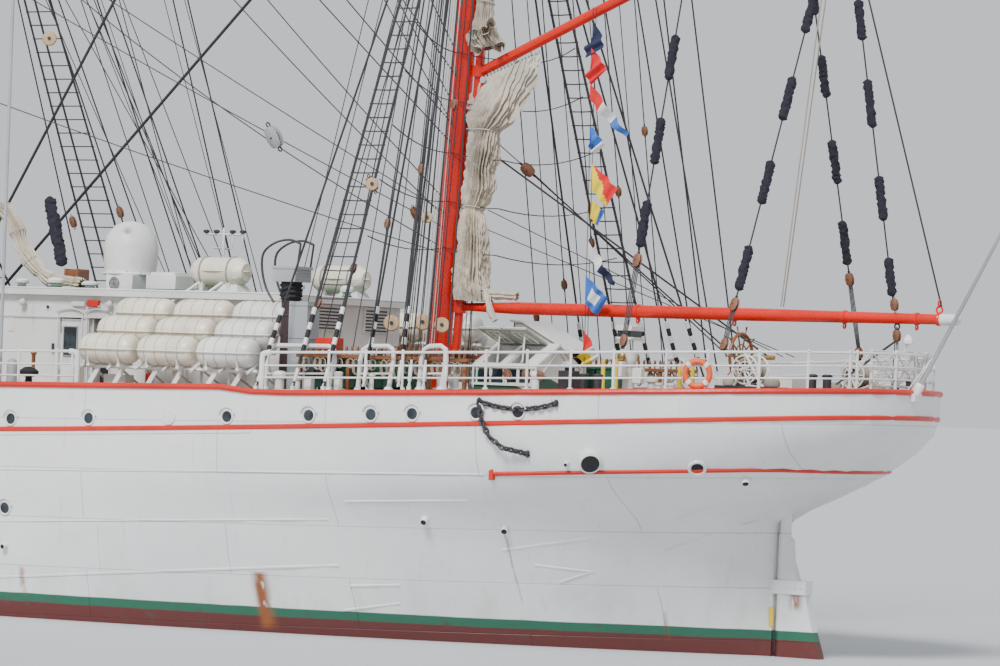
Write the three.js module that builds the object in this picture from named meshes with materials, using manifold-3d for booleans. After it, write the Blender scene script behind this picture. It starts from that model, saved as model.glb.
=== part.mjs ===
import * as THREE from 'three'
import { mergeVertices } from 'three/addons/utils/BufferGeometryUtils.js'
import Module from 'manifold-3d'

const wasm = await Module()
wasm.setup()

// A four-masted barque as a 1:10 scale model.
// Every size below is in metres of the full-size ship; solid() turns it into millimetres of the model.
// X runs forward from amidships, Y to port, Z up from the waterline.
const MM = 100
const GAP = 0.003
const DEG = Math.PI / 180

// Sheer of the deck edge, a parabola each way from turnX.
const SHEER = { low: 5.95, turnX: -10, aftRise: 0.95, aftRun: 44, foreRise: 2.6, foreRun: 64 }
const WELL = { x0: 4, x1: 37, depth: 1.3, wall: 0.16 }
const RAKE = 2.9 * DEG

// Waterlines from keel to deck. z is a height, or f a share of the rise from z 2 to the deck edge.
const LEVELS = [
  { z: -6.70, beam: 2.60, aft: -48.60, fore: 40.00, pa: 1.6, qa: 1.3, pf: 1.8, qf: 1.3 },
  { z: -6.45, beam: 5.20, aft: -49.30, fore: 42.50, pa: 1.6, qa: 1.5, pf: 1.8, qf: 1.3 },
  { z: -5.70, beam: 6.70, aft: -49.60, fore: 44.60, pa: 1.7, qa: 1.5, pf: 1.8, qf: 1.3 },
  { z: -4.20, beam: 7.25, aft: -49.75, fore: 46.20, pa: 1.8, qa: 1.4, pf: 1.8, qf: 1.2 },
  { z: -2.20, beam: 7.33, aft: -49.80, fore: 47.40, pa: 2.0, qa: 1.2, pf: 1.9, qf: 1.1 },
  { z: 0.00, beam: 7.33, aft: -49.85, fore: 48.60, pa: 2.4, qa: 0.95, pf: 1.9, qf: 1.0 },
  { z: 1.20, beam: 7.33, aft: -49.85, fore: 49.50, pa: 2.6, qa: 0.80, pf: 2.0, qf: 0.95 },
  { f: 0.00, beam: 7.33, aft: -49.85, fore: 50.10, pa: 2.8, qa: 0.70, pf: 2.0, qf: 0.93 },
  { f: 0.16, beam: 7.32, aft: -49.86, fore: 50.85, pa: 2.9, qa: 0.62, pf: 2.0, qf: 0.9 },
  { f: 0.30, beam: 7.31, aft: -49.88, fore: 51.50, pa: 3.1, qa: 0.52, pf: 2.0, qf: 0.88 },
  { f: 0.37, beam: 7.30, aft: -50.36, fore: 51.80, pa: 3.2, qa: 0.48, pf: 2.0, qf: 0.86 },
  { f: 0.44, beam: 7.29, aft: -51.06, fore: 52.15, pa: 3.3, qa: 0.44, pf: 2.0, qf: 0.85 },
  { f: 0.51, beam: 7.27, aft: -51.74, fore: 52.55, pa: 3.35, qa: 0.42, pf: 2.0, qf: 0.83 },
  { f: 0.58, beam: 7.25, aft: -52.34, fore: 52.95, pa: 3.4, qa: 0.40, pf: 2.0, qf: 0.82 },
  { f: 0.68, beam: 7.23, aft: -53.06, fore: 53.45, pa: 3.4, qa: 0.395, pf: 2.0, qf: 0.80 },
  { f: 0.78, beam: 7.20, aft: -53.57, fore: 53.92, pa: 3.4, qa: 0.39, pf: 2.0, qf: 0.78 },
  { f: 0.87, beam: 7.18, aft: -53.70, fore: 54.35, pa: 3.4, qa: 0.385, pf: 2.0, qf: 0.77 },
  { f: 1.00, beam: 7.15, aft: -53.72, fore: 54.98, pa: 3.4, qa: 0.38, pf: 2.0, qf: 0.75 }
]
const BODY = { aftX: -20, foreX: 22, post: 0.16, aftCuts: 22, midCuts: 14, foreCuts: 16 }

const MASTS = {
  fore: { x: 33.5, well: true, radius: 0.42, doubling: 35, cap: 39.5, truck: 57.6 },
  main: { x: 9.4, well: true, radius: 0.42, doubling: 35, cap: 39.5, truck: 58.4 },
  mizzen: { x: -14.9, well: false, radius: 0.42, doubling: 35, cap: 39.5, truck: 57.6 },
  jigger: { x: -39.24, well: false, radius: 0.30, doubling: 33, cap: 36.5, truck: 51.5 }
}
const TOP = { z: 22.4, aft: -1.5, fore: 0.85, half: 1.75, thick: 0.14 }
const TREES = { drop: 1.2, aft: -0.9, fore: 0.9, half: 1.3, thick: 0.12 }

// Yards of a square-rigged mast; ahead is the spar's distance before its mast's axis.
const YARDS = [
  { name: 'course', z: 19.60, length: 28.9, radius: 0.31, ahead: 0.92, upper: false },
  { name: 'lower_topsail', z: 25.80, length: 26.8, radius: 0.29, ahead: 0.88, upper: false },
  { name: 'upper_topsail', z: 28.10, length: 24.8, radius: 0.27, ahead: 0.86, upper: false },
  { name: 'lower_topgallant', z: 41.00, length: 21.6, radius: 0.24, ahead: 0.66, upper: true },
  { name: 'upper_topgallant', z: 43.00, length: 19.4, radius: 0.21, ahead: 0.64, upper: true },
  { name: 'royal', z: 48.60, length: 15.2, radius: 0.18, ahead: 0.58, upper: true }
]
const PARREL = { height: 0.34, wall: 0.10, armHalf: 0.13, slack: 0.004 }
const MAST_SIDES = 24
const TOPGALLANT = { ahead: 0.72, radius: 0.25, tip: 0.10 }

const SPANKER = { back: 0.52, poleRadius: 0.11, poleFoot: 1.6, poleHead: 27.5 }
const BOOM = { z: 8.8, length: 14.74, radius: 0.17, tip: 0.13 }
const GAFFS = [
  { name: 'lower_gaff', z: 15.15, length: 11.85, rise: 23.8, radius: 0.14, tip: 0.09 },
  { name: 'upper_gaff', z: 24.60, length: 8.32, rise: 27.5, radius: 0.125, tip: 0.07 }
]
const SAILS = [
  { name: 'brailed_lower_spanker', z0: 9.25, z1: 14.75, radius: 0.42 },
  { name: 'brailed_upper_spanker', z0: 15.65, z1: 24.10, radius: 0.33 }
]

// Fore-and-aft stays: head is the height on its own mast, foot the station where it comes down.
// Both of the jigger's stays come down on the aft house; the others' topmast stays reach the next mast.
const STAY = { radius: 0.045 }
const STAYS = [
  { mast: 'jigger', head: 24.6, foot: -24.06, topHead: 37.3, topFoot: -22.75 },
  { mast: 'mizzen', next: 'main', head: 21.9, foot: 8.0 },
  { mast: 'main', next: 'fore', head: 21.9, foot: 32.1 }
]
const TOPMAST_STAY = { below: 0.5, above: 1.2 }

const BOWSPRIT = { x0: 49.6, rise: 17 * DEG, tipX: 63.79, radius: 0.40, tip: 0.17 }
const FORE_STAYS = { low: 51.9, high: 61.2 }
const SADDLE = { x0: 53.5, x1: 53.9, half: 0.4, top: 1.2 }
const BITTS = { aft: 0.25, fore: 0.45, half: 0.55, over: 0.55 }
const RUDDER = { x: -50.07, half: 0.17, stock: 0.15, hole: 0.156, head: 4.3, foot: -6.35, shoulder: 3.15 }
// Rudder blade from heel to shoulder, as [x behind the stock, z].
const RUDDER_EDGE = [
  [-1.75, -6.25], [-2.05, -5.2], [-1.9, -2.6], [-1.12, 0.19], [-0.95, 0.69], [-0.72, 1.49], [-0.68, 1.93],
  [-0.43, 1.98], [-0.25, 2.48], [-0.2, 3.0]
]
const PROPELLER = { x: -48.35, z: -4.1, blades: 3, reach: 0.74, bladeRadius: 0.56, hub: 0.30, shaft: 0.16,
  bore: 0.168, bossX: -44 }
const APERTURE = { x0: -49.15, x1: -47.55, z0: -5.95, z1: -2.25 }

const AFT_HOUSE = { x0: -36.1, x1: -22.0, half: 2.85, top: 8.72, wall: 0.15 }
const BRIDGE_HOUSE = { x0: -8.6, x1: 1.6, half: 4.0, top: 8.45, wall: 0.15 }
const FORE_HOUSE = { x0: 15.0, x1: 26.5, half: 3.6, top: 7.35, wall: 0.15 }
const ROOF = { over: 0.2, thick: 0.16 }
const DOOR = { width: 0.74, height: 1.82, sill: 0.16, gap: 0.03, thick: 0.07, pin: 0.012, swing: 88 }
const DOORS = [
  { name: 'port_aft_door', house: AFT_HOUSE, x: -28.95, side: 1, open: false },
  { name: 'port_open_door', house: AFT_HOUSE, x: -29.95, side: 1, open: true },
  { name: 'starboard_aft_door', house: AFT_HOUSE, x: -28.95, side: -1, open: false },
  { name: 'port_bridge_door', house: BRIDGE_HOUSE, x: -6.5, side: 1, open: false },
  { name: 'starboard_bridge_door', house: BRIDGE_HOUSE, x: -6.5, side: -1, open: false }
]

const RAIL = { height: 0.98, inset: 0.16, post: 0.045, bar: 0.05, pitch: 3 }
// The side rail drops to a low bar beside the stacked rafts.
const RAFT_GAP = { aft: -38.1, fore: -32.3, slope: 0.6, height: 0.14 }
// Liferaft canisters: a stepped rack on each side, and one on cradles at each side of the aft roof.
const RAFT = { x: -36.75, pitch: 1.93, length: 1.72, radius: 0.40, bevel: 0.22, rows: 3, columns: 3 }
const RACK = { y: 6.2, z: 7.25, inset: 0.78, drop: 0.5, over: 0.08 }
const ROOF_RAFTS = [{ x: -33.6, y: 2.3, z: 9.48 }, { x: -34.45, y: -2.3, z: 9.48 }]
const RADAR = { x: -30.3, y: 2.0, post: 0.16, foot: 0.6, base: 9.33 }
const EXHAUST = { x: -38.0, y: 5.25, radius: 0.25, sleeve: 0.21, sleeveFoot: 8.72, head: 9.17, top: 9.56, half: 0.36 }
const CABINET = { x0: -38.73, x1: -38.15, y0: 4.97, y1: 5.53, top: 8.66 }

// Gabled skylight: eave and ridge are heights over the deck, slack lifts a closed lid off its slope.
const SKYLIGHT = { x0: -43.05, x1: -41.15, half: 1.15, eave: 0.76, ridge: 1.33, hinge: 0.06, floor: 0.2 }
const LID = { width: 1.2, thick: 0.045, slack: 0.004, open: 46 }
const LIDS = [
  { name: 'port_fore_skylight_lid', x0: -41.96, x1: -41.24, side: 1, open: true },
  { name: 'port_aft_skylight_lid', x0: -42.74, x1: -42.02, side: 1, open: true },
  { name: 'starboard_skylight_lid', x0: -42.74, x1: -41.24, side: -1, open: false }
]
// A piece joined to the hull starts this far under the deck.
const ROOT = 0.2
const HATCHES = [{ x0: 12.2, x1: 14.0, half: 2.2 }, { x0: 28.2, x1: 30.6, half: 2.2 }]
const HATCH_RISE = 0.75
const WINDLASS = {
  x: 43.5, axle: 0.75, half: 1.9, barrel: 0.28, drum: 0.5, drums: [0.25, 0.75], cheeks: [1.15, 1.35], reach: 0.45
}
const LIFEBOAT = { length: 7.6, beam: 2.5, depth: 1.25, y: 5.6, z: 8.7, xs: [-10.6, -2.2], skid: 2.2, stance: 0.6 }

const group = new THREE.Group()

// Deck edge height and the height of the walked-on deck.
function sheer(x) {
  const run = x < SHEER.turnX ? SHEER.aftRun : SHEER.foreRun
  const rise = x < SHEER.turnX ? SHEER.aftRise : SHEER.foreRise
  const share = (x - SHEER.turnX) / run
  return SHEER.low + rise * share * share
}

function deck(x) {
  const inWell = x > WELL.x0 && x < WELL.x1
  return inWell ? sheer(x) - WELL.depth : sheer(x)
}

// Lowest height of a foot that is half wide on the sloping deck.
function standing(x, half) {
  return Math.max(deck(x - half), deck(x + half)) + GAP
}

// Mesh helpers.
function clean(geometry) {
  const copy = geometry.clone()
  copy.deleteAttribute('normal')
  copy.deleteAttribute('uv')
  return mergeVertices(copy, 1e-6)
}

function toManifold(geometry) {
  const flat = clean(geometry)
  const mesh = new wasm.Mesh({
    numProp: 3,
    vertProperties: new Float32Array(flat.attributes.position.array),
    triVerts: new Uint32Array(flat.index.array)
  })
  mesh.merge()
  return new wasm.Manifold(mesh)
}

function fromManifold(shape) {
  const mesh = shape.getMesh()
  const geometry = new THREE.BufferGeometry()
  geometry.setAttribute('position', new THREE.BufferAttribute(new Float32Array(mesh.vertProperties), 3))
  geometry.setIndex(new THREE.BufferAttribute(new Uint32Array(mesh.triVerts), 1))
  return geometry
}

function join(parts) {
  return fromManifold(parts.map(toManifold).reduce((sum, part) => sum.add(part)))
}

function cut(body, tools) {
  return fromManifold(tools.map(toManifold).reduce((rest, tool) => rest.subtract(tool), toManifold(body)))
}

function solid(name, geometry, colour) {
  const scaled = clean(geometry)
  scaled.scale(MM, MM, MM)
  scaled.computeVertexNormals()
  const mesh = new THREE.Mesh(scaled, new THREE.MeshStandardMaterial({ color: colour }))
  mesh.name = name
  group.add(mesh)
}

function box(x0, x1, y0, y1, z0, z1) {
  const geometry = new THREE.BoxGeometry(x1 - x0, y1 - y0, z1 - z0)
  return geometry.translate((x0 + x1) / 2, (y0 + y1) / 2, (z0 + z1) / 2)
}

// Round bar from a to b, with its own radius at each end.
function rod(a, b, radiusA, radiusB, sides = 12) {
  const start = new THREE.Vector3(...a)
  const end = new THREE.Vector3(...b)
  const axis = end.clone().sub(start)
  const geometry = new THREE.CylinderGeometry(radiusB, radiusA, axis.length(), sides)
  geometry.translate(0, axis.length() / 2, 0)
  geometry.applyQuaternion(new THREE.Quaternion().setFromUnitVectors(
    new THREE.Vector3(0, 1, 0), axis.clone().normalize()))
  return geometry.translate(start.x, start.y, start.z)
}

// Turned shape about Z from [radius, z] points.
function turned(profile, sides) {
  const points = profile.map(([radius, z]) => new THREE.Vector2(radius, z))
  return new THREE.LatheGeometry(points, sides).rotateX(Math.PI / 2)
}

// Block standing on the sheered deck, its underside following the deck line.
function onDeck(x0, x1, y0, y1, top, lift = GAP) {
  const shape = new THREE.Shape()
  const cuts = Math.max(1, Math.ceil((x1 - x0) / 1.5))
  shape.moveTo(x0, top)
  for (let i = 0; i <= cuts; i++) {
    const x = x0 + (x1 - x0) * i / cuts
    shape.lineTo(x, deck(x) + lift)
  }
  shape.lineTo(x1, top)
  const geometry = new THREE.ExtrudeGeometry(shape, { depth: y1 - y0, bevelEnabled: false })
  return geometry.rotateX(Math.PI / 2).translate(0, y1, 0)
}

// Hull lofted over the waterlines.
function levelHeight(level, x) {
  return level.z !== undefined ? level.z : 2 + (sheer(x) - 2) * level.f
}

function levelStations(level) {
  const stations = []
  for (let i = 0; i < BODY.foreCuts; i++) {
    const u = Math.cos(i / BODY.foreCuts * Math.PI / 2)
    const y = level.beam * Math.pow(1 - Math.pow(u, level.pf), level.qf)
    stations.push([BODY.foreX + (level.fore - BODY.foreX) * u, Math.max(BODY.post * 0.6, y)])
  }
  for (let i = 0; i < BODY.midCuts; i++) {
    stations.push([BODY.foreX + (BODY.aftX - BODY.foreX) * i / BODY.midCuts, level.beam])
  }
  for (let i = 0; i <= BODY.aftCuts; i++) {
    const u = Math.sin(i / BODY.aftCuts * Math.PI / 2)
    const y = level.beam * Math.pow(1 - Math.pow(u, level.pa), level.qa)
    stations.push([BODY.aftX + (level.aft - BODY.aftX) * u, Math.max(BODY.post, y)])
  }
  return stations
}

function levelRing(level, inset, lift = 0) {
  const port = levelStations(level).map(([x, y]) => {
    const half = Math.max(0.05, y - inset)
    return [x, half, levelHeight(level, x) + lift]
  })
  const starboard = port.map(([x, y, z]) => [x, -y, z]).reverse()
  return port.concat(starboard)
}

function loftRings(rings) {
  const count = rings[0].length
  const half = count / 2
  const index = []
  for (let level = 0; level < rings.length - 1; level++) {
    for (let i = 0; i < count; i++) {
      const a = level * count + i
      const b = level * count + (i + 1) % count
      index.push(a, b, a + count, b, b + count, a + count)
    }
  }
  const last = (rings.length - 1) * count
  for (let i = 0; i < half - 1; i++) {
    const a = i
    const b = count - 1 - i
    index.push(a, b, a + 1, b, b - 1, a + 1)
    index.push(last + a, last + a + 1, last + b, last + b, last + a + 1, last + b - 1)
  }
  const geometry = new THREE.BufferGeometry()
  geometry.setAttribute('position', new THREE.BufferAttribute(new Float32Array(rings.flat(2)), 3))
  geometry.setIndex(index)
  return geometry
}

function wellTool() {
  const top = LEVELS[LEVELS.length - 1]
  const under = levelRing(top, WELL.wall, -WELL.depth)
  const over = levelRing(top, WELL.wall, 1)
  const inner = toManifold(loftRings([under, over]))
  const span = toManifold(box(WELL.x0, WELL.x1, -9, 9, 0, 12))
  return fromManifold(inner.intersect(span))
}

function hatch({ x0, x1, half }) {
  return onDeck(x0, x1, -half, half, deck((x0 + x1) / 2) + HATCH_RISE, -ROOT)
}

function windlass() {
  const { x, half, barrel, drum, drums, cheeks, reach } = WINDLASS
  const z = deck(x) + WINDLASS.axle
  const parts = [rod([x, -half, z], [x, half, z], barrel, barrel)]
  for (const side of [-1, 1]) {
    const [y0, y1] = cheeks.map(y => side * y).sort((a, b) => a - b)
    parts.push(rod([x, side * drums[0], z], [x, side * drums[1], z], drum, drum))
    parts.push(onDeck(x - reach, x + reach, y0, y1, z + reach, -ROOT))
  }
  return join(parts)
}

// Prism along X from an outline of [y, z] points.
function prism(x0, x1, outline) {
  const shape = new THREE.Shape(outline.map(([y, z]) => new THREE.Vector2(y, z)))
  const geometry = new THREE.ExtrudeGeometry(shape, { depth: x1 - x0, bevelEnabled: false })
  const turn = new THREE.Matrix4().makeBasis(
    new THREE.Vector3(0, 1, 0), new THREE.Vector3(0, 0, 1), new THREE.Vector3(1, 0, 0))
  return geometry.applyMatrix4(turn).translate(x0, 0, 0)
}

function skylightDeck() {
  return deck((SKYLIGHT.x0 + SKYLIGHT.x1) / 2)
}

function makeSkylight() {
  const { x0, x1, half, hinge } = SKYLIGHT
  const eave = skylightDeck() + SKYLIGHT.eave
  const ridge = skylightDeck() + SKYLIGHT.ridge
  const gable = prism(x0, x1, [[-half, eave - 0.1], [half, eave - 0.1], [half, eave], [hinge, ridge],
    [-hinge, ridge], [-half, eave]])
  const lights = []
  for (const { x0: a, x1: b } of LIDS.filter(lid => lid.side > 0)) {
    for (const side of [-1, 1]) {
      const y = [side * 0.12, side * (half - 0.12)].sort((p, q) => p - q)
      lights.push(box(a + 0.08, b - 0.08, ...y, skylightDeck() + SKYLIGHT.floor, ridge + 1))
    }
  }
  return cut(join([onDeck(x0, x1, -half, half, eave, -ROOT), gable]), lights)
}

function makeHull() {
  const body = loftRings(LEVELS.map(level => levelRing(level, 0)))
  const boss = rod([PROPELLER.bossX, 0, PROPELLER.z], [APERTURE.x1, 0, PROPELLER.z], 0.5, 0.36)
  const stockHole = rod([RUDDER.x, 0, 2.4], [RUDDER.x, 0, RUDDER.head + 0.05], RUDDER.hole, RUDDER.hole, 16)
  const shaped = join([cut(body, [
    wellTool(),
    box(APERTURE.x0, APERTURE.x1, -2, 2, APERTURE.z0, APERTURE.z1),
    stockHole
  ]), boss, ...HATCHES.map(hatch), makeSkylight(), windlass()])
  const bore = rod([APERTURE.x1 - 0.05, 0, PROPELLER.z], [APERTURE.x1 + 1.2, 0, PROPELLER.z],
    PROPELLER.bore, PROPELLER.bore, 20)
  return cut(shaped, [bore])
}

// Half the deck's breadth at a station.
function halfBeam(x) {
  const stations = levelStations(LEVELS[LEVELS.length - 1])
  for (let i = 0; i < stations.length - 1; i++) {
    const [xa, ya] = stations[i]
    const [xb, yb] = stations[i + 1]
    if (x <= xa && x >= xb) return ya + (yb - ya) * (xa - x) / (xa - xb)
  }
  return BODY.post
}

function makeRudder() {
  const outline = [[0, RUDDER.foot], ...RUDDER_EDGE, [0, RUDDER.shoulder + 0.05]]
  const shape = new THREE.Shape(outline.map(([x, z]) => new THREE.Vector2(RUDDER.x + x, z)))
  const blade = new THREE.ExtrudeGeometry(shape, { depth: 2 * RUDDER.half - 0.06, bevelEnabled: false })
  blade.rotateX(Math.PI / 2).translate(0, RUDDER.half - 0.03, 0)
  const nose = rod([RUDDER.x, 0, RUDDER.foot], [RUDDER.x, 0, RUDDER.shoulder], RUDDER.half, RUDDER.half, 16)
  const stock = rod([RUDDER.x, 0, RUDDER.shoulder - 0.05], [RUDDER.x, 0, RUDDER.head],
    RUDDER.stock, RUDDER.stock, 16)
  return join([blade, nose, stock])
}

function makePropeller() {
  const parts = [
    rod([-0.42, 0, 0], [0.42, 0, 0], 0.22, PROPELLER.hub, 16),
    rod([0.3, 0, 0], [APERTURE.x1 - PROPELLER.x + 1.1, 0, 0], PROPELLER.shaft, PROPELLER.shaft, 20)
  ]
  for (let i = 0; i < PROPELLER.blades; i++) {
    const blade = new THREE.CylinderGeometry(PROPELLER.bladeRadius, PROPELLER.bladeRadius, 0.07, 14)
    blade.scale(1, 1, 1.25).rotateZ(Math.PI / 2).rotateZ(0.5).translate(0, 0, PROPELLER.reach)
    parts.push(blade.rotateX(i * 2 * Math.PI / PROPELLER.blades))
  }
  return join(parts).translate(PROPELLER.x, 0, PROPELLER.z)
}

// Mast frames: local z is the height above the waterline along the raked mast.
function rig(mast, geometry) {
  geometry.rotateY(-RAKE)
  const lean = Math.tan(RAKE) * sheer(mast.x)
  return geometry.translate(mast.x + lean, 0, 0)
}

function mastRadius(mast, z) {
  const share = Math.max(0, (z - TOP.z) / (mast.cap - TOP.z))
  return mast.radius * (1 - 0.28 * Math.min(1, share))
}

function poleRadius(mast, z) {
  const full = TOPGALLANT.radius * mast.radius / 0.42
  const share = Math.max(0, (z - mast.cap) / (mast.truck - mast.cap))
  return full + (TOPGALLANT.tip - full) * share
}

function platform(spec, z) {
  return box(spec.aft, spec.fore, -spec.half, spec.half, z, z + spec.thick)
}

// The round parts of a mast, thickened by grow; a stay's end is trimmed with a grown copy.
function mastTubes(mast, grow = 0) {
  const foot = (standing(mast.x, mast.radius) + GAP) / Math.cos(RAKE) + mast.radius * Math.tan(RAKE)
  const head = mastRadius(mast, mast.cap) + grow
  const low = mast.radius + grow
  const pole = poleRadius(mast, mast.cap) + grow
  const tip = TOPGALLANT.tip + grow
  return [
    turned([[0, foot], [low, foot], [low, TOP.z], [head, mast.cap], [0, mast.cap]], MAST_SIDES),
    turned([[0, mast.doubling], [pole, mast.doubling], [pole, mast.cap], [tip, mast.truck],
      [0, mast.truck]], MAST_SIDES).translate(TOPGALLANT.ahead, 0, 0)
  ]
}

function makeMast(mast) {
  const head = mastRadius(mast, mast.cap)
  const reach = TOPGALLANT.ahead + poleRadius(mast, mast.cap)
  const top = platform(TOP, TOP.z)
  const parts = [
    ...mastTubes(mast),
    mast === MASTS.jigger ? cut(top, [box(-2, -0.38, -0.45, 0.45, 22, 23)]) : top,
    platform(TREES, mast.doubling + TREES.drop),
    box(-head - 0.12, reach + 0.12, -head - 0.1, head + 0.1, mast.cap - 0.3, mast.cap - 0.02)
  ]
  return rig(mast, join(parts))
}

function makeYard(mast, yard) {
  const low = yard.z - PARREL.height / 2
  const high = yard.z + PARREL.height / 2
  const inner = (yard.upper ? poleRadius(mast, low) : mastRadius(mast, low)) * 1.009 + PARREL.slack
  const half = yard.length / 2
  const jaw = inner + PARREL.wall
  const spar = turned([[0, -half], [yard.radius * 0.5, -half], [yard.radius, -half * 0.35],
    [yard.radius, half * 0.35], [yard.radius * 0.5, half], [0, half]], 8)
  spar.rotateX(Math.PI / 2).translate(yard.ahead, 0, yard.z)
  const arm = box(inner * 0.5, yard.ahead, -PARREL.armHalf, PARREL.armHalf, low + 0.06, high - 0.06)
  const hole = rod([0, 0, low - 1], [0, 0, low + 1], inner, inner, MAST_SIDES)
  const shape = cut(join([box(0, jaw, -jaw, jaw, low, high), arm, spar]), [hole])
  return rig(mast, shape.translate(yard.upper ? TOPGALLANT.ahead : 0, 0, 0))
}

// Spanker gear turns on a pole close behind the jigger mast.
function spankerPole() {
  const foot = deck(MASTS.jigger.x) + SPANKER.poleFoot - 0.4
  const reach = [[foot + 0.1, 0.25], [14.2, 0.14], [SPANKER.poleHead - 0.2, 0.2]]
  const parts = [rod([-SPANKER.back, 0, foot], [-SPANKER.back, 0, SPANKER.poleHead],
    SPANKER.poleRadius, SPANKER.poleRadius, 16)]
  for (const [z, height] of reach) {
    parts.push(box(-SPANKER.back, -MASTS.jigger.radius - GAP, -0.09, 0.09, z - height / 2, z + height / 2))
  }
  return rig(MASTS.jigger, join(parts))
}

function collar(z, height) {
  const inner = SPANKER.poleRadius * 1.02 + PARREL.slack
  const ring = rod([-SPANKER.back, 0, z - height / 2], [-SPANKER.back, 0, z + height / 2],
    inner + 0.07, inner + 0.07, 16)
  const hole = rod([-SPANKER.back, 0, z - 1], [-SPANKER.back, 0, z + 1], inner, inner, 16)
  return { ring, hole }
}

function makeBoom() {
  const { ring, hole } = collar(BOOM.z, 0.34)
  const start = -SPANKER.back - 0.12
  const spar = turned([[0, 0], [BOOM.radius * 0.6, 0], [BOOM.radius, BOOM.length * 0.12],
    [BOOM.radius, BOOM.length * 0.6], [BOOM.tip, BOOM.length], [0, BOOM.length]], 14)
  spar.rotateY(-Math.PI / 2 + RAKE).translate(start, 0, BOOM.z)
  return rig(MASTS.jigger, cut(join([ring, spar]), [hole]))
}

function makeGaff(gaff) {
  const { ring, hole } = collar(gaff.z, 0.3)
  const start = -SPANKER.back - 0.1
  const spar = turned([[0, 0], [gaff.radius, 0], [gaff.radius, gaff.length * 0.55],
    [gaff.tip, gaff.length], [0, gaff.length]], 12)
  spar.rotateY(-Math.PI / 2 + gaff.rise * DEG + RAKE).translate(start, 0, gaff.z)
  return rig(MASTS.jigger, cut(join([ring, spar]), [hole]))
}

// Canvas gathered along the pole, its folds turned away from the mast.
function makeSail(sail) {
  const inner = SPANKER.poleRadius + GAP + 0.004
  const steps = 6
  const profile = [[0, sail.z0]]
  for (let i = 0; i <= steps; i++) {
    const share = i / steps
    const swell = 0.62 + 0.38 * Math.sin(Math.PI * Math.min(1, 0.1 + share * 0.9))
    profile.push([sail.radius * swell, sail.z0 + (sail.z1 - sail.z0) * share])
  }
  profile.push([0, sail.z1])
  const bundle = turned(profile, 12).scale(1, 0.8, 1)
  bundle.translate(-SPANKER.back - sail.radius * 0.75, 0, 0)
  const hole = rod([-SPANKER.back, 0, sail.z0 - 1], [-SPANKER.back, 0, sail.z1 + 1], inner, inner, 16)
  const clearance = box(-SPANKER.back + 0.02, 2, -2, 2, sail.z0 - 1, sail.z1 + 1)
  const band = box(-2, 0, -0.12, 0.12, 14.05, 14.35)
  return rig(MASTS.jigger, cut(bundle, [hole, clearance, band]))
}

// Fore-and-aft stays, each from a mast down and forward.
function mastPoint(mast, z, ahead = 0) {
  const lean = Math.tan(RAKE) * sheer(mast.x)
  return [mast.x + lean - z * Math.sin(RAKE) + ahead * Math.cos(RAKE), 0,
    z * Math.cos(RAKE) + ahead * Math.sin(RAKE)]
}

function stay(name, from, to, trims) {
  const wire = rod(from, to, STAY.radius, STAY.radius, 6)
  solid(name, cut(wire, trims), 0x22252a)
}

function grown(mast) {
  return mastTubes(mast, GAP * 1.2).map(tube => rig(mast, tube))
}

// A block whose top stands just clear of a deck or roof; it trims a stay's foot.
function seat(x, top) {
  return box(x - 2, x + 2, -1, 1, top - 2, top + GAP)
}

function makeStays() {
  for (const { mast, next, head, foot, topHead, topFoot } of STAYS) {
    const own = MASTS[mast]
    const trims = grown(own)
    const floor = next ? standing(foot, 0.1) : roofTop(AFT_HOUSE) + GAP
    stay(`${mast}_stay`, mastPoint(own, head), [foot, 0, floor - 0.1], [...trims, seat(foot, floor)])
    if (next) {
      stay(`${mast}_topmast_stay`, mastPoint(own, own.doubling - TOPMAST_STAY.below),
        mastPoint(MASTS[next], TOP.z + TOPMAST_STAY.above), [...trims, ...grown(MASTS[next])])
    } else {
      stay(`${mast}_topmast_stay`, mastPoint(own, topHead, TOPGALLANT.ahead), [topFoot, 0, floor - 0.1],
        [...trims, seat(topFoot, floor)])
    }
  }
  const fore = grown(MASTS.fore)
  const sprit = bowspritRod(GAP * 1.2)
  stay('fore_stay', mastPoint(MASTS.fore, 21.9), bowspritPoint(FORE_STAYS.low), [...fore, sprit])
  stay('fore_topmast_stay', mastPoint(MASTS.fore, MASTS.fore.doubling - TOPMAST_STAY.below),
    bowspritPoint(FORE_STAYS.high), [...fore, sprit])
}

function bowspritPoint(x) {
  return [x, 0, sheer(BOWSPRIT.x0) + 0.62 + (x - BOWSPRIT.x0) * Math.tan(BOWSPRIT.rise)]
}

function bowspritRod(grow = 0) {
  return rod(bowspritPoint(BOWSPRIT.x0), bowspritPoint(BOWSPRIT.tipX), BOWSPRIT.radius + grow,
    BOWSPRIT.tip + grow, 16)
}

function makeBowsprit() {
  const heel = bowspritPoint(BOWSPRIT.x0)
  const bitts = box(BOWSPRIT.x0 - BITTS.aft, BOWSPRIT.x0 + BITTS.fore, -BITTS.half, BITTS.half,
    standing(BOWSPRIT.x0, 0.5), heel[2] + BITTS.over)
  const saddle = box(SADDLE.x0, SADDLE.x1, -SADDLE.half, SADDLE.half, standing(SADDLE.x1, 0),
    sheer(SADDLE.x1) + SADDLE.top)
  return join([bowspritRod(), bitts, saddle])
}

// Houses.
function doorOpening(door) {
  const y = door.side * door.house.half
  const low = deck(door.x) + DOOR.sill
  return box(door.x - DOOR.width / 2, door.x + DOOR.width / 2, y - 0.4, y + 0.4, low, low + DOOR.height)
}

function makeWalls(house) {
  const outer = onDeck(house.x0, house.x1, -house.half, house.half, house.top)
  const inner = onDeck(house.x0 + house.wall, house.x1 - house.wall, -house.half + house.wall,
    house.half - house.wall, house.top + 1, -0.5)
  const openings = DOORS.filter(door => door.house === house).map(doorOpening)
  return cut(outer, [inner, ...openings])
}

function roofTop(house) {
  return house.top + GAP + ROOF.thick
}

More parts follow.
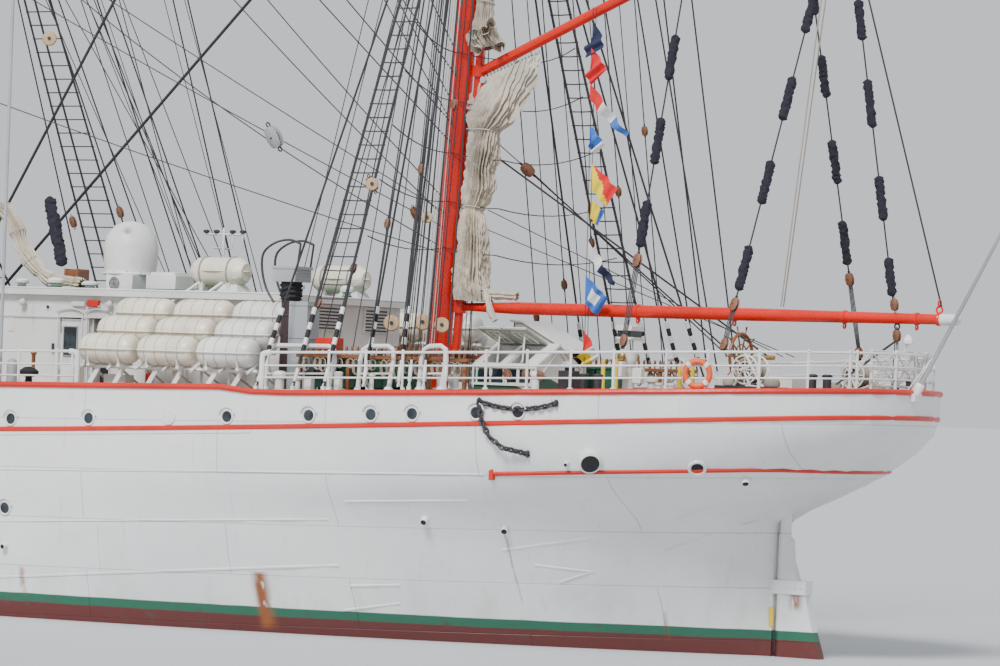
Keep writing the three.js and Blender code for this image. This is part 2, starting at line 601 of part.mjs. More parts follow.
function makeRoof(house) {
  return box(house.x0 - ROOF.over, house.x1 + ROOF.over, -house.half - ROOF.over,
    house.half + ROOF.over, house.top + GAP, roofTop(house))
}

function makeForeHouse() {
  return join([makeWalls(FORE_HOUSE), makeRoof(FORE_HOUSE).translate(0, 0, -2 * GAP)])
}

// Canister lying along X.
function canister(x, y, z) {
  const end = RAFT.length / 2
  const shell = turned([[0, -end], [RAFT.radius * 0.62, -end], [RAFT.radius, -end + RAFT.bevel],
    [RAFT.radius, end - RAFT.bevel], [RAFT.radius * 0.62, end], [0, end]], 12)
  return shell.rotateY(Math.PI / 2).translate(x, y, z)
}

// Aft roof with its two canisters on braced cradles.
function makeAftRoof() {
  const parts = [makeRoof(AFT_HOUSE)]
  const top = roofTop(AFT_HOUSE)
  for (const { x, y, z } of ROOF_RAFTS) {
    const belly = z - RAFT.radius + 0.06
    parts.push(canister(x, y, z))
    for (const dx of [-0.45, 0.45]) {
      parts.push(box(x + dx - 0.06, x + dx + 0.06, y - 0.3, y + 0.3, top - 0.02, belly + 0.05))
      parts.push(rod([x + dx + 0.9, y, top - 0.02], [x + dx, y, belly], 0.05, 0.05, 6))
    }
  }
  return join(parts)
}

function makeDoor(door) {
  const low = deck(door.x) + DOOR.sill + DOOR.gap
  const high = deck(door.x) + DOOR.sill + DOOR.height - DOOR.gap
  const half = DOOR.width / 2 - DOOR.gap
  const face = door.side * (door.house.half - 0.04)
  const back = face - door.side * DOOR.thick
  const leaf = box(-half, half, Math.min(face, back), Math.max(face, back), low, high)
  const pinX = half + DOOR.pin
  const pinY = door.open ? back : face
  const knuckle = rod([pinX, pinY, low + 0.2], [pinX, pinY, high - 0.2], DOOR.pin * 1.2, DOOR.pin * 1.2, 8)
  const shape = join([leaf, knuckle])
  const swing = door.open ? door.side * DOOR.swing * DEG : 0
  return shape.translate(-pinX, -pinY, 0).rotateZ(swing).translate(door.x + pinX, pinY, 0)
}

// Points along the port deck edge from x1 round to the stern, moved inboard by inset.
function deckPath(x1, inset) {
  const edge = [[x1, halfBeam(x1)], ...levelStations(LEVELS[LEVELS.length - 1]).filter(([x]) => x < x1)]
  return edge.map(([x, y], i) => {
    const [xa, ya] = edge[Math.max(0, i - 1)]
    const [xb, yb] = edge[Math.min(edge.length - 1, i + 1)]
    const run = Math.hypot(xb - xa, yb - ya)
    return [x - inset * (yb - ya) / run, y + inset * (xb - xa) / run]
  })
}

// Height of the rail's bar over the deck edge.
function railHeight(x) {
  const inside = Math.min(x - RAFT_GAP.aft, RAFT_GAP.fore - x)
  const share = Math.min(1, Math.max(0, inside / RAFT_GAP.slope))
  return RAIL.height + (RAFT_GAP.height - RAIL.height) * share
}

// The path with a point added at each bend of the rail's height.
function withBends(path) {
  const bends = [RAFT_GAP.fore, RAFT_GAP.fore - RAFT_GAP.slope, RAFT_GAP.aft + RAFT_GAP.slope, RAFT_GAP.aft]
  const points = []
  path.forEach(([x, y], i) => {
    points.push([x, y])
    if (i + 1 === path.length) return
    const [xb, yb] = path[i + 1]
    for (const bend of bends) {
      if (bend < x - 0.01 && bend > xb + 0.01) points.push([bend, y + (yb - y) * (bend - x) / (xb - x)])
    }
  })
  return points
}

// Square bar swept along the port path, round the stern and back to starboard.
function railBar(path) {
  const port = withBends(path)
  const line = port.concat(port.map(([x, y]) => [x, -y]).reverse())
  const rings = line.map(([x, y], i) => {
    const before = line[Math.max(0, i - 1)]
    const after = line[Math.min(line.length - 1, i + 1)]
    const run = Math.hypot(after[0] - before[0], after[1] - before[1])
    const nx = -(after[1] - before[1]) / run * RAIL.bar
    const ny = (after[0] - before[0]) / run * RAIL.bar
    const z = sheer(x) + railHeight(x)
    return [
      [x + nx, y + ny, z - RAIL.bar], [x + nx, y + ny, z + RAIL.bar],
      [x - nx, y - ny, z + RAIL.bar], [x - nx, y - ny, z - RAIL.bar]
    ]
  })
  return loftTube(rings)
}

function railPosts(path, side) {
  const parts = []
  let walked = 0
  for (let i = 0; i < path.length - 1; i++) {
    const [xa, ya] = path[i]
    const [xb, yb] = path[i + 1]
    const length = Math.hypot(xb - xa, yb - ya)
    for (let next = Math.ceil(walked / RAIL.pitch) * RAIL.pitch; next < walked + length; next += RAIL.pitch) {
      const share = (next - walked) / length
      const x = xa + (xb - xa) * share
      if (railHeight(x) < RAIL.height) continue
      const y = side * (ya + (yb - ya) * share)
      parts.push(box(x - RAIL.post, x + RAIL.post, y - RAIL.post, y + RAIL.post,
        sheer(x) + GAP, sheer(x) + RAIL.height))
    }
    walked += length
  }
  return parts
}

function makeRail(path) {
  return join([railBar(path), ...railPosts(path, 1), ...railPosts(path, -1)])
}

// Stepped rack of liferaft canisters beside the aft house.
function makeRafts(side) {
  const parts = []
  const x0 = RAFT.x - RAFT.length / 2 - RACK.over
  const x1 = RAFT.x + (RAFT.columns - 1) * RAFT.pitch + RAFT.length / 2 + RACK.over
  const low = RACK.z - RAFT.radius
  for (let row = 0; row < RAFT.rows; row++) {
    const y = side * (RACK.y - row * RACK.inset)
    const z = RACK.z + row * RACK.drop
    for (let column = 0; column < RAFT.columns; column++) parts.push(canister(RAFT.x + column * RAFT.pitch, y, z))
    parts.push(box(x0, x1, y - 0.06, y + 0.06, z - RAFT.radius - 0.06, z - RAFT.radius + 0.05))
  }
  for (let i = 0; i <= RAFT.columns; i++) {
    const x = x0 + 0.1 + i * (x1 - x0 - 0.2) / RAFT.columns
    const far = RACK.y - (RAFT.rows - 1) * RACK.inset
    parts.push(rod([x, side * (RACK.y + 0.1), low - 0.02],
      [x, side * far, low + (RAFT.rows - 1) * RACK.drop - 0.02], 0.05, 0.05, 6))
    for (const y of [RACK.y, far + 0.12]) {
      const z = low + (RACK.y - y) * RACK.drop / RACK.inset
      parts.push(box(x - 0.05, x + 0.05, side * y - 0.05, side * y + 0.05, standing(x, 0.05), z))
    }
  }
  return join(parts)
}

function makeLid(lid) {
  const slope = Math.atan2(SKYLIGHT.ridge - SKYLIGHT.eave, SKYLIGHT.half - SKYLIGHT.hinge)
  const tilt = (lid.open ? LID.open * DEG : 0) - slope
  const half = (lid.x1 - lid.x0) / 2
  const shape = box(-half, half, 0, LID.width, 0, LID.thick).rotateX(tilt)
  if (lid.side < 0) shape.rotateZ(Math.PI)
  return shape.translate((lid.x0 + lid.x1) / 2, lid.side * SKYLIGHT.hinge,
    skylightDeck() + SKYLIGHT.ridge + LID.slack)
}

function boatHull(x, y, z) {
  const rings = []
  const count = 7
  for (let i = 0; i <= count; i++) {
    const share = Math.min(0.985, Math.max(0.015, i / count))
    const swell = Math.pow(Math.sin(Math.PI * share), 0.6)
    const ring = []
    for (let k = 0; k < 10; k++) {
      const angle = k / 10 * 2 * Math.PI
      const deep = Math.sin(angle) < 0 ? 0.62 : 0.5
      ring.push([x + (share - 0.5) * LIFEBOAT.length, y + LIFEBOAT.beam / 2 * swell * Math.cos(angle),
        z + LIFEBOAT.depth * deep * (0.35 + 0.65 * swell) * Math.sin(angle)])
    }
    rings.push(ring)
  }
  return loftTube(rings)
}

function loftTube(rings) {
  const count = rings[0].length
  const index = []
  for (let i = 0; i < rings.length - 1; i++) {
    for (let k = 0; k < count; k++) {
      const a = i * count + k
      const b = i * count + (k + 1) % count
      index.push(a, b, a + count, b, b + count, a + count)
    }
  }
  const last = (rings.length - 1) * count
  for (let k = 1; k < count - 1; k++) {
    index.push(0, k + 1, k, last, last + k, last + k + 1)
  }
  const geometry = new THREE.BufferGeometry()
  geometry.setAttribute('position', new THREE.BufferAttribute(new Float32Array(rings.flat(2)), 3))
  geometry.setIndex(index)
  return geometry
}

function makeLifeboats(side) {
  const y = side * LIFEBOAT.y
  const keel = LIFEBOAT.z - 0.9
  const reach = LIFEBOAT.skid + 0.6
  const parts = [box(LIFEBOAT.xs[0] - reach, LIFEBOAT.xs[1] + reach, y - 0.08, y + 0.08, keel - 0.15, keel + 0.15)]
  for (const x of LIFEBOAT.xs) {
    parts.push(boatHull(x, y, LIFEBOAT.z))
    for (const at of [x - LIFEBOAT.skid, x + LIFEBOAT.skid]) {
      parts.push(box(at - 0.12, at + 0.12, y - 0.9, y + 0.9, keel - 0.1, keel + 0.35))
      for (const leg of [y - LIFEBOAT.stance, y + LIFEBOAT.stance]) {
        parts.push(box(at - 0.1, at + 0.1, leg - 0.1, leg + 0.1, standing(at, 0.1), keel))
      }
    }
  }
  return join(parts)
}

// Dome of the satellite aerial on its post on the aft house roof.
function makeRadar() {
  const { x, y, post, foot, base } = RADAR
  const z = roofTop(AFT_HOUSE) + GAP
  const dome = turned([[0, base], [0.70, base + 0.03], [0.75, base + 0.42], [0.76, base + 0.77],
    [0.68, base + 1.12], [0.45, base + 1.39], [0.2, base + 1.49], [0, base + 1.51]], 20)
  return join([
    rod([x, y, z], [x, y, base + 0.2], post, post, 10),
    box(x - foot, x + foot, y - foot, y + foot, z, z + 0.06),
    dome.translate(x, y, 0)
  ])
}

// Dark exhaust column abaft the house, with the box on its head and the cabinet beside it.
function makeExhaust() {
  const { x, y, radius, sleeve, sleeveFoot, head, top, half } = EXHAUST
  return join([
    rod([x, y, standing(x, radius)], [x, y, sleeveFoot], radius, radius, 16),
    rod([x, y, sleeveFoot - 0.02], [x, y, head + 0.02], sleeve, sleeve, 16),
    box(x - half, x + half, y - half, y + half, head, top),
    onDeck(CABINET.x0, CABINET.x1, CABINET.y0, CABINET.y1, CABINET.top)
  ])
}

function build() {
  solid('hull', makeHull(), 0xe4e4de)
  solid('rudder', makeRudder(), 0xe0e0da)
  solid('propeller', makePropeller(), 0x9a7b3a)
  for (const [name, mast] of Object.entries(MASTS)) solid(`${name}mast`, makeMast(mast), 0xc4572e)
  for (const name of ['fore', 'main', 'mizzen']) {
    for (const yard of YARDS) solid(`${name}_${yard.name}_yard`, makeYard(MASTS[name], yard), 0xc4572e)
  }
  solid('spanker_pole', spankerPole(), 0xc4572e)
  solid('spanker_boom', makeBoom(), 0xc4572e)
  for (const gaff of GAFFS) solid(gaff.name, makeGaff(gaff), 0xc4572e)
  for (const sail of SAILS) solid(sail.name, makeSail(sail), 0x9c9488)
  makeStays()
  solid('bowsprit', makeBowsprit(), 0xc4572e)
  solid('aft_house_walls', makeWalls(AFT_HOUSE), 0xe4e4de)
  solid('aft_house_roof', makeAftRoof(), 0xd8d8d0)
  solid('bridge_house_walls', makeWalls(BRIDGE_HOUSE), 0xe4e4de)
  solid('bridge_house_roof', makeRoof(BRIDGE_HOUSE), 0xd8d8d0)
  solid('fore_house', makeForeHouse(), 0xe4e4de)
  for (const door of DOORS) solid(door.name, makeDoor(door), 0xe4e4de)
  solid('poop_rail', makeRail(deckPath(WELL.x0 - 0.3, RAIL.inset)), 0xe4e4de)
  solid('port_liferafts', makeRafts(1), 0xd9cfae)
  solid('starboard_liferafts', makeRafts(-1), 0xd9cfae)
  for (const lid of LIDS) solid(lid.name, makeLid(lid), 0xe4e4de)
  solid('port_lifeboats', makeLifeboats(1), 0xd8d8d0)
  solid('starboard_lifeboats', makeLifeboats(-1), 0xd8d8d0)
  solid('radar_dome', makeRadar(), 0xe4e4de)
  solid('exhaust_column', makeExhaust(), 0x30343a)
}

build()

export default group
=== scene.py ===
import math
import random

import bmesh
import bpy
from mathutils import Matrix, Vector, noise
from mathutils.bvhtree import BVHTree


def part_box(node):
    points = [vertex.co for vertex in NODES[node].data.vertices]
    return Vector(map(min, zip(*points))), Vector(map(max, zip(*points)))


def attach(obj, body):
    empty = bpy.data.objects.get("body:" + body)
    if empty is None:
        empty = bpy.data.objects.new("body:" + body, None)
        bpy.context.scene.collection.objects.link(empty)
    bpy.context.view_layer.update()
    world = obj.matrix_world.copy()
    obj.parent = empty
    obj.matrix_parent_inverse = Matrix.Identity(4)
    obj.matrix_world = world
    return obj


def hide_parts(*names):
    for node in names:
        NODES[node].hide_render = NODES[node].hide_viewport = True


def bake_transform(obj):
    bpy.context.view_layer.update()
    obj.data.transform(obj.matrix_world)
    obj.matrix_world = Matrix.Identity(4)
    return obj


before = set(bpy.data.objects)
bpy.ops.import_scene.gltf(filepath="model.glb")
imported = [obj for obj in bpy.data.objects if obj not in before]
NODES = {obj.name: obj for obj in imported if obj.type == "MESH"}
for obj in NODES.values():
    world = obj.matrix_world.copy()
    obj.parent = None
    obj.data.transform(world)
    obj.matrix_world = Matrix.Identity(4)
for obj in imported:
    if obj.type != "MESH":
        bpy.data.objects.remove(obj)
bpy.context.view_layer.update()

# Sizes are in metres of the full-size ship; S turns them into metres of the 1:10 model.
# X runs forward from amidships, Y to port, Z up from the waterline.
S = 0.1
UP = Vector((0, 0, 1))
SIDES = (1, -1)

# Camera at the photograph's viewpoint: off the port quarter, level with the rail.
EYE = Vector((-103.0265, 98.95, 6.558))
HEADING = math.radians(32.0)
PITCH = math.atan(57 / 4360)
ROLL = math.radians(2.2)
LENS = 156.96

# Sizes that the solids were made with.
RAKE = math.radians(2.9)
WELL = (4.0, 37.0)
WELL_DEPTH = 1.3
MAST_X = {"fore": 33.5, "main": 9.4, "mizzen": -14.9, "jigger": -39.24}
SQUARE_MASTS = ("fore", "main", "mizzen")
TOP_Z = 22.4
TREES_Z = 36.2
POLE_AHEAD = 0.72
# Yards: height on the mast, length, radius, distance ahead of the mast.
YARDS = {
    "course": (19.6, 28.9, 0.31, 0.92),
    "lower_topsail": (25.8, 26.8, 0.29, 0.88),
    "upper_topsail": (28.1, 24.8, 0.27, 0.86),
    "lower_topgallant": (41.0, 21.6, 0.24, 1.38),
    "upper_topgallant": (43.0, 19.4, 0.21, 1.36),
    "royal": (48.6, 15.2, 0.18, 1.30),
}
# Houses: after end, forward end, half width.
AFT_HOUSE = (-36.1, -22.0, 2.85)
BRIDGE_HOUSE = (-8.6, 1.6, 4.0)
FORE_HOUSE = (15.0, 26.5, 3.6)
FORE_ROOF = 7.51
BOX_FACES = [(0, 1, 3, 2), (4, 6, 7, 5), (0, 4, 5, 1), (2, 3, 7, 6), (0, 2, 6, 4), (1, 5, 7, 3)]


def sheer(x):
    if x < -10:
        return 5.95 + 0.95 * ((x + 10) / 44) ** 2
    return 5.95 + 2.6 * ((x + 10) / 64) ** 2


def deck(x):
    return sheer(x) - (WELL_DEPTH if WELL[0] < x < WELL[1] else 0)


def mast_point(mast, z, ahead=0.0, y=0.0):
    x = MAST_X[mast]
    return Vector((
        x + math.tan(RAKE) * sheer(x) - z * math.sin(RAKE) + ahead * math.cos(RAKE),
        y,
        z * math.cos(RAKE) + ahead * math.sin(RAKE),
    ))


def around(count, closed=False):
    """Angles of a full turn in equal steps; a closed one ends where it began."""
    return [2 * math.pi * k / count for k in range(count + closed)]


def smooth_step(low, high, value):
    share = min(1, max(0, (value - low) / (high - low)))
    return share * share * (3 - 2 * share)


# Geometry in ship metres.
class Shape:
    """Faces of one piece; make() turns them into a mesh of the model."""

    def __init__(self):
        self.points = []
        self.faces = []
        self.marks = []

    def add(self, points, faces, mark=0):
        base = len(self.points)
        self.points.extend(Vector(point) for point in points)
        self.faces.extend(tuple(base + i for i in face) for face in faces)
        self.marks.extend([mark] * len(faces))

    def skin(self, rings, mark=0):
        """Skin over a row of rings, closed at both ends."""
        count = len(rings[0])
        faces = []
        for level in range(len(rings) - 1):
            for i in range(count):
                a = level * count + i
                b = level * count + (i + 1) % count
                faces.append((a, b, b + count, a + count))
        last = (len(rings) - 1) * count
        faces.append(tuple(reversed(range(count))))
        faces.append(tuple(range(last, last + count)))
        self.add([point for ring in rings for point in ring], faces, mark)

    def tube(self, path, radius, sides=6, mark=0):
        path = [Vector(point) for point in path]
        side = None
        rings = []
        for i, point in enumerate(path):
            along = (path[min(i + 1, len(path) - 1)] - path[max(i - 1, 0)]).normalized()
            if side is None:
                side = along.orthogonal().normalized()
            side = (side - along * side.dot(along)).normalized()
            over = along.cross(side)
            r = radius[i] if isinstance(radius, (list, tuple)) else radius
            rings.append([point + side * (r * math.cos(a)) + over * (r * math.sin(a)) for a in around(sides)])
        self.skin(rings, mark)

    def lathe(self, profile, at, axis=UP, sides=12, mark=0):
        """Turned shape: profile is [(radius, height)] along axis, closed at both ends."""
        along = Vector(axis).normalized()
        side = along.orthogonal().normalized()
        over = along.cross(side)
        rings = []
        for radius, height in profile:
            middle = Vector(at) + along * height
            ring = []
            for a in around(sides):
                ring.append(middle + side * (radius * math.cos(a)) + over * (radius * math.sin(a)))
            rings.append(ring)
        self.skin(rings, mark)

    def ring(self, at, axis, radius, thick, sides=16, mark=0, section=6):
        """Round ring about an axis."""
        along = Vector(axis).normalized()
        side = along.orthogonal().normalized()
        over = along.cross(side)
        points = []
        faces = []
        for turn in around(sides):
            out = side * math.cos(turn) + over * math.sin(turn)
            for a in around(section):
                reach = radius + thick * math.cos(a)
                points.append(Vector(at) + out * reach + along * (thick * math.sin(a)))
        for i in range(sides):
            for k in range(section):
                a = i * section + k
                b = i * section + (k + 1) % section
                c = (i + 1) % sides * section
                faces.append((a, c + k, c + (k + 1) % section, b))
        self.add(points, faces, mark)

    def brick(self, low, high, mark=0):
        """Box between two corners."""
        xs, ys, zs = zip(Vector(low), Vector(high))
        self.add([(x, y, z) for x in xs for y in ys for z in zs], BOX_FACES, mark)

    def grid(self, rows, mark=0, paint=None):
        """Open sheet over rows of points; paint(u, v) may give each face its own mark."""
        count = len(rows[0])
        faces = []
        marks = []
        for j in range(len(rows) - 1):
            for i in range(count - 1):
                a = j * count + i
                faces.append((a, a + 1, a + count + 1, a + count))
                marks.append(paint((i + 0.5) / (count - 1), (j + 0.5) / (len(rows) - 1)) if paint else mark)
        base = len(self.points)
        self.points.extend(Vector(point) for row in rows for point in row)
        self.faces.extend(tuple(base + i for i in face) for face in faces)
        self.marks.extend(marks)

    def make(self, name, materials, slot, body="ship", smooth=40, bevel=0.0):
        mesh = bpy.data.meshes.new(name)
        mesh.from_pydata([point * S for point in self.points], [], self.faces)
        for material in materials if isinstance(materials, (list, tuple)) else [materials]:
            mesh.materials.append(material)
        mesh.polygons.foreach_set("material_index", self.marks)
        form = bmesh.new()
        form.from_mesh(mesh)
        bmesh.ops.recalc_face_normals(form, faces=form.faces)
        form.to_mesh(mesh)
        form.free()
        mesh.validate()
        piece = bpy.data.objects.new(name, mesh)
        bpy.context.scene.collection.objects.link(piece)
        if smooth:
            mesh.shade_smooth()
            mesh.set_sharp_from_angle(angle=math.radians(smooth))
        if bevel:
            rounded = piece.modifiers.new("rounded", "BEVEL")
            rounded.width = bevel * S
            rounded.segments = 1
        if body:
            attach(piece, body)
        return piece


def sag_path(a, b, sag=0.0, steps=8):
    """Rope between two points that hangs down by sag in the middle."""
    a, b = Vector(a), Vector(b)
    return [a.lerp(b, i / steps) - UP * (4 * sag * (i / steps) * (1 - i / steps)) for i in range(steps + 1)]


def noise_at(x, y, z):
    return noise.noise(Vector((x, y, z)))


# Materials, all procedural. Lengths are given in ship metres.
DIRT = (0.25, 0.17, 0.11)
PLANK_WIDTH = 0.14


class Paint:
    """Node tree of one material, with its own short words for the nodes that are used."""

    def __init__(self, name):
        self.mat = bpy.data.materials.new(name)
        self.mat.use_nodes = True
        self.tree = self.mat.node_tree
        self.shader = self.tree.nodes["Principled BSDF"]
        self.place = self.tree.nodes.new("ShaderNodeTexCoord").outputs["Object"]

    def link(self, source, target):
        self.tree.links.new(source, target)

    def stretched(self, scale):
        node = self.tree.nodes.new("ShaderNodeMapping")
        node.inputs["Scale"].default_value = scale
        self.link(self.place, node.inputs["Vector"])
        return node.outputs["Vector"]

    def noise(self, size, detail=4.0, stretch=(1, 1, 1), rough=0.55):
        node = self.tree.nodes.new("ShaderNodeTexNoise")
        node.inputs["Scale"].default_value = 1.0
        node.inputs["Detail"].default_value = detail
        node.inputs["Roughness"].default_value = rough
        step = size * S
        self.link(self.stretched([1 / (step * s) for s in stretch]), node.inputs["Vector"])
        return node.outputs["Fac"]

    def ramp(self, value, low, high, a=0.0, b=1.0):
        node = self.tree.nodes.new("ShaderNodeMapRange")
        node.interpolation_type = "SMOOTHSTEP"
        for socket, number in (("From Min", low), ("From Max", high), ("To Min", a), ("To Max", b)):
            node.inputs[socket].default_value = number
        self.link(value, node.inputs["Value"])
        return node.outputs["Result"]

    def math(self, operation, a, b=None):
        node = self.tree.nodes.new("ShaderNodeMath")
        node.operation = operation
        for socket, value in zip(node.inputs, (a, b)):
            if value is None:
                continue
            if isinstance(value, (int, float)):
                socket.default_value = value
            else:
                self.link(value, socket)
        return node.outputs["Value"]

    def mix(self, factor, a, b):
        node = self.tree.nodes.new("ShaderNodeMix")
        node.data_type = "RGBA"
        for socket, value in ((node.inputs[0], factor), (node.inputs[6], a), (node.inputs[7], b)):
            if isinstance(value, (int, float)):
                socket.default_value = value
            elif isinstance(value, tuple):
                socket.default_value = (*value, 1)
            else:
                self.link(value, socket)
        return node.outputs[2]

    def axis(self, name):
        node = self.tree.nodes.new("ShaderNodeSeparateXYZ")
        self.link(self.place, node.inputs[0])
        return self.math("MULTIPLY", node.outputs[name], 1 / S)

    def bump(self, height, depth, after=None):
        node = self.tree.nodes.new("ShaderNodeBump")
        node.inputs["Distance"].default_value = depth * S
        node.inputs["Strength"].default_value = 1.0
        self.link(height, node.inputs["Height"])
        if after is not None:
            self.link(after, node.inputs["Normal"])
        return node.outputs["Normal"]

    def finish(self, colour, rough=0.5, metal=0.0, normal=None):
        if isinstance(colour, tuple):
            self.shader.inputs["Base Color"].default_value = (*colour, 1)
        else:
            self.link(colour, self.shader.inputs["Base Color"])
        if isinstance(rough, (int, float)):
            self.shader.inputs["Roughness"].default_value = rough
        else:
            self.link(rough, self.shader.inputs["Roughness"])
        self.shader.inputs["Metallic"].default_value = metal
        if normal is not None:
            self.link(normal, self.shader.inputs["Normal"])
        return self.mat


def shade(colour, factor):
    return tuple(min(1.0, channel * factor) for channel in colour)


def worn(name, colour, rough=0.45, metal=0.0, dirt=DIRT, grime=0.25, vary=0.12, grain=0.4, depth=0.004):
    """Painted or bare surface with patchy colour, streaks running down and a fine uneven skin."""
    paint = Paint(name)
    patches = paint.ramp(paint.noise(grain * 4), 0.35, 0.68)
    body = paint.mix(patches, shade(colour, 1 - vary), shade(colour, 1 + vary * 0.5))
    streaks = paint.ramp(paint.noise(grain * 0.7, 6, (0.35, 0.35, 3.0)), 0.58, 0.8, 0, grime)
    body = paint.mix(streaks, body, dirt)
    skin = paint.noise(grain * 0.25, 3)
    gloss = paint.ramp(skin, 0.3, 0.7, rough * 0.8, min(1, rough * 1.25))
    return paint.finish(body, gloss, metal, paint.bump(skin, depth))


def hull_paint():
    """White plating over a green and a dark red boot top, with plate laps, dirt and rust runs; low down the
    white darkens in patches, partly dirt and partly painted shade.
    """
    paint = Paint("hull_paint")
    x, z = paint.axis("X"), paint.axis("Z")
    aft = paint.math("MAXIMUM", paint.math("SUBTRACT", paint.math("MULTIPLY", x, -1), 10), 0)
    curve = paint.math("MULTIPLY", paint.math("MULTIPLY", aft, aft), 0.95 / 44 ** 2)
    level = paint.math("SUBTRACT", z, paint.math("MULTIPLY", curve, paint.ramp(z, 0, 6, 0.5, 1.0)))
    wander = paint.noise(0.5, 3, (3, 3, 1))
    level_edge = paint.math("ADD", z, paint.math("MULTIPLY", wander, 0.05))

    white = paint.mix(paint.ramp(paint.noise(5), 0.35, 0.7), (0.80, 0.80, 0.79), (0.70, 0.71, 0.71))
    blotches = paint.ramp(paint.noise(0.9, 8, (2.5, 2.5, 0.8)), 0.52, 0.75, 0, 0.35)
    white = paint.mix(blotches, white, (0.60, 0.61, 0.62))
    streaks = paint.ramp(paint.noise(0.55, 7, (0.5, 0.5, 6)), 0.58, 0.80, 0, 0.42)
    white = paint.mix(streaks, white, (0.50, 0.47, 0.42))
    # Partly dirt and partly painted shade: the white darkens in patches towards the waterline.
    near_water = paint.ramp(z, 3.2, 0.6)
    spots = paint.ramp(paint.noise(0.8, 6, (1, 1, 3)), 0.45, 0.8)
    low_dirt_and_shade = paint.math("MULTIPLY", near_water, spots)
    white = paint.mix(paint.math("MULTIPLY", low_dirt_and_shade, 0.45), white, (0.46, 0.44, 0.38))

    bricks = paint.tree.nodes.new("ShaderNodeTexBrick")
    plates = paint.tree.nodes.new("ShaderNodeCombineXYZ")
    paint.link(x, plates.inputs["X"])
    paint.link(level, plates.inputs["Y"])
    paint.link(plates.outputs[0], bricks.inputs["Vector"])
    bricks.inputs["Scale"].default_value = 1.0
    bricks.inputs["Brick Width"].default_value = 7.4
    bricks.inputs["Row Height"].default_value = 1.28
    bricks.inputs["Mortar Size"].default_value = 0.014
    bricks.inputs["Mortar Smooth"].default_value = 0.6
    bricks.offset = 0.43
    bricks.inputs["Color1"].default_value = (0.25, 0.25, 0.25, 1)
    bricks.inputs["Color2"].default_value = (0.75, 0.75, 0.75, 1)
    lap = bricks.outputs["Fac"]
    white = paint.mix(paint.math("MULTIPLY", lap, 0.28), white, (0.40, 0.41, 0.42))
    white = paint.mix(paint.ramp(bricks.outputs["Color"], 0.2, 0.8, 0, 0.10), white, (0.62, 0.64, 0.66))

    boot = paint.mix(paint.ramp(level_edge, 0.44, 0.49), (0.105, 0.020, 0.017), (0.016, 0.115, 0.066))
    boot = paint.mix(paint.ramp(paint.noise(0.35, 6), 0.56, 0.75, 0, 0.7), boot, (0.075, 0.045, 0.035))
    colour = paint.mix(paint.ramp(level_edge, 0.68, 0.715), boot, white)
    for at_x, low, high, half, strength in RUST_RUNS:
        across = paint.math("ABSOLUTE", paint.math("SUBTRACT", x, at_x))
        narrow = paint.ramp(across, 0, half, 1, 0)
        tall = paint.math("MULTIPLY", paint.ramp(z, low, low + 0.25), paint.ramp(z, high + 0.12, high - 0.05))
        patchy = paint.ramp(paint.noise(0.22, 6, (0.8, 0.8, 2.6)), 0.28, 0.50)
        run = paint.math("MULTIPLY", paint.math("MULTIPLY", narrow, tall), patchy)
        colour = paint.mix(paint.math("MULTIPLY", run, strength), colour, (0.26, 0.075, 0.018))
    dents = paint.noise(0.62, 2, (1, 1, 1.7), 0.4)
    skin = paint.noise(0.12, 4)
    relief = paint.bump(lap, -0.012, paint.bump(skin, 0.002, paint.bump(dents, 0.020)))
    return paint.finish(colour, paint.ramp(paint.noise(1.4), 0.3, 0.7, 0.30, 0.46), 0.0, relief)


def plank_paint(name, colour):
    """Planks along the ship with dark seams, each plank a little different."""
    paint = Paint(name)
    bricks = paint.tree.nodes.new("ShaderNodeTexBrick")
    plane = paint.tree.nodes.new("ShaderNodeCombineXYZ")
    paint.link(paint.axis("X"), plane.inputs["X"])
    paint.link(paint.axis("Y"), plane.inputs["Y"])
    paint.link(plane.outputs[0], bricks.inputs["Vector"])
    bricks.inputs["Scale"].default_value = 1.0
    bricks.inputs["Brick Width"].default_value = 5.5
    bricks.inputs["Row Height"].default_value = PLANK_WIDTH
    bricks.inputs["Mortar Size"].default_value = PLANK_WIDTH * 0.06
    bricks.inputs["Color1"].default_value = (*shade(colour, 0.8), 1)
    bricks.inputs["Color2"].default_value = (*shade(colour, 1.15), 1)
    bricks.inputs["Mortar"].default_value = (0.03, 0.025, 0.02, 1)
    grain = paint.ramp(paint.noise(0.3, 6, (6, 0.3, 1)), 0.4, 0.7, 0, 0.35)
    body = paint.mix(grain, bricks.outputs["Color"], shade(colour, 0.55))
    return paint.finish(body, 0.7, 0.0, paint.bump(bricks.outputs["Fac"], -0.006))


def canvas_paint(name, colour):
    """Weathered sailcloth: blotches, soft mildew, creases and a fine weave."""
    paint = Paint(name)
    body = paint.mix(paint.ramp(paint.noise(1.1, 6), 0.36, 0.68), shade(colour, 0.80), shade(colour, 1.12))
    mildew = paint.ramp(paint.noise(0.3, 8, (1, 1, 2.5)), 0.55, 0.78, 0, 0.45)
    body = paint.mix(mildew, body, shade(colour, 0.48))
    creases = paint.noise(0.09, 5, (1, 1, 5))
    weave = paint.noise(0.02, 2)
    return paint.finish(body, 0.92, 0.0, paint.bump(creases, 0.03, paint.bump(weave, 0.004)))


def glass_paint():
    paint = Paint("window_glass")
    body = paint.mix(paint.ramp(paint.noise(0.5), 0.4, 0.6), (0.010, 0.016, 0.020), (0.03, 0.042, 0.05))
    return paint.finish(body, 0.12)


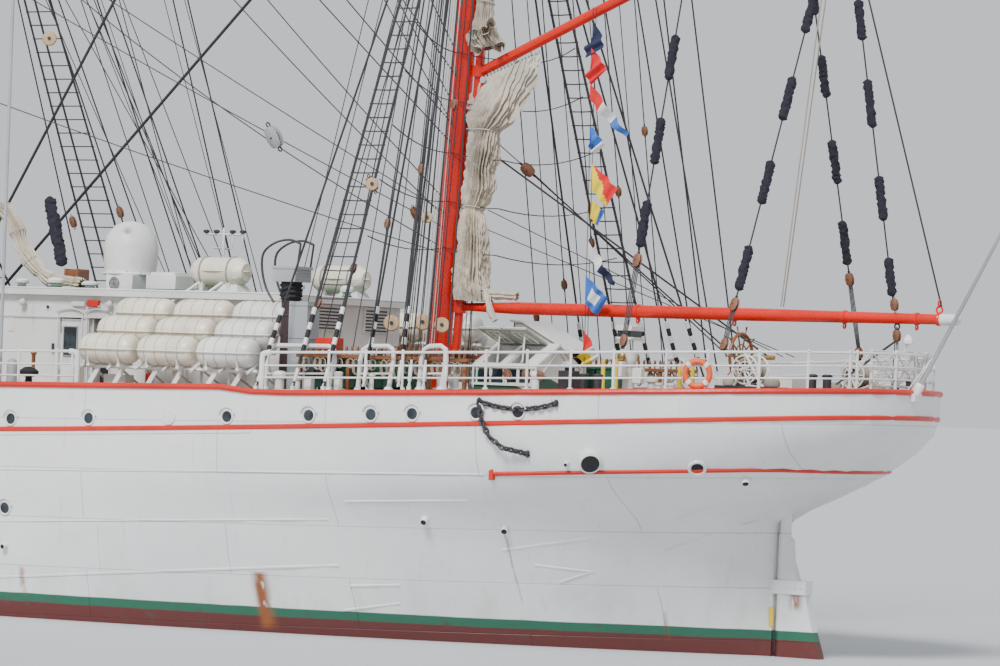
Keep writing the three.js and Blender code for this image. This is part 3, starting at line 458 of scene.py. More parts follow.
# Places of rust on the plating: station, lower and upper height, half width, strength.
RUST_RUNS = [
    (-37.78, 0.02, 1.55, 0.34, 1.0),
    (-37.70, 0.02, 1.30, 0.16, 1.0),
    (-30.79, 0.55, 1.32, 0.16, 0.70),
    (-50.50, 1.12, 1.72, 0.28, 0.95),
    (-47.60, 0.25, 1.00, 0.10, 0.45),
    (-44.40, 1.00, 3.10, 0.05, 0.35),
    (-22.40, 0.10, 1.60, 0.20, 0.60),
    (-9.30, 0.05, 1.40, 0.22, 0.70),
    (12.70, 0.10, 1.20, 0.16, 0.60),
    (41.30, 0.60, 4.90, 0.14, 0.60),
]

WHITE = worn("white_paint", (0.76, 0.76, 0.74), 0.38, grime=0.35)
HOUSE = worn("house_paint", (0.74, 0.74, 0.73), 0.42, grime=0.42, grain=0.7)
RED = worn("spar_paint", (0.70, 0.014, 0.003), 0.30, dirt=(0.22, 0.03, 0.015), grime=0.35, vary=0.14)
TRIM = worn("trim_red", (0.62, 0.018, 0.006), 0.36, dirt=(0.30, 0.03, 0.015), grime=0.3)
CANVAS = canvas_paint("sail_cloth", (0.64, 0.57, 0.47))
BEIGE = canvas_paint("sail_cover", (0.66, 0.58, 0.47))
WIRE = worn("tarred_wire", (0.028, 0.027, 0.032), 0.55, grain=0.1)
ROPE = worn("hemp_rope", (0.36, 0.31, 0.25), 0.85, grain=0.06)
PALE_ROPE = worn("pale_rope", (0.56, 0.54, 0.50), 0.8, grain=0.06)
CREAM = worn("raft_shell", (0.80, 0.74, 0.60), 0.36, dirt=(0.36, 0.30, 0.22), grime=0.45, grain=0.3)
SHELL_WHITE = worn(
    "raft_shell_white", (0.77, 0.76, 0.72), 0.34, dirt=(0.35, 0.32, 0.27), grime=0.45, grain=0.3
)
# Dark steel, also used as painted shade in the cowl mouths.
DARK = worn("dark_steel", (0.035, 0.030, 0.036), 0.5, grime=0.3, dirt=(0.12, 0.05, 0.03))
SMOKE = worn("column_paint", (0.030, 0.013, 0.015), 0.5, dirt=(0.03, 0.02, 0.02), grime=0.6, grain=0.3)
GREY = worn("grey_paint", (0.36, 0.38, 0.40), 0.42, grime=0.35)
STEEL = worn("galvanised", (0.42, 0.43, 0.44), 0.38, metal=0.6, grime=0.3)
GREEN = worn("green_paint", (0.020, 0.105, 0.065), 0.42, grime=0.4, dirt=(0.05, 0.06, 0.05))
PALE_GREEN = worn("lid_paint", (0.34, 0.39, 0.35), 0.35, grime=0.35)
# Near-black for the inner faces of the houses: painted shade of the rooms behind the open doors.
INSIDE_SHADE = worn("cabin_painted_shade", (0.035, 0.028, 0.026), 0.7, grain=0.2)
BRONZE = worn("bronze", (0.42, 0.28, 0.10), 0.32, metal=0.9, dirt=(0.10, 0.20, 0.15), grime=0.4)
WOOD = worn("varnished_wood", (0.24, 0.085, 0.030), 0.35, dirt=(0.05, 0.02, 0.01), grime=0.5, grain=0.15)
DISC_WOOD = worn("disc_wood", (0.50, 0.34, 0.19), 0.55, dirt=(0.16, 0.09, 0.05), grime=0.4, grain=0.1)
BLOCK_WOOD = worn("block_wood", (0.20, 0.085, 0.045), 0.5, dirt=(0.15, 0.07, 0.03), grime=0.5, grain=0.1)
# Black rubber, also used as painted shade in the doorways and the pipe bores.
RUBBER_AND_SHADE = worn("black_rubber_and_painted_shade", (0.012, 0.012, 0.016), 0.75, grain=0.08)
FUZZ = worn("chafing_gear", (0.016, 0.017, 0.030), 0.95, grain=0.03, depth=0.02)
ORANGE = worn("orange_shell", (0.80, 0.10, 0.015), 0.5)
YELLOW = worn("yellow_paint", (0.78, 0.56, 0.02), 0.5)
TARP = worn("hatch_cover", (0.12, 0.17, 0.15), 0.8, grain=0.3, depth=0.01)
GLASS = glass_paint()
HULL = hull_paint()
PLANKS = plank_paint("deck_planks", (0.36, 0.27, 0.18))
FLAG_RED = canvas_paint("flag_red", (0.72, 0.020, 0.025))
FLAG_BLUE = canvas_paint("flag_blue", (0.045, 0.16, 0.56))
FLAG_YELLOW = canvas_paint("flag_yellow", (0.80, 0.62, 0.03))
FLAG_WHITE = canvas_paint("flag_white", (0.80, 0.80, 0.80))
FLAG_NAVY = canvas_paint("flag_navy", (0.020, 0.026, 0.070))


# The solids: smooth shading and finishes. Their points stay as they are.
def smooth_solid(node, angle):
    mesh = NODES[node].data
    limit = math.cos(math.radians(angle))
    around = {}
    keys = [tuple(round(c, 5) for c in vertex.co) for vertex in mesh.vertices]
    for polygon in mesh.polygons:
        for vertex in polygon.vertices:
            around.setdefault(keys[vertex], []).append((polygon.normal.copy(), polygon.area))
    normals = []
    for polygon in mesh.polygons:
        for vertex in polygon.vertices:
            total = Vector()
            for normal, area in around[keys[vertex]]:
                if normal.dot(polygon.normal) > limit:
                    total += normal * area
            normals.append(total.normalized())
    mesh.polygons.foreach_set("use_smooth", [True] * len(mesh.polygons))
    mesh.normals_split_custom_set(normals)


def dress(node, materials, choose=None, angle=35):
    """Gives a solid its finishes; choose(middle, normal) picks one for each face, in ship metres."""
    mesh = NODES[node].data
    mesh.materials.clear()
    looks = materials if isinstance(materials, list) else [materials]
    for material in looks:
        mesh.materials.append(material)
    marks = [0] * len(mesh.polygons)
    if choose:
        marks = [looks.index(choose(polygon.center / S, polygon.normal)) for polygon in mesh.polygons]
    mesh.polygons.foreach_set("material_index", marks)
    smooth_solid(node, angle)


# After end, forward end and half width of the skylight and of the hatches.
SKYLIGHT = (-43.05, -41.15, 1.15)
HATCHES = ((12.2, 14.0, 2.2), (28.2, 30.6, 2.2))
WINDLASS_X = 43.5


def hull_finish(middle, normal):
    x, y, z = middle
    over = z - deck(x)
    if over > 0.05 and abs(x - WINDLASS_X) < 1 and abs(y) < 2:
        return DARK
    if SKYLIGHT[0] - 0.02 < x < SKYLIGHT[1] + 0.02 and abs(y) < 1.2 and z > deck(x) + 0.02:
        return GREEN if over < 0.26 else WHITE
    for x0, x1, half in HATCHES:
        if x0 - 0.02 < x < x1 + 0.02 and abs(y) < half + 0.02 and over > 0.02:
            return TARP if normal.z > 0.8 else WHITE
    if normal.z > 0.9 and z > 3.5:
        return PLANKS
    if WELL[0] - 0.1 < x < WELL[1] + 0.1 and z > deck(x) + 0.01 and abs(y) < half_beam(x) - 0.1:
        return WHITE
    return HULL


HULL_MESH = NODES["hull"].data
HULL_TREE = BVHTree.FromPolygons(
    [v.co / S for v in HULL_MESH.vertices], [tuple(p.vertices) for p in HULL_MESH.polygons]
)


def on_hull(x, z, side=1):
    """Point of the plating at a station and height, and the way it faces."""
    point, normal, _, _ = HULL_TREE.ray_cast(Vector((x, side * 12, z)), Vector((0, -side, 0)))
    if point is None:
        point, normal = Vector((x, 0, z)), Vector((0, side, 0))
    return point, normal


def half_beam(x):
    return abs(on_hull(x, sheer(x) - 0.12)[0].y)


STERN_TURN = -46.0


def round_stern(height, steps=26):
    """Points round the counter from port to starboard; height(x) gives the level at a station."""
    hits = []
    for i in range(1, steps):
        turn = math.pi / 2 + math.pi * i / steps
        out = Vector((math.cos(turn), math.sin(turn), 0))
        z = height(STERN_TURN)
        for _ in range(3):
            origin = Vector((STERN_TURN, 0, z)) + out * 14
            point, normal, _, _ = HULL_TREE.ray_cast(origin, -out)
            z = height(point.x)
        hits.append((point, normal))
    return hits


def hull_path(height, x0, x1, side=1, step=1.0):
    count = max(2, int(abs(x1 - x0) / step))
    stations = [x0 + (x1 - x0) * i / count for i in range(count + 1)]
    return [on_hull(x, height(x), side) for x in stations]


def hull_belt(height, x0):
    """Both sides from x0 aft, joined round the stern."""
    return (hull_path(height, x0, STERN_TURN, 1) + round_stern(height)
            + list(reversed(hull_path(height, x0, STERN_TURN, -1))))


def moulding(shape, hits, tall, deep, mark=0):
    """Half-round strip lying on the plating along the hits."""
    rings = []
    for i, (point, normal) in enumerate(hits):
        along = hits[min(i + 1, len(hits) - 1)][0] - hits[max(i - 1, 0)][0]
        up = along.cross(normal).normalized()
        section = ((-0.5, -0.4), (-0.5, 0.35), (-0.28, 1), (0.28, 1), (0.5, 0.35), (0.5, -0.4))
        rings.append([point + up * (tall * a) + normal * (deep * b) for a, b in section])
    shape.skin(rings, mark)


def cap_height(x):
    step = smooth_step(-37.4, -38.2, x)
    aft = min(1, max(0, (-38.2 - x) / 15.5))
    return sheer(x) + 0.06 - step * (0.15 - 0.09 * aft)


def stripe_height(x):
    return sheer(x) - 1.14 + 0.021 * max(0, -30 - x)


def low_stripe_height(x):
    return min(4.83, 4.44 + (-44.73 - x) * 0.0595)


LOW_STRIPE_X = -44.73


def make_stripes():
    shape = Shape()
    moulding(shape, hull_belt(stripe_height, 52.6), 0.125, 0.045)
    moulding(shape, hull_belt(low_stripe_height, LOW_STRIPE_X), 0.12, 0.045)
    for side in SIDES:
        start = on_hull(LOW_STRIPE_X, low_stripe_height(LOW_STRIPE_X), side)[0]
        shape.brick(start + Vector((-0.06, -0.06, -0.16)), start + Vector((0.06, 0.06, 0.16)))
    edge = []
    for point, _ in hull_belt(lambda x: sheer(x) - 0.12, 54.3):
        edge.append(Vector((point.x, point.y, cap_height(point.x))))
    shape.tube(edge, 0.078, 8)
    shape.make("hull_stripes", TRIM, "spar_red")


# White strips welded on the plating: station and height of each end, and width.
BEADS = (
    (-30.0, 4.87, -38.0, 5.23, 0.06),
    (-20.0, 3.60, -44.5, 4.42, 0.05),
    (-30.1, 1.05, -36.1, 1.56, 0.07),
    (-36.1, 1.56, -40.0, 1.88, 0.07),
    (-40.16, 1.35, -41.47, 1.44, 0.07),
    (-39.89, 0.70, -41.36, 0.96, 0.06),
    (-44.25, 2.48, -46.40, 2.89, 0.07),
    (-44.94, 2.13, -46.30, 2.01, 0.06),
    (-45.42, 1.71, -46.28, 2.04, 0.05),
    (-48.40, 3.47, -52.02, 4.76, 0.04),
    (-47.92, 2.63, -49.80, 3.50, 0.04),
    (-30.13, 2.55, -39.94, 3.07, 0.035),
    (-40.55, 3.56, -43.91, 3.74, 0.035),
    (-10.0, 1.9, -30.1, 1.05, 0.06),
    (24.0, 2.3, -10.0, 1.9, 0.06),
    (-36.28, 3.9, -36.28, 5.1, 0.03),
    (-37.31, 3.05, -37.31, 4.1, 0.03),
    (-46.37, 5.85, -46.37, 6.45, 0.03),
    (-43.9, 3.7, -43.9, 4.35, 0.03),
    (-33.2, 1.35, -33.2, 2.6, 0.03),
)


def make_beads():
    shape = Shape()
    for x0, z0, x1, z1, tall in BEADS:
        for side in SIDES:
            count = max(2, int(math.hypot(x1 - x0, z1 - z0) / 0.8))
            hits = []
            for i in range(count + 1):
                share = i / count
                hits.append(on_hull(x0 + (x1 - x0) * share, z0 + (z1 - z0) * share, side))
            moulding(shape, hits, tall, 0.022)
    shape.make("hull_beads", HULL, "hull_white")


PORTHOLES = (-30.39, -32.94, -37.27, -39.71, -41.50, -42.66, -44.41, -45.53)
BLIND_PORTHOLE = -35.48
PORTHOLE_PITCH = 2.52
PORTHOLE_OVER = 0.27


def make_portholes():
    frames, panes = Shape(), Shape()
    stations = list(PORTHOLES) + [BLIND_PORTHOLE]
    stations += [-27.9 + PORTHOLE_PITCH * i for i in range(30)]
    places = [(x, stripe_height(x) + PORTHOLE_OVER) for x in stations]
    places += [(-30.30, 2.91)] + [(-24.0 + 6.1 * i, 3.0 + 0.02 * i) for i in range(11)]
    for x, z in places:
        for side in SIDES:
            point, normal = on_hull(x, z, side)
            frames.ring(point + normal * 0.01, normal, 0.175, 0.032, 18)
            if x == BLIND_PORTHOLE:
                frames.lathe([(0.17, -0.02), (0.17, 0.03), (0.1, 0.05)], point, normal, 16)
                continue
            panes.lathe([(0.16, -0.02), (0.16, 0.012)], point, normal, 16)
            brow = [point + normal * 0.05 + Vector((0.25 * math.cos(a), 0, 0.02 + 0.24 * math.sin(a)))
                    for a in (0.25, 0.75, 1.25, 1.57, 1.9, 2.4, 2.9)]
            frames.tube(brow, 0.022, 5)
    frames.make("porthole_frames", WHITE, "hull_white")
    panes.make("porthole_panes", GLASS, "dark_steel")


HAWSE = (-47.28, 4.92)
FAIRLEAD = (-49.75, 4.81)
BOW_HAWSE = (48.6, 5.9)
# Pipes through the plating: station, height, radius.
PIPES = (
    (-42.54, 3.19, 0.10),
    (-44.46, 3.05, 0.10),
    (-46.71, 4.80, 0.06),
    (-50.59, 4.57, 0.11),
    (-30.3, 1.9, 0.08),
)


def make_hull_pipes():
    white, black = Shape(), Shape()
    for side in SIDES:
        point, normal = on_hull(*HAWSE, side)
        out = (normal + Vector((-0.45, 0, -0.25))).normalized()
        white.lathe([(0.27, -0.10), (0.30, 0.10), (0.30, 0.22), (0.25, 0.26)], point, out, 20)
        # Black discs in the mouths of the hawse pipe, the pipes and the fairleads are painted shade of their
        # bores.
        black.lathe([(0.235, 0.1), (0.235, 0.268)], point, out, 20)
        for x, z, radius in PIPES:
            point, normal = on_hull(x, z, side)
            white.lathe([(radius, -0.06), (radius, 0.12), (radius * 0.85, 0.15)], point, normal, 14)
            black.lathe([(radius * 0.72, 0.05), (radius * 0.72, 0.158)], point, normal, 12)
        point, normal = on_hull(*FAIRLEAD, side)
        white.ring(point + normal * 0.02, normal, 0.2, 0.05, 20)
        black.lathe([(0.17, -0.02), (0.17, 0.02)], point, normal, 16)
        point, normal = on_hull(*BOW_HAWSE, side)
        white.ring(point + normal * 0.02, normal, 0.36, 0.09, 20)
        black.lathe([(0.33, -0.02), (0.33, 0.03)], point, normal, 18)
    white.make("hull_pipe_rims", WHITE, "hull_white")
    black.make("hull_pipe_bore_shade", RUBBER_AND_SHADE, "dark_steel")


def chain(shape, path, link=0.17, wire=0.034):
    """Links laid end to end along a path, every other one turned."""
    lengths = [(path[i + 1] - path[i]).length for i in range(len(path) - 1)]
    count = int(sum(lengths) / (link * 0.72))
    for n in range(count):
        walked = (n + 0.5) / count * sum(lengths)
        i = 0
        while walked > lengths[i]:
            walked -= lengths[i]
            i += 1
        at = path[i].lerp(path[i + 1], walked / lengths[i])
        along = (path[i + 1] - path[i]).normalized()
        side = along.orthogonal().normalized()
        if n % 2:
            side = along.cross(side)
        loop = []
        for a in around(8, True):
            loop.append(at + along * (link / 2 * math.cos(a)) + side * (link * 0.32 * math.sin(a)))
        shape.tube(loop, wire, 5)


def make_hull_chains():
    shape = Shape()
    for side in SIDES:
        root = Vector((-44.50, side * 6.16, 6.26))
        aft = Vector((-46.55, side * 5.80, 6.28))
        foot = on_hull(-45.78, 4.98, side)[0] + Vector((0, side * 0.06, 0))
        chain(shape, sag_path(root, aft, 0.17, 14))
        bends = ((-0.12, side * 0.05, -0.5), (-0.35, side * 0.03, -0.88), (-0.75, 0, -1.15))
        chain(shape, [root] + [root + Vector(bend) for bend in bends] + [foot])
        for at in (root, aft, foot):
            shape.ring(at, (1, 0, 0), 0.07, 0.03, 12)
    shape.make("stern_chains", DARK, "dark_steel")


def make_rudder_fittings():
    """Straps and marks of the rudder, and the draught marks beside it."""
    bands, marks = Shape(), Shape()
    for z, half in ((1.79, 0.18), (-2.4, 0.09), (-4.6, 0.09)):
        bands.brick((-50.81, -0.20, z - half), (-49.78, 0.20, z + half))
        for side in SIDES:
            for dx in (0, 0.2, 0.4):
                bands.lathe([(0.035, 0), (0.03, 0.03)], (-50.68 + dx, side * 0.2, z), (0, side, 0), 8)
    for i in range(6):
        for side in SIDES:
            y = side * 0.19
            marks.brick((-49.7, y - 0.01, 0.3 + 0.3 * i), (-49.58, y + 0.01, 0.36 + 0.3 * i))
    for side in SIDES:
        marks.brick((-49.9, side * 0.18 - 0.02, 0.77), (-49.78, side * 0.18 + 0.02, 1.26))
    bands.make("rudder_straps", WHITE, "hull_white", "rudder", bevel=0.012)
    marks.make("draught_marks", YELLOW, "hull_white")


def make_anchors():
    shape = Shape()
    for side in SIDES:
        point, normal = on_hull(47.6, 4.7, side)
        out = point + normal * 0.22
        crown = out - UP * 0.5
        shape.tube([out + UP * 1.15, crown], 0.13, 8)
        shape.tube([crown + Vector((-0.85, 0, 0)), crown + Vector((0.85, 0, 0))], 0.17, 8)
        for reach in (-0.8, 0.8):
            base = crown + Vector((reach, 0, 0))
            fluke = [base, base + Vector((reach * 0.2, 0, 0.95)), base + Vector((reach * 0.1, 0, 1.2))]
            shape.tube(fluke, [0.17, 0.15, 0.03], 6)
        chain(shape, [out + UP * 1.1, on_hull(*BOW_HAWSE, side)[0] + normal * 0.2], 0.3, 0.06)
    shape.make("bower_anchors", DARK, "dark_steel")


def walls_and_inner_shade(middle, _):
    """The rooms behind the open doors are dark: the inner faces of the walls get a near-black colour as
    painted shade.
    """
    for x0, x1, half in (AFT_HOUSE, BRIDGE_HOUSE):
        if x0 + 0.12 < middle.x < x1 - 0.12 and abs(middle.y) < half - 0.12:
            return INSIDE_SHADE
    return HOUSE


LIDS = ("port_fore_skylight_lid", "port_aft_skylight_lid", "starboard_skylight_lid")


def dress_solids():
    dress("hull", [HULL, PLANKS, WHITE, GREEN, TARP, DARK], hull_finish, 38)
    dress("rudder", HULL)
    dress("propeller", BRONZE)
    for node in NODES:
        if node.endswith(("mast", "_yard", "_gaff")) or node.startswith("spanker_"):
            dress(node, RED, None, 32)
        elif node.endswith("_stay"):
            dress(node, WIRE, None, 70)
        elif node.endswith("_walls"):
            # Inner faces of the walls get painted shade.
            dress(node, [HOUSE, INSIDE_SHADE], walls_and_inner_shade, 30)
        elif node.endswith("_door"):
            dress(node, HOUSE, None, 30)
        elif node.endswith("_roof"):
            dress(node, [HOUSE, GREEN, CREAM], roof_finish, 35)
    dress("bowsprit", RED)
    dress("fore_house", [HOUSE, GREEN, CREAM], roof_finish, 30)
    dress("radar_dome", WHITE, None, 50)
    dress("exhaust_column", [SMOKE, GREY], column_finish)
    for node in LIDS:
        dress(node, PALE_GREEN)
    for node in ("port_lifeboats", "starboard_lifeboats"):
        dress(node, [WHITE, ORANGE, GREY], boat_finish, 50)


def roof_finish(middle, normal):
    if middle.z > 9.0:
        return CREAM
    return GREEN if normal.z > 0.9 else HOUSE


def column_finish(middle, _):
    """The box on top and the cabinet behind are grey."""
    return GREY if middle.z > 9.16 or middle.x < -38.27 else SMOKE


def boat_finish(middle, _):
    if middle.z < 8.05:
        return GREY
    return ORANGE if middle.z > 8.75 else WHITE


# Rails round the poop and along both sides. Bars: height over the deck, radius.
RAIL_END = 3.7
RAIL_INSET = 0.16
RAIL_BEND = 0.25
RAIL_BARS = ((0.96, 0.036), (0.62, 0.026), (0.31, 0.026))
RAIL_START_X = -38.15
RAIL_POSTS = (2.25, 3.32, 4.38, 5.55, 6.7, 7.81, 8.97, 10.09, 11.43, 12.48, 13.75, 14.97, 16.09, 16.3, 17.65)


def rail_line():
    line = []
    for point, normal in hull_belt(lambda x: sheer(x) - 0.12, RAIL_END):
        out = Vector((normal.x, normal.y, 0)).normalized()
        line.append(Vector((point.x, point.y, sheer(point.x))) - out * RAIL_INSET)
    return line


def walk(path, distance):
    """Point and direction at a distance along a path."""
    for a, b in zip(path, path[1:]):
        step = (b - a).length
        if distance <= step:
            return a.lerp(b, distance / step), (b - a).normalized()
        distance -= step
    return path[-1], (path[-1] - path[-2]).normalized()


def mirrored(point):
    return Vector((point.x, -point.y, point.z))


# The side rail stops beside the stacked rafts.
RAFT_GAP = (-38.15, -32.35)
# Thick pipe that bends into the top bar beside the rafts.
END_POST = 0.075


def rail_runs(line):
    """The rail's line without the stretches beside the rafts."""
    runs, run = [], []
    for a, b in zip(line, line[1:]):
        inside = RAFT_GAP[0] < a.x < RAFT_GAP[1]
        if not inside:
            run.append(a)
        for edge in sorted(RAFT_GAP, key=lambda x: abs(x - a.x)):
            if min(a.x, b.x) < edge < max(a.x, b.x):
                cut = a.lerp(b, (edge - a.x) / (b.x - a.x))
                run.append(cut)
                if len(run) > 1 and not inside:
                    runs.append(run)
                    run = []
                inside = not inside
    run.append(line[-1])
    runs.append(run)
    return runs


def beside_rafts(point, margin=0.01):
    return RAFT_GAP[0] - margin < point.x < RAFT_GAP[1] + margin


def rail_end(shape, end, before):
    """Top bar bent down to the deck at the end of a run."""
    along = (end - before).normalized()
    high = RAIL_BARS[0][0]
    bend = [
        end + UP * high - along * RAIL_BEND,
        end + UP * (high - 0.03) - along * 0.08,
        end + UP * (high - 0.12),
        end - UP * 0.03,
    ]
    shape.tube(smooth_path(bend, 3), END_POST, 8)


def cut_back(points):
    """Takes the room of the bent ends off a top bar."""
    for end, inner in ((0, 1), (-1, -2)):
        if beside_rafts(points[end]):
            length = (points[inner] - points[end]).length
            points[end] = points[end].lerp(points[inner], min(1, RAIL_BEND / length))


def make_rails():
    line = rail_line()
    top = RAIL_BARS[0][0]
    shape = Shape()
    for run in rail_runs(line):
        for height, radius in RAIL_BARS:
            points = [point + UP * height for point in run]
            if height == top:
                cut_back(points)
            shape.tube(points, radius, 6)
        for end, before in ((run[0], run[1]), (run[-1], run[-2])):
            if beside_rafts(end):
                rail_end(shape, end, before)
    start = 0.0
    for a, b in zip(line, line[1:]):
        if b.x < RAIL_START_X:
            break
        start += (b - a).length
    posts = [walk(line, start + reach)[0] for reach in RAIL_POSTS]
    posts += [walk(line, 0.1 + start / 33 * i)[0] for i in range(33)]
    for post in posts:
        if beside_rafts(post, 0.1):
            continue
        for foot in (post, mirrored(post)):
            shape.tube([foot - UP * 0.04, foot + UP * top], 0.036, 6)
            shape.lathe([(0.09, -0.03), (0.08, 0.05), (0.05, 0.07)], foot, UP, 8)
            shape.lathe([(0.03, 0), (0.052, 0.03), (0.03, 0.07)], foot + UP * top, UP, 8)
    piece = shape.make("rails", WHITE, "house_white")
    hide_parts("poop_rail")


# Bent tubes over the pin rails beside the shrouds: forward and after end.
HOOPS = ((-37.95, -40.05), (-40.86, -41.87), (-42.72, -43.46))
HOOP_Y = 6.0
HOOP_TOP = 1.10
PIN_RAIL_Y = 5.86
PIN_PITCH = 0.172
PIN_PROFILE = [(0.018, -0.24), (0.022, 0.10), (0.040, 0.17), (0.036, 0.25), (0.012, 0.28)]


def hoop(tubes, side, fore, aft):
    """Tube bent over the pins, with two stays and a low bar."""
    top = deck(aft) + HOOP_TOP
    y = side * (HOOP_Y + 0.1)
    path = [
        (fore + 0.08, y, deck(fore) - 0.02), (fore + 0.03, y, top - 0.35), (fore - 0.05, y, top - 0.08),
        (fore - 0.2, y, top), (aft + 0.2, y, top + 0.02), (aft + 0.05, y, top - 0.06),
        (aft + 0.02, y, top - 0.35), (aft + 0.16, y, deck(aft) - 0.02),
    ]
    tubes.tube(path, 0.062, 8)
    for x in (fore + 0.06, aft + 0.15):
        foot = Vector((x, side * (HOOP_Y - 0.45), deck(x)))
        tubes.tube([foot, (x - 0.02, y, top - 0.42)], 0.032, 6)
        tubes.lathe([(0.13, -0.02), (0.12, 0.04), (0.06, 0.06)], foot, UP, 10)
        tubes.lathe([(0.13, -0.02), (0.12, 0.04), (0.08, 0.09)], (x, y, deck(x)), UP, 10)
    tubes.tube([(fore, y, deck(fore) + 0.42), (aft + 0.1, y, deck(aft) + 0.42)], 0.028, 6)


def pin_rail(wood, pins, coils, side, rng):
    """Rail with a row of pins, and ropes coiled on two of every three."""
    y = side * PIN_RAIL_Y
    wood.brick((-43.95, y - 0.085, 7.22), (-38.70, y + 0.085, 7.32))
    for i in range(30):
        x = -38.85 - PIN_PITCH * i
        pins.lathe(PIN_PROFILE, (x, y, 7.27), UP, 8)
        if i % 3 == 2:
            continue
        drop = 0.24 + 0.2 * rng.random()
        for turn in range(4):
            wide = 0.07 + 0.012 * turn
            out = y + side * (0.03 + 0.012 * turn)
            loop = []
            for a in around(8, True):
                loop.append((x + wide * math.sin(a), out, 7.22 - drop / 2 - drop / 2 * math.cos(a)))
            coils.tube(loop, 0.016, 4)
        coils.tube([(x, y, 7.36), (x, y + side * 0.04, 7.2)], 0.02, 5)
    for x in (-38.8, -40.3, -41.6, -42.8, -43.85):
        wood.brick((x - 0.05, y - 0.05, deck(x)), (x + 0.05, y + 0.05, 7.22))


def make_hoops():
    tubes, wood, pins, coils = Shape(), Shape(), Shape(), Shape()
    rng = random.Random(3)
    for side in SIDES:
        for fore, aft in HOOPS:
            hoop(tubes, side, fore, aft)
        pin_rail(wood, pins, coils, side, rng)
    tubes.make("pin_rail_hoops", WHITE, "house_white")
    wood.make("pin_rails", WOOD, "spar_red", bevel=0.015)
    pins.make("belaying_pins", BLOCK_WOOD, "spar_red")
    coils.make("rope_coils", ROPE, "sail_canvas")


def mushroom(shape, x, y, height, radius):
    """Mushroom vent on the deck."""
    profile = [
        (radius * 0.62, -0.02), (radius * 0.6, height - radius * 0.9), (radius * 0.62, height - radius),
        (radius, height - radius * 0.8), (radius * 1.02, height - radius * 0.45),
        (radius * 0.7, height - radius * 0.08), (radius * 0.2, height),
    ]
    shape.lathe(profile, (x, y, deck(x)), UP, 16)


def bollards(shape, x, y, gap=0.42, radius=0.11):
    """Pair of bollards on one base plate."""
    z = deck(x)
    shape.brick((x - gap / 2 - 0.2, y - 0.17, z - 0.02), (x + gap / 2 + 0.2, y + 0.17, z + 0.06))
    profile = [
        (radius * 1.1, 0), (radius, 0.06), (radius, 0.34), (radius * 1.25, 0.37), (radius * 1.25, 0.42),
        (radius * 0.7, 0.44),
    ]
    for dx in (-gap / 2, gap / 2):
        shape.lathe(profile, (x + dx, y, z), UP, 14)


# Mushroom vents of the poop: station, distance from the middle line, height, radius.
POOP_VENTS = (
    (-38.37, 6.15, 0.50, 0.20),
    (-38.98, 6.2, 0.36, 0.12),
    (-41.23, 6.15, 0.44, 0.10),
    (-44.2, 3.0, 0.55, 0.17),
)


def locker(green, dark, x, y):
    """Chest with lid and battens on a dark base."""
    floor = deck(x)
    green.brick((x - 0.70, y - 0.3, floor + 0.08), (x, y + 0.3, floor + 0.80))
    green.brick((x - 0.73, y - 0.33, floor + 0.80), (x + 0.03, y + 0.33, floor + 0.86))
    for dx in (0.0, 0.233, 0.467, 0.70):
        green.brick((x - dx - 0.02, y - 0.33, floor + 0.1), (x - dx + 0.02, y + 0.33, floor + 0.8))
    dark.brick((x - 0.62, y - 0.25, floor - 0.02), (x - 0.08, y + 0.25, floor + 0.1))


def make_poop_gear():
    white, green, dark, yellow, lids, red = Shape(), Shape(), Shape(), Shape(), Shape(), Shape()
    for side in SIDES:
        for x, y, height, radius in POOP_VENTS:
            mushroom(white, x, side * y, height, radius)
        white.lathe([(0.12, -0.02), (0.12, 0.46), (0.06, 0.48)], (-40.2, side * 6.15, deck(-40.2)), UP, 12)
        y, floor = side * 6.2, deck(-39.3)
        white.brick((-39.44, y - 0.09, floor - 0.02), (-39.22, y + 0.09, floor + 0.30))
        bollards(white, -43.15, side * 5.55)
        bollards(dark, -46.9, side * 4.75)
        bollards(dark, -52.1, side * 2.3)
        for i in range(4):
            locker(green, dark, -38.95 - 0.82 * i, side * 5.12)
        for x in (-45.63, -46.02):
            yellow.tube([(x, side * 2.0, deck(x) - 0.02), (x, side * 2.0, deck(x) + 0.88)], 0.055, 8)
        y, floor = side * 4.62, deck(-46.2)
        dark.brick((-46.38, y - 0.2, floor - 0.02), (-45.98, y + 0.2, floor + 0.52))
        dark.tube([(-46.2, y, floor + 0.5), (-46.2, y, floor + 0.62)], 0.13, 10)
        lids.lathe([(0.23, 0), (0.24, 0.05), (0.2, 0.13), (0.08, 0.17)], (-46.18, y, floor + 0.6), UP, 16)
        y = side * 5.72
        red.brick((-39.92, y - 0.18, 7.42), (-39.27, y + 0.18, 7.74))
        red.tube([(-39.6, y, deck(-39.6) - 0.02), (-39.6, y, 7.45)], 0.04, 6)
        y, floor = side * 5.3, deck(-42.1)
        red.brick((-42.16, y - 0.1, floor - 0.02), (-41.98, y + 0.1, floor + 0.42))
    white.make("poop_vents_and_posts", WHITE, "house_white", bevel=0.01)
    green.make("poop_lockers", GREEN, "dark_steel", bevel=0.012)
    dark.make("poop_bollards", DARK, "dark_steel", bevel=0.012)
    yellow.make("yellow_posts", YELLOW, "raft_cream")
    lids.make("console_hoods", GREY, "house_white")
    red.make("red_lockers", TRIM, "spar_red", bevel=0.02)


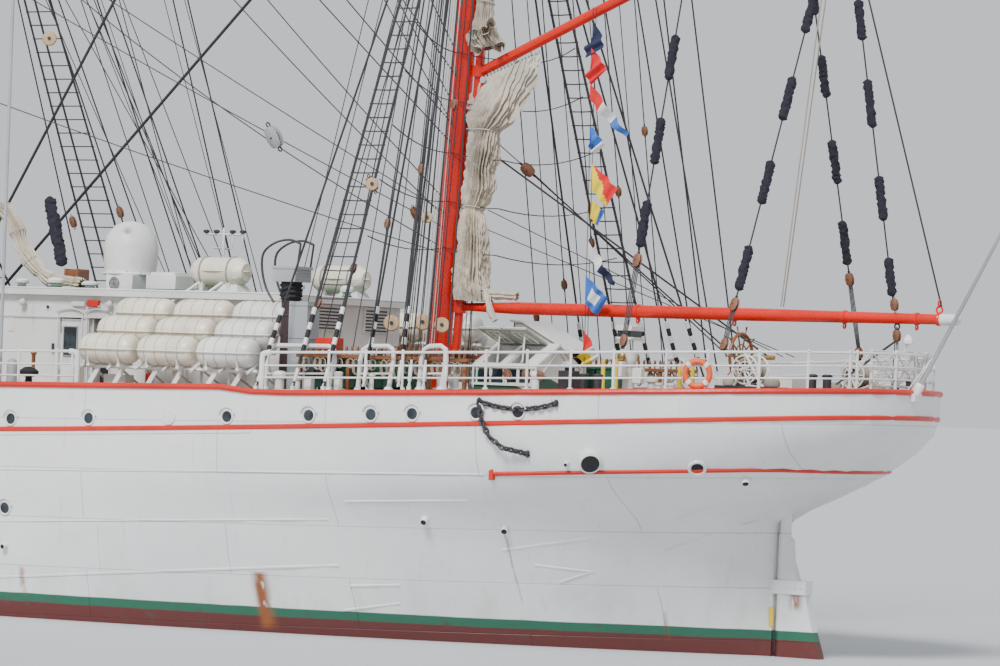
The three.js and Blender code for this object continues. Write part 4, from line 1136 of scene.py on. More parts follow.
def make_companion():
    """White hood over the stairs on the starboard side, with its dark doorway facing aft: a black panel behind
    the steps is painted shade of the stairwell.
    """
    hood, door, rim = Shape(), Shape(), Shape()
    y0, y1, x0, x1 = -4.15, -2.75, -41.45, -39.9
    z = deck(-40.7)
    for y in (y0, y1 - 0.06):
        outline = [
            (x0, z - 0.02), (x0, z + 1.34), (x0 + 0.25, z + 1.52),
            (x1 - 0.3, z + 2.02), (x1, z + 2.05), (x1, z - 0.02),
        ]
        near = [Vector((x, y, h)) for x, h in outline]
        far = [Vector((x, y + 0.06, h)) for x, h in outline]
        hood.skin([near, far])
    roof = [(x0 - 0.12, z + 1.32), (x0 + 0.2, z + 1.55), (x1 - 0.32, z + 2.07), (x1 + 0.08, z + 2.09)]
    under = [(x, h - 0.06) for x, h in reversed(roof)]
    hood.skin([[Vector((x, y, h)) for x, h in roof + under] for y in (y0 - 0.08, y1 + 0.08)])
    hood.brick((x1 - 0.06, y0, z - 0.02), (x1, y1, z + 2.02))
    for y in (y0 + 0.03, y1 - 0.19):
        hood.brick((x0, y, z), (x0 + 0.06, y + 0.16, z + 1.34))
    # Painted shade: black panel behind the steps stands for the dark stairwell.
    door.brick((x0 + 0.12, y0 + 0.1, z), (x0 + 0.16, y1 - 0.1, z + 1.36))
    for i in range(5):
        rim.brick((x0 + 0.02, y0 + 0.2, z + 0.14 + 0.24 * i), (x0 + 0.12, y1 - 0.2, z + 0.18 + 0.24 * i))
    for dx in (0.35, 0.8, 1.25):
        hood.brick((x0 + dx, y1, z + 0.1), (x0 + dx + 0.05, y1 + 0.03, z + 1.36 + dx * 0.3))
    hood.make("companion_hood", HOUSE, "house_white", bevel=0.015)
    door.make("companion_doorway_shade", RUBBER_AND_SHADE, "dark_steel")
    rim.make("companion_steps", WOOD, "spar_red")


BINNACLE_STAND = [
    (0.30, -0.02), (0.27, 0.06), (0.15, 0.12), (0.13, 0.7), (0.2, 0.8), (0.23, 0.92), (0.23, 1.1),
]
COMPENSATOR = [(0.02, -0.1), (0.10, -0.06), (0.12, 0), (0.10, 0.06), (0.02, 0.1)]


def make_steering_gear():
    """Binnacle under its hood, wheel, and the box over the rudder head."""
    white, dark, wood, metal = Shape(), Shape(), Shape(), Shape()
    x = -45.5
    z = deck(x)
    white.lathe(BINNACLE_STAND, (x, 0.5, z), UP, 16)
    for dy in (-0.18, 0.18):
        white.tube([(x, 0.5 + dy, z + 0.9), (x, 0.5 + dy, z + 1.45)], 0.03, 6)
    white.brick((x - 0.22, 0.2, z + 1.42), (x + 0.22, 0.8, z + 1.5))
    white.brick((x - 0.25, 0.17, z + 1.66), (x + 0.25, 0.83, z + 1.8))
    dark.brick((x - 0.2, 0.21, z + 1.5), (x + 0.2, 0.79, z + 1.66))
    white.brick((x - 0.15, 0.85, z + 0.45), (x + 0.15, 1.1, z + 0.85))
    white.brick((x - 0.65, 0.75, z + 0.3), (x - 0.38, 0.95, z + 0.7))
    for dy in (-0.36, 0.36):
        metal.lathe(COMPENSATOR, (x, 0.5 + dy, z + 0.98), (0, 1, 0), 12)
    wheel_x = -48.45
    base = deck(wheel_x)
    centre = Vector((wheel_x - 0.12, 0, base + 0.98))
    wood.ring(centre, (1, 0, 0), 0.60, 0.045, 32, 0, 8)
    wood.ring(centre, (1, 0, 0), 0.32, 0.02, 24, 0, 6)
    for i in range(10):
        a = 2 * math.pi * i / 10
        out = Vector((0, math.cos(a), math.sin(a)))
        spoke = [centre + out * reach for reach in (0.1, 0.60, 0.68, 0.82)]
        wood.tube(spoke, [0.028, 0.022, 0.018, 0.03], 6)
    metal.lathe([(0.05, -0.07), (0.13, -0.05), (0.13, 0.05), (0.05, 0.07)], centre, (1, 0, 0), 16)
    metal.tube([(wheel_x - 0.15, 0, base + 0.98), (wheel_x - 1.1, 0, base + 0.98)], 0.06, 8)
    white.brick((wheel_x - 0.75, -0.16, base - 0.02), (wheel_x - 0.35, 0.16, base + 0.92))
    white.brick((wheel_x - 1.9, -0.5, base - 0.02), (wheel_x - 0.75, 0.5, base + 0.5))
    wood.brick((wheel_x + 0.42, -0.9, base - 0.02), (wheel_x + 1.15, 0.9, base + 0.09))
    white.make("binnacle", WHITE, "house_white", bevel=0.015)
    dark.make("binnacle_window", GLASS, "dark_steel")
    wood.make("steering_wheel", WOOD, "spar_red", bevel=0.012)
    metal.make("wheel_and_compass_metal", BRONZE, "propeller_bronze")


def make_reels():
    """Rope reel on both quarters."""
    white, rope, dark = Shape(), Shape(), Shape()
    hank = [(0.05, 0), (0.20, 0.02), (0.22, 0.1), (0.18, 0.2), (0.1, 0.22)]
    across = (0, 1, 0)
    for side in SIDES:
        x, y = -50.45, side * 2.9
        z = deck(x)
        axle = Vector((x, y, z + 0.55))
        dark.brick((x - 0.85, y - 0.5, z - 0.02), (x + 0.75, y + 0.5, z + 0.14))
        for dy in (-0.30, 0.30):
            hub = axle + Vector((0, dy, 0))
            white.ring(hub, across, 0.36, 0.025, 24, 0, 6)
            white.ring(hub, across, 0.20, 0.02, 20, 0, 6)
            for a in around(8):
                white.tube([hub, axle + Vector((0.36 * math.cos(a), dy, 0.36 * math.sin(a)))], 0.016, 5)
        for i in range(7):
            middle = axle + Vector((0, -0.24 + 0.08 * i, 0))
            rope.ring(middle, across, 0.27 + 0.02 * (i % 2), 0.045, 20, 0, 6)
        for dy in (-0.40, 0.40):
            leg = [(x - 0.25, y + dy, z + 0.1), (x, y + dy, z + 0.57), (x + 0.25, y + dy, z + 0.1)]
            white.tube(leg, 0.035, 6)
        white.tube([axle - Vector((0, 0.5, 0)), axle + Vector((0, 0.5, 0))], 0.045, 8)
        white.tube([(x - 0.6, y + side * 0.45, z + 0.1), (x - 0.05, y + side * 0.45, z + 1.0)], 0.03, 6)
        for dx in (-0.62, 0.55):
            rope.lathe(hank, (x + dx, y, z + 0.13), UP, 16)
    white.make("poop_reels", WHITE, "house_white")
    rope.make("reel_ropes", ROPE, "sail_canvas")
    dark.make("reel_beds", DARK, "dark_steel", bevel=0.015)


def make_lifebuoys():
    rings, bands, ropes = Shape(), Shape(), Shape()
    line = rail_line()
    spots = []
    for side in SIDES:
        for x in (-49.87, -23.5, -10.2, 2.9):
            near = min(line, key=lambda p: abs(p.x - x) + (0 if p.y * side > 0 else 50))
            i = line.index(near)
            along = (line[min(i + 1, len(line) - 1)] - line[max(i - 1, 0)]).normalized()
            point = near + along * ((x - near.x) / along.x)
            out = Vector((0, 0, 1)).cross(along).normalized()
            out = out if out.y * side > 0 else -out
            spots.append((point + out * 0.12 + UP * 0.42, out))
    for at, out in spots:
        rings.ring(at, out, 0.31, 0.075, 28, 0, 10)
        for i in range(4):
            a = math.pi / 4 + math.pi / 2 * i
            side_way = out.cross(UP).normalized()
            direction = side_way * math.cos(a) + UP * math.sin(a)
            across = out.cross(direction).normalized()
            bands.lathe([(0.082, -0.05), (0.084, 0), (0.082, 0.05)], at + direction * 0.31, across, 12)
        loop = []
        for a in around(32, True):
            reach = 0.41 + 0.035 * math.cos(4 * a + math.pi)
            loop.append(at + out.cross(UP) * (reach * math.cos(a)) + UP * (reach * math.sin(a)))
        ropes.tube(loop, 0.012, 4)
    rings.make("lifebuoys", ORANGE, "spar_red", smooth=60)
    bands.make("lifebuoy_bands", WHITE, "house_white")
    ropes.make("lifebuoy_lines", PALE_ROPE, "sail_canvas")


def make_stern_gear():
    """Folded gangway inside the taffrail, with its lamp, and the flagstaff."""
    truss, lamp, pole = Shape(), Shape(), Shape()
    spots = ((-53.22, 1.7, 0), (-53.36, 0.6, 0), (-53.34, -0.5, 0), (-53.1, -1.6, 0))
    line = [Vector(spot) for spot in spots]
    bars = ((0.15, 1.02), (1.02, 0.15), (0.15, 0.15), (1.02, 1.02), (0.58, 0.58), (0.15, 0.58), (0.58, 1.02))
    z = deck(-53.3)
    for a, b in zip(line, line[1:]):
        for h0, h1 in bars:
            truss.tube([a + UP * (z + h0), b + UP * (z + h1)], 0.03, 6)
    for post in line:
        truss.tube([post + UP * (z - 0.02), post + UP * (z + 1.08)], 0.04, 6)
        truss.tube([post + UP * (z + 0.15), post + Vector((0.42, 0, z + 0.02))], 0.03, 6)
        truss.tube([post + UP * (z + 1.02), post + Vector((0.38, 0, z + 0.5))], 0.025, 6)
    truss.tube([(-53.3, 0.1, z + 1.0), (-53.42, 0.1, z + 1.28)], 0.025, 6)
    lantern = [(0.05, 0), (0.13, 0.03), (0.13, 0.14), (0.09, 0.19), (0.1, 0.2), (0.02, 0.27)]
    lamp.lathe(lantern, (-53.42, 0.1, z + 1.22), UP, 12)
    foot, head = Vector((-53.76, 0.25, 6.86)), Vector((-56.0, 0.25, 11.0))
    lean = (head - foot).normalized()
    pole.tube([foot + (head - foot) * (i / 8) for i in range(9)], [0.065 - 0.003 * i for i in range(9)], 10)
    pole.lathe([(0.02, 0), (0.08, 0.03), (0.09, 0.07), (0.02, 0.12)], head, lean, 12)
    lamp.lathe([(0.12, -0.1), (0.12, 0.25), (0.08, 0.3)], foot, lean, 12)
    lamp.brick((-53.84, 0.05, 6.66), (-53.5, 0.45, 6.86))
    for side in SIDES:
        on_staff = foot + lean * 1.05 + Vector((0.05, side * 0.03, 0))
        truss.tube([(-53.55, 0.25 + side * 0.12, 6.9), on_staff], 0.02, 5)
    truss.make("stern_gangway", WHITE, "house_white")
    lamp.make("stern_lamp_and_socket", WHITE, "house_white", bevel=0.01)
    pole.make("flagstaff", STEEL, "dark_steel")


def node_end(node):
    """Middle of the aftmost face of a spar at rest."""
    mesh = NODES[node].data
    low = min(v.co.x for v in mesh.vertices)
    tip = [v.co / S for v in mesh.vertices if v.co.x < low + 0.004]
    return sum(tip, Vector()) / len(tip)


BOOM_END = node_end("spanker_boom")
BOOM_CAP = [(0.136, 0), (0.150, 0.04), (0.150, 0.40), (0.138, 0.49), (0.10, 0.55), (0.04, 0.58)]


def make_boom_end():
    """Painted end, shackles and collars of the boom."""
    white, red = Shape(), Shape()
    root = mast_point("jigger", 8.8, -0.52)
    start = BOOM_END + (root - BOOM_END).normalized() * 0.50
    along = (BOOM_END - start).normalized()
    white.lathe(BOOM_CAP, start, along, 20)
    red.lathe([(0.140, -0.09), (0.165, -0.07), (0.165, 0.0), (0.140, 0.03)], start, along, 20)
    red.ring(start - along * 0.03 + UP * 0.24, (0, 1, 0), 0.085, 0.028, 12)
    red.ring(start - along * 0.03 + UP * 0.41, (1, 0, 0), 0.075, 0.024, 12)
    for reach in (1.15, 3.2, 6.4, 9.3):
        at = BOOM_END.lerp(root, reach / (root - BOOM_END).length)
        girth = 0.136 + 0.034 * min(1, reach / 6)
        collar = [(girth * 0.9, -0.05), (girth + 0.02, -0.04), (girth + 0.02, 0.04), (girth * 0.9, 0.05)]
        red.lathe(collar, at, along, 20)
        red.ring(at - UP * (girth + 0.07), (1, 0, 0), 0.065, 0.024, 12)
    white.make("boom_end_cap", WHITE, "house_white", "spanker_boom")
    red.make("boom_collars", RED, "spar_red", "spanker_boom")


# Skylight on the poop: gable frames, props under the lids, glass in the lids.
SKY_RIDGE = 1.33
SKY_EAVE = 0.76


def make_skylight_frames():
    white, glass = Shape(), Shape()
    x0, x1, half = SKYLIGHT
    z = deck((x0 + x1) / 2)
    for side in SIDES:
        for x in (x0 - 0.02, x0 + 0.88, x1 + 0.02):
            gable = [(x, side * half, z + 0.24), (x, side * half, z + SKY_EAVE), (x, 0.0, z + SKY_RIDGE)]
            white.tube(gable, 0.035, 4)
            white.tube([(x, side * half, z + 0.3), (x, 0.0, z + SKY_RIDGE - 0.1)], 0.03, 4)
        white.tube([(x0, side * (half + 0.02), z + 0.72), (x1, side * (half + 0.02), z + 0.72)], 0.035, 4)
        white.tube([(x0, side * (half + 0.02), z + 0.26), (x1, side * (half + 0.02), z + 0.26)], 0.045, 4)
        for i in range(5):
            at = x0 + 0.1 + i * (x1 - x0 - 0.2) / 4
            y = side * (half + 0.015)
            white.tube([(at, y, z + 0.28), (at, y, z + 0.70)], 0.022, 4)
        for i in range(4):
            a = x0 + 0.1 + i * (x1 - x0 - 0.2) / 4
            b = a + (x1 - x0 - 0.2) / 4
            y = side * (half + 0.012)
            glass.brick((a + 0.05, y - 0.006, z + 0.32), (b - 0.05, y + 0.006, z + 0.66))
    white.tube([(x0 - 0.04, 0, z + SKY_RIDGE + 0.015), (x1 + 0.04, 0, z + SKY_RIDGE + 0.015)], 0.045, 6)
    white.make("skylight_frames", WHITE, "house_white")
    glass.make("skylight_side_glass", GLASS, "dark_steel")
    for node in LIDS:
        lid_frame(node)


LID_INSET = 0.17
LID_LENGTH = 1.16


def lid_frame(node):
    """Frame, glass and prop on a lid, laid on the solid's own planes."""
    mesh = NODES[node].data
    corners = [v.co / S for v in mesh.vertices]
    hinge_z = deck(-42.1) + 1.334
    side = 1 if sum(c.y for c in corners) > 0 else -1
    x0, x1 = min(c.x for c in corners), max(c.x for c in corners)
    far = max(corners, key=lambda c: abs(c.y))
    near = Vector((0, side * 0.06, hinge_z))
    slope = Vector((0, far.y - near.y, far.z - near.z)).normalized()
    over = Vector((0, -slope.z * side, abs(slope.y)))
    length = LID_LENGTH
    frame_bars, panes = Shape(), Shape()
    # Under the lid the bars stay inside the coaming that it closes on.
    for level, inset in ((0.058, 0.04), (-0.012, LID_INSET)):
        for x in (x0 + inset, (x0 + x1) / 2, x1 - inset):
            a = Vector((x, near.y, near.z)) + slope * inset + over * level
            frame_bars.tube([a, a + slope * (length + 0.02 - 2 * inset)], 0.028, 4)
        for reach in (inset, length * 0.52, length - inset + 0.04):
            a = Vector((x0 + inset, near.y, near.z)) + slope * reach + over * level
            frame_bars.tube([a, a + Vector((x1 - x0 - 2 * inset, 0, 0))], 0.028, 4)
    wide = Vector(((x1 - x0) / 2 - 0.1, 0, 0))
    tall = slope * (length * 0.46 - 0.05)
    thin = over * 0.008
    for share in (0.06, 0.54):
        for x in (x0 + 0.07, (x0 + x1) / 2 + 0.03):
            a = Vector((x, near.y, near.z)) + slope * (length * share + 0.03) + over * 0.05
            pane = [a + wide * i + tall * j + thin * k for i in (0, 1) for j in (0, 1) for k in (0, 1)]
            panes.add(pane, BOX_FACES)
    if node.startswith("port"):
        x = (x0 + x1) / 2 - 0.2
        top = Vector((x, near.y, near.z)) + slope * 0.95 - over * 0.02
        frame_bars.tube([top, Vector((x, side * 1.05, deck(x) + 0.84))], 0.026, 5)
    frame_bars.make(node.replace("_lid", "_lid_frame"), WHITE, "house_white", node)
    panes.make(node.replace("_lid", "_lid_glass"), PALE_GREEN, "dark_steel", node)


# Liferaft canisters: half shells with a seam, ribs and straps.
RAFT_X = (-36.75, -34.82, -32.89)
RAFT_ROWS = ((6.2, 7.25), (5.42, 7.75), (4.64, 8.25))
RAFT_R = 0.40
RAFT_HALF = 0.86
ROOF_RAFTS = ((-33.6, 2.3, 9.48), (-34.45, -2.3, 9.48))


def canister(shell, strap, x, y, z, mark):
    """Lies along X; the upper shell is a little fuller and overlaps at the seam."""
    rings = []
    profile = []
    for i in range(33):
        share = i / 32
        at = -RAFT_HALF + 2 * RAFT_HALF * share
        edge = min(share, 1 - share) * 2 * RAFT_HALF
        body = RAFT_R * min(1, math.sqrt(max(0.0, 1 - (1 - min(1, edge / 0.3)) ** 2.2)) * 0.42 + 0.58)
        rib = 0.018 * abs(math.sin(share * math.pi * 6)) ** 0.6 if 0.12 < share < 0.88 else 0
        profile.append((at, body + rib - 0.012))
    for at, radius in profile:
        ring = []
        for a in around(24):
            lift = 0.018 if 0 < a < math.pi else 0
            out, up = (radius + lift * 0.5) * math.cos(a), (radius * 0.98 + lift) * math.sin(a)
            ring.append(Vector((x + at, y + out, z + up)))
        rings.append(ring)
    shell.skin(rings, mark)
    seam = [(at, radius + 0.03) for at, radius in profile[::2]]
    path = [Vector((x + at, y + reach, z)) for at, reach in seam]
    path += [Vector((x + at, y - reach, z)) for at, reach in reversed(seam)]
    path.append(path[0])
    shell.tube(path, 0.026, 5, mark)
    for share in (-0.62, -0.22, 0.22, 0.62):
        ring = []
        for a in around(24, True):
            out, up = (RAFT_R + 0.014) * math.cos(a), (RAFT_R + 0.016) * math.sin(a)
            ring.append(Vector((x + RAFT_HALF * share, y + out, z + up)))
        strap.tube(ring, 0.016, 4)
    plug = (x - RAFT_HALF * 0.8, y + RAFT_R * 0.72, z + RAFT_R * 0.45)
    strap.lathe([(0.045, 0), (0.04, 0.03), (0.01, 0.035)], plug, (0, 0.8, 0.6), 8)


def make_rafts():
    for side, name in ((1, "port"), (-1, "starboard")):
        shell, strap, strut = Shape(), Shape(), Shape()
        for column, x in enumerate(RAFT_X):
            for y, z in RAFT_ROWS:
                canister(shell, strap, x, side * y, z, 1 if column == 0 else 0)
                for dx in (-0.5, 0.5):
                    at, out = x + dx, side * y
                    strut.brick((at - 0.05, out - 0.30, z - 0.46), (at + 0.05, out + 0.30, z - 0.38))
                    for dy in (-0.30, 0.30):
                        strut.tube([(at, out + dy * 0.9, z - 0.44), (at, out + dy * 1.1, z - 0.22)], 0.025, 5)
        low = RAFT_ROWS[0][1] - 0.44
        far = RAFT_ROWS[2][1] - 0.44
        x_aft, x_fore = RAFT_X[0] - RAFT_HALF - 0.08, RAFT_X[2] + RAFT_HALF + 0.08
        for y, z in RAFT_ROWS:
            strut.tube([(x_aft, side * y, z - 0.46), (x_fore, side * y, z - 0.46)], 0.05, 6)
        for i in range(7):
            x = x_aft + 0.15 + i * (x_fore - x_aft - 0.3) / 6
            strut.tube([(x, side * 6.45, low - 0.08), (x, side * 4.5, far)], 0.04, 6)
            strut.tube([(x, side * 4.7, deck(x) - 0.02), (x, side * 4.7, far - 0.1)], 0.045, 6)
            strut.tube([(x, side * 6.0, low), (x, side * 4.8, deck(x) + 0.02)], 0.035, 6)
        for x in RAFT_X:
            for dx in (-0.45, -0.37, 0.37, 0.45):
                leg = [(x + dx, side * 6.64, deck(x) - 0.03), (x + dx, side * 6.12, low - 0.02)]
                strut.tube(leg, 0.036, 6)
        piece = shell.make(name + "_raft_canisters", [CREAM, SHELL_WHITE], "raft_cream", smooth=50)
        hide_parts(name + "_liferafts")
        strap.make(name + "_raft_straps", PALE_ROPE, "raft_cream")
        strut.make(name + "_raft_racks", WHITE, "house_white")


def make_roof_rafts():
    """Seams, straps and supports of the two canisters on the aft deckhouse."""
    shell, strap, strut = Shape(), Shape(), Shape()
    for x, y, z in ROOF_RAFTS:
        side = 1 if y > 0 else -1
        for dx in (0.5, -0.25):
            strut.tube([(x + dx + 0.62, side * 3.0, 8.60), (x + dx, y + side * 0.22, z - 0.28)], 0.05, 6)
        base = []
        for level, spread in ((8.86, 1.0), (9.14, 0.62)):
            corners = ((-1, -1), (1, -1), (1, 1), (-1, 1))
            base.append([(x - 0.42 + 0.45 * spread * a, y + 0.36 * spread * b, level) for a, b in corners])
        strut.skin(base)
        for dx in (-0.5, 0.42):
            strut.tube([(x + dx, y - side * 0.3, 8.86), (x + dx, y - side * 0.2, z - 0.34)], 0.045, 6)
            strut.tube([(x + dx, y + side * 0.35, 8.86), (x + dx, y + side * 0.2, z - 0.34)], 0.04, 6)
        for share in (-0.45, 0.45):
            girth = RAFT_R + 0.025
            loop = [(x + share, y + girth * math.cos(a), z + girth * math.sin(a)) for a in around(24, True)]
            strap.tube(loop, 0.018, 5)
        rim = [(x + 0.9 * math.cos(a), y + 0.425 * math.sin(a), z + 0.02) for a in around(28, True)]
        shell.tube(rim, 0.024, 5)
    shell.make("roof_canister_seams", CREAM, "raft_cream")
    strap.make("roof_canister_straps", GREY, "dark_steel")
    strut.make("roof_canister_braces", WHITE, "house_white")


# Aft deckhouse: doors, windows, lamps, pipes and the gear on its roof.
HOUSE_Y = AFT_HOUSE[2]
LAMP_SHADE = [(0.03, 0.02), (0.11, -0.03), (0.09, -0.12), (0.03, -0.15)]


def round_window(frames, panes, at, out, radius=0.17):
    frames.ring(at + out * 0.012, out, radius, 0.03, 18)
    panes.lathe([(radius, -0.01), (radius, 0.014)], at, out, 16)


def make_house_details():
    white, glass, red, dark = Shape(), Shape(), Shape(), Shape()
    for side in SIDES:
        y = side * HOUSE_Y
        out = Vector((0, side, 0))
        white.brick((-29.98, y - 0.02, 8.42), (-29.54, y + side * 0.10, 8.45))
        red.brick((-29.95, min(y, y + side * 0.12), 8.42), (-29.56, max(y, y + side * 0.12), 8.60))
        white.brick((-29.48, min(y, y + side * 0.10), 8.43), (-29.02, max(y, y + side * 0.10), 8.56))
        for x, z in ((-27.34, 8.5), (-30.36, 8.5), (-33.2, 8.5), (-24.6, 8.5)):
            white.tube([(x, y, z + 0.05), (x, y + side * 0.14, z + 0.08)], 0.035, 6)
            white.lathe(LAMP_SHADE, (x, y + side * 0.15, z + 0.06), UP, 10)
        white.ring((-28.15, y + side * 0.01, 8.38), out, 0.07, 0.02, 12)
        dark.lathe([(0.065, -0.01), (0.065, 0.02)], (-28.15, y, 8.38), out, 10)
        white.tube([(-36.0, y + side * 0.05, 8.12), (-22.1, y + side * 0.05, 8.12)], 0.02, 5)
        for x in (-35.2, -33.0, -31.2, -26.4, -24.2, -22.8):
            white.tube([(x, y + side * 0.05, deck(x)), (x, y + side * 0.05, 8.70)], 0.022, 5)
        for x in (-26.3, -24.9, -23.4):
            round_window(white, glass, Vector((x, y, 7.75)), out, 0.2)
        for x in (-28.95, -29.95):
            lintel = []
            for a in (0, 0.6, 1.2, 1.57, 1.9, 2.5, 3.14):
                lintel.append((x + 0.46 * math.cos(a), y + side * 0.06, 8.24 + 0.12 * math.sin(a)))
            white.tube(lintel, 0.025, 5)
            jamb = y + side * 0.02
            for dx in (-0.42, 0.42):
                white.tube([(x + dx, jamb, deck(x) + 0.16), (x + dx, jamb, 8.2)], 0.028, 5)
            white.brick((x - 0.4, y - 0.03, deck(x)), (x + 0.4, y + side * 0.09 + 0.02, deck(x) + 0.15))
        white.brick((-26.98, y - 0.01, 7.68), (-26.76, y + side * 0.015 + 0.005, 8.06))
        dark.brick((-28.42, min(y, y + side * 0.06), 7.12), (-28.36, max(y, y + side * 0.06), 7.38))
        inner, outer = sorted((y, y + side * 0.3))
        for x in (-35.7, -31.9):
            white.brick((x, inner, deck(x)), (x + 0.75, outer, deck(x) + 0.8))
    for y0, y1 in ((0.05, 1.35), (-2.2, -1.0)):
        white.brick((-36.14, y0, 7.98), (-36.08, y1, 8.70))
        for i in range(7):
            dark.brick((-36.16, y0 + 0.08, 8.04 + 0.09 * i), (-36.12, y1 - 0.08, 8.08 + 0.09 * i))
    for y in (1.9, -1.9, 0.7):
        round_window(white, glass, Vector((-36.1, y, 7.45)), Vector((-1, 0, 0)), 0.2)
    white.make("aft_house_fittings", HOUSE, "house_white", bevel=0.008)
    glass.make("aft_house_glass", GLASS, "dark_steel")
    red.make("aft_house_red_lamps", TRIM, "spar_red", bevel=0.015)
    dark.make("aft_house_louvres", DARK, "dark_steel")
    make_door_panes()


# Middle of each door along the ship, and its side.
DOOR_SPOTS = {
    "port_aft_door": (-28.95, 1),
    "starboard_aft_door": (-28.95, -1),
    "port_bridge_door": (-6.5, 1),
    "starboard_bridge_door": (-6.5, -1),
}
# Strips round a door's pane, as corners from the middle of the sill.
PANE_FRAME = (
    ((-0.25, 0.75), (0.25, 0.78)),
    ((-0.25, 1.56), (0.25, 1.59)),
    ((-0.25, 0.78), (-0.22, 1.56)),
    ((0.22, 0.78), (0.25, 1.56)),
)


def make_door_panes():
    for node, (x, side) in DOOR_SPOTS.items():
        low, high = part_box(node)
        y = (high.y if side > 0 else low.y) / S
        pane, metal = Shape(), Shape()
        z = deck(x) + 0.16
        near, far = sorted((y - side * 0.004, y + side * 0.012))
        pane.brick((x - 0.22, near, z + 0.78), (x + 0.22, far, z + 1.56))
        near, far = sorted((y - side * 0.004, y + side * 0.022))
        for a, b in PANE_FRAME:
            metal.brick((x + a[0], near, z + a[1]), (x + b[0], far, z + b[1]))
        handle = [(y, 0.9), (y + side * 0.05, 0.9), (y + side * 0.05, 0.72)]
        metal.tube([(x - 0.28, out, z + up) for out, up in handle], 0.014, 5)
        for h in (0.3, 1.5):
            out = y + side * 0.012
            metal.tube([(x + 0.33, out, z + h - 0.09), (x + 0.33, out, z + h + 0.09)], 0.02, 6)
        pane.make(node + "_pane", GLASS, "dark_steel", node)
        metal.make(node + "_fittings", STEEL, "house_white", node)
    low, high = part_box("port_open_door")
    metal = Shape()
    metal.ring((high.x / S, (low.y + high.y) / 2 / S, 7.6), (1, 0, 0), 0.16, 0.022, 14)
    metal.make("port_open_door_ring", STEEL, "house_white", "port_open_door")


LOW_COWL = [
    (0.20, -0.02), (0.20, 0.08), (0.10, 0.14), (0.09, 0.26),
    (0.26, 0.30), (0.27, 0.42), (0.14, 0.52), (0.03, 0.54),
]
POST_TOP = [(0.05, 0.5), (0.055, 0.86), (0.09, 0.90), (0.08, 0.98), (0.03, 1.0)]
CYLINDER = [(0.15, -0.02), (0.15, 0.62), (0.11, 0.70), (0.05, 0.74)]
HYDRANT = [(0.09, -0.02), (0.09, 0.42), (0.06, 0.50), (0.02, 0.55)]


def make_side_deck_gear():
    """Lockers, a vent and a pump along the aft deckhouse, and the doorway's dark inside, a near-black box that
    is painted shade.
    """
    white, dark, wood, orange, grey = Shape(), Shape(), Shape(), Shape(), Shape()
    for side in SIDES:
        y = side * 5.6
        floor = deck(-31)
        for x in (-30.82, -31.18):
            white.tube([(x, y, floor - 0.02), (x, y, floor + 1.0)], 0.035, 6)
        for height in (0.5, 1.0):
            white.tube([(-30.82, y, floor + height), (-31.18, y, floor + height)], 0.035, 6)
        white.brick((-31.42, y - 0.25, floor - 0.01), (-30.98, y + 0.25, floor + 0.62))
        white.brick((-33.12, y - 0.2, floor - 0.01), (-32.4, y + 0.2, floor + 0.42))
        dark.lathe(LOW_COWL, (-29.72, y, floor), UP, 18)
        wood.lathe(POST_TOP, (-29.86, y, floor), UP, 10)
        grey.lathe(CYLINDER, (-28.82, side * 5.2, floor), UP, 16)
        orange.lathe(HYDRANT, (-33.3, side * 5.0, floor), UP, 12)
        orange.tube([(-33.3, side * 5.0, floor + 0.5), (-33.3, side * 5.0, floor + 0.64)], 0.02, 6)
    # Painted shade: a near-black box in the open doorway stands for the room lying in shade.
    dark.brick((-30.32, 2.32, deck(-30) + 0.17), (-29.58, 2.38, 8.1))
    dark.brick((-30.36, 2.34, deck(-30) + 0.17), (-30.31, 2.72, 8.1))
    dark.brick((-29.59, 2.34, deck(-30) + 0.17), (-29.54, 2.72, 8.1))
    white.make("side_deck_lockers", WHITE, "house_white", bevel=0.012)
    dark.make("side_deck_dark_gear", RUBBER_AND_SHADE, "dark_steel")
    wood.make("side_deck_post_tops", WOOD, "spar_red")
    orange.make("side_deck_hydrants", TRIM, "spar_red")
    grey.make("side_deck_cylinders", GREY, "dark_steel")


ROOF_TOP = 8.885
FAN = Vector((-30.31, 2.72, 9.09))
# Boxes on the roof: ends along the ship, ends across it, top.
ROOF_BOXES = (
    (-32.30, -31.30, 1.75, 2.60, 9.43),
    (-28.7, -28.2, -2.2, -1.4, 9.2),
    (-24.4, -23.4, 0.6, 1.6, 9.3),
)
# Vents on the roof: station, distance from the middle line, height, radius.
ROOF_VENTS = (
    (-26.76, 2.3, 0.30, 0.20),
    (-27.92, 2.25, 0.34, 0.26),
    (-29.19, 2.35, 0.26, 0.24),
    (-35.4, 1.2, 0.4, 0.2),
)
DOME_BASE = [(0.64, 0), (0.70, 0.03), (0.76, 0.04), (0.78, 0.07), (0.76, 0.11), (0.6, 0.12)]


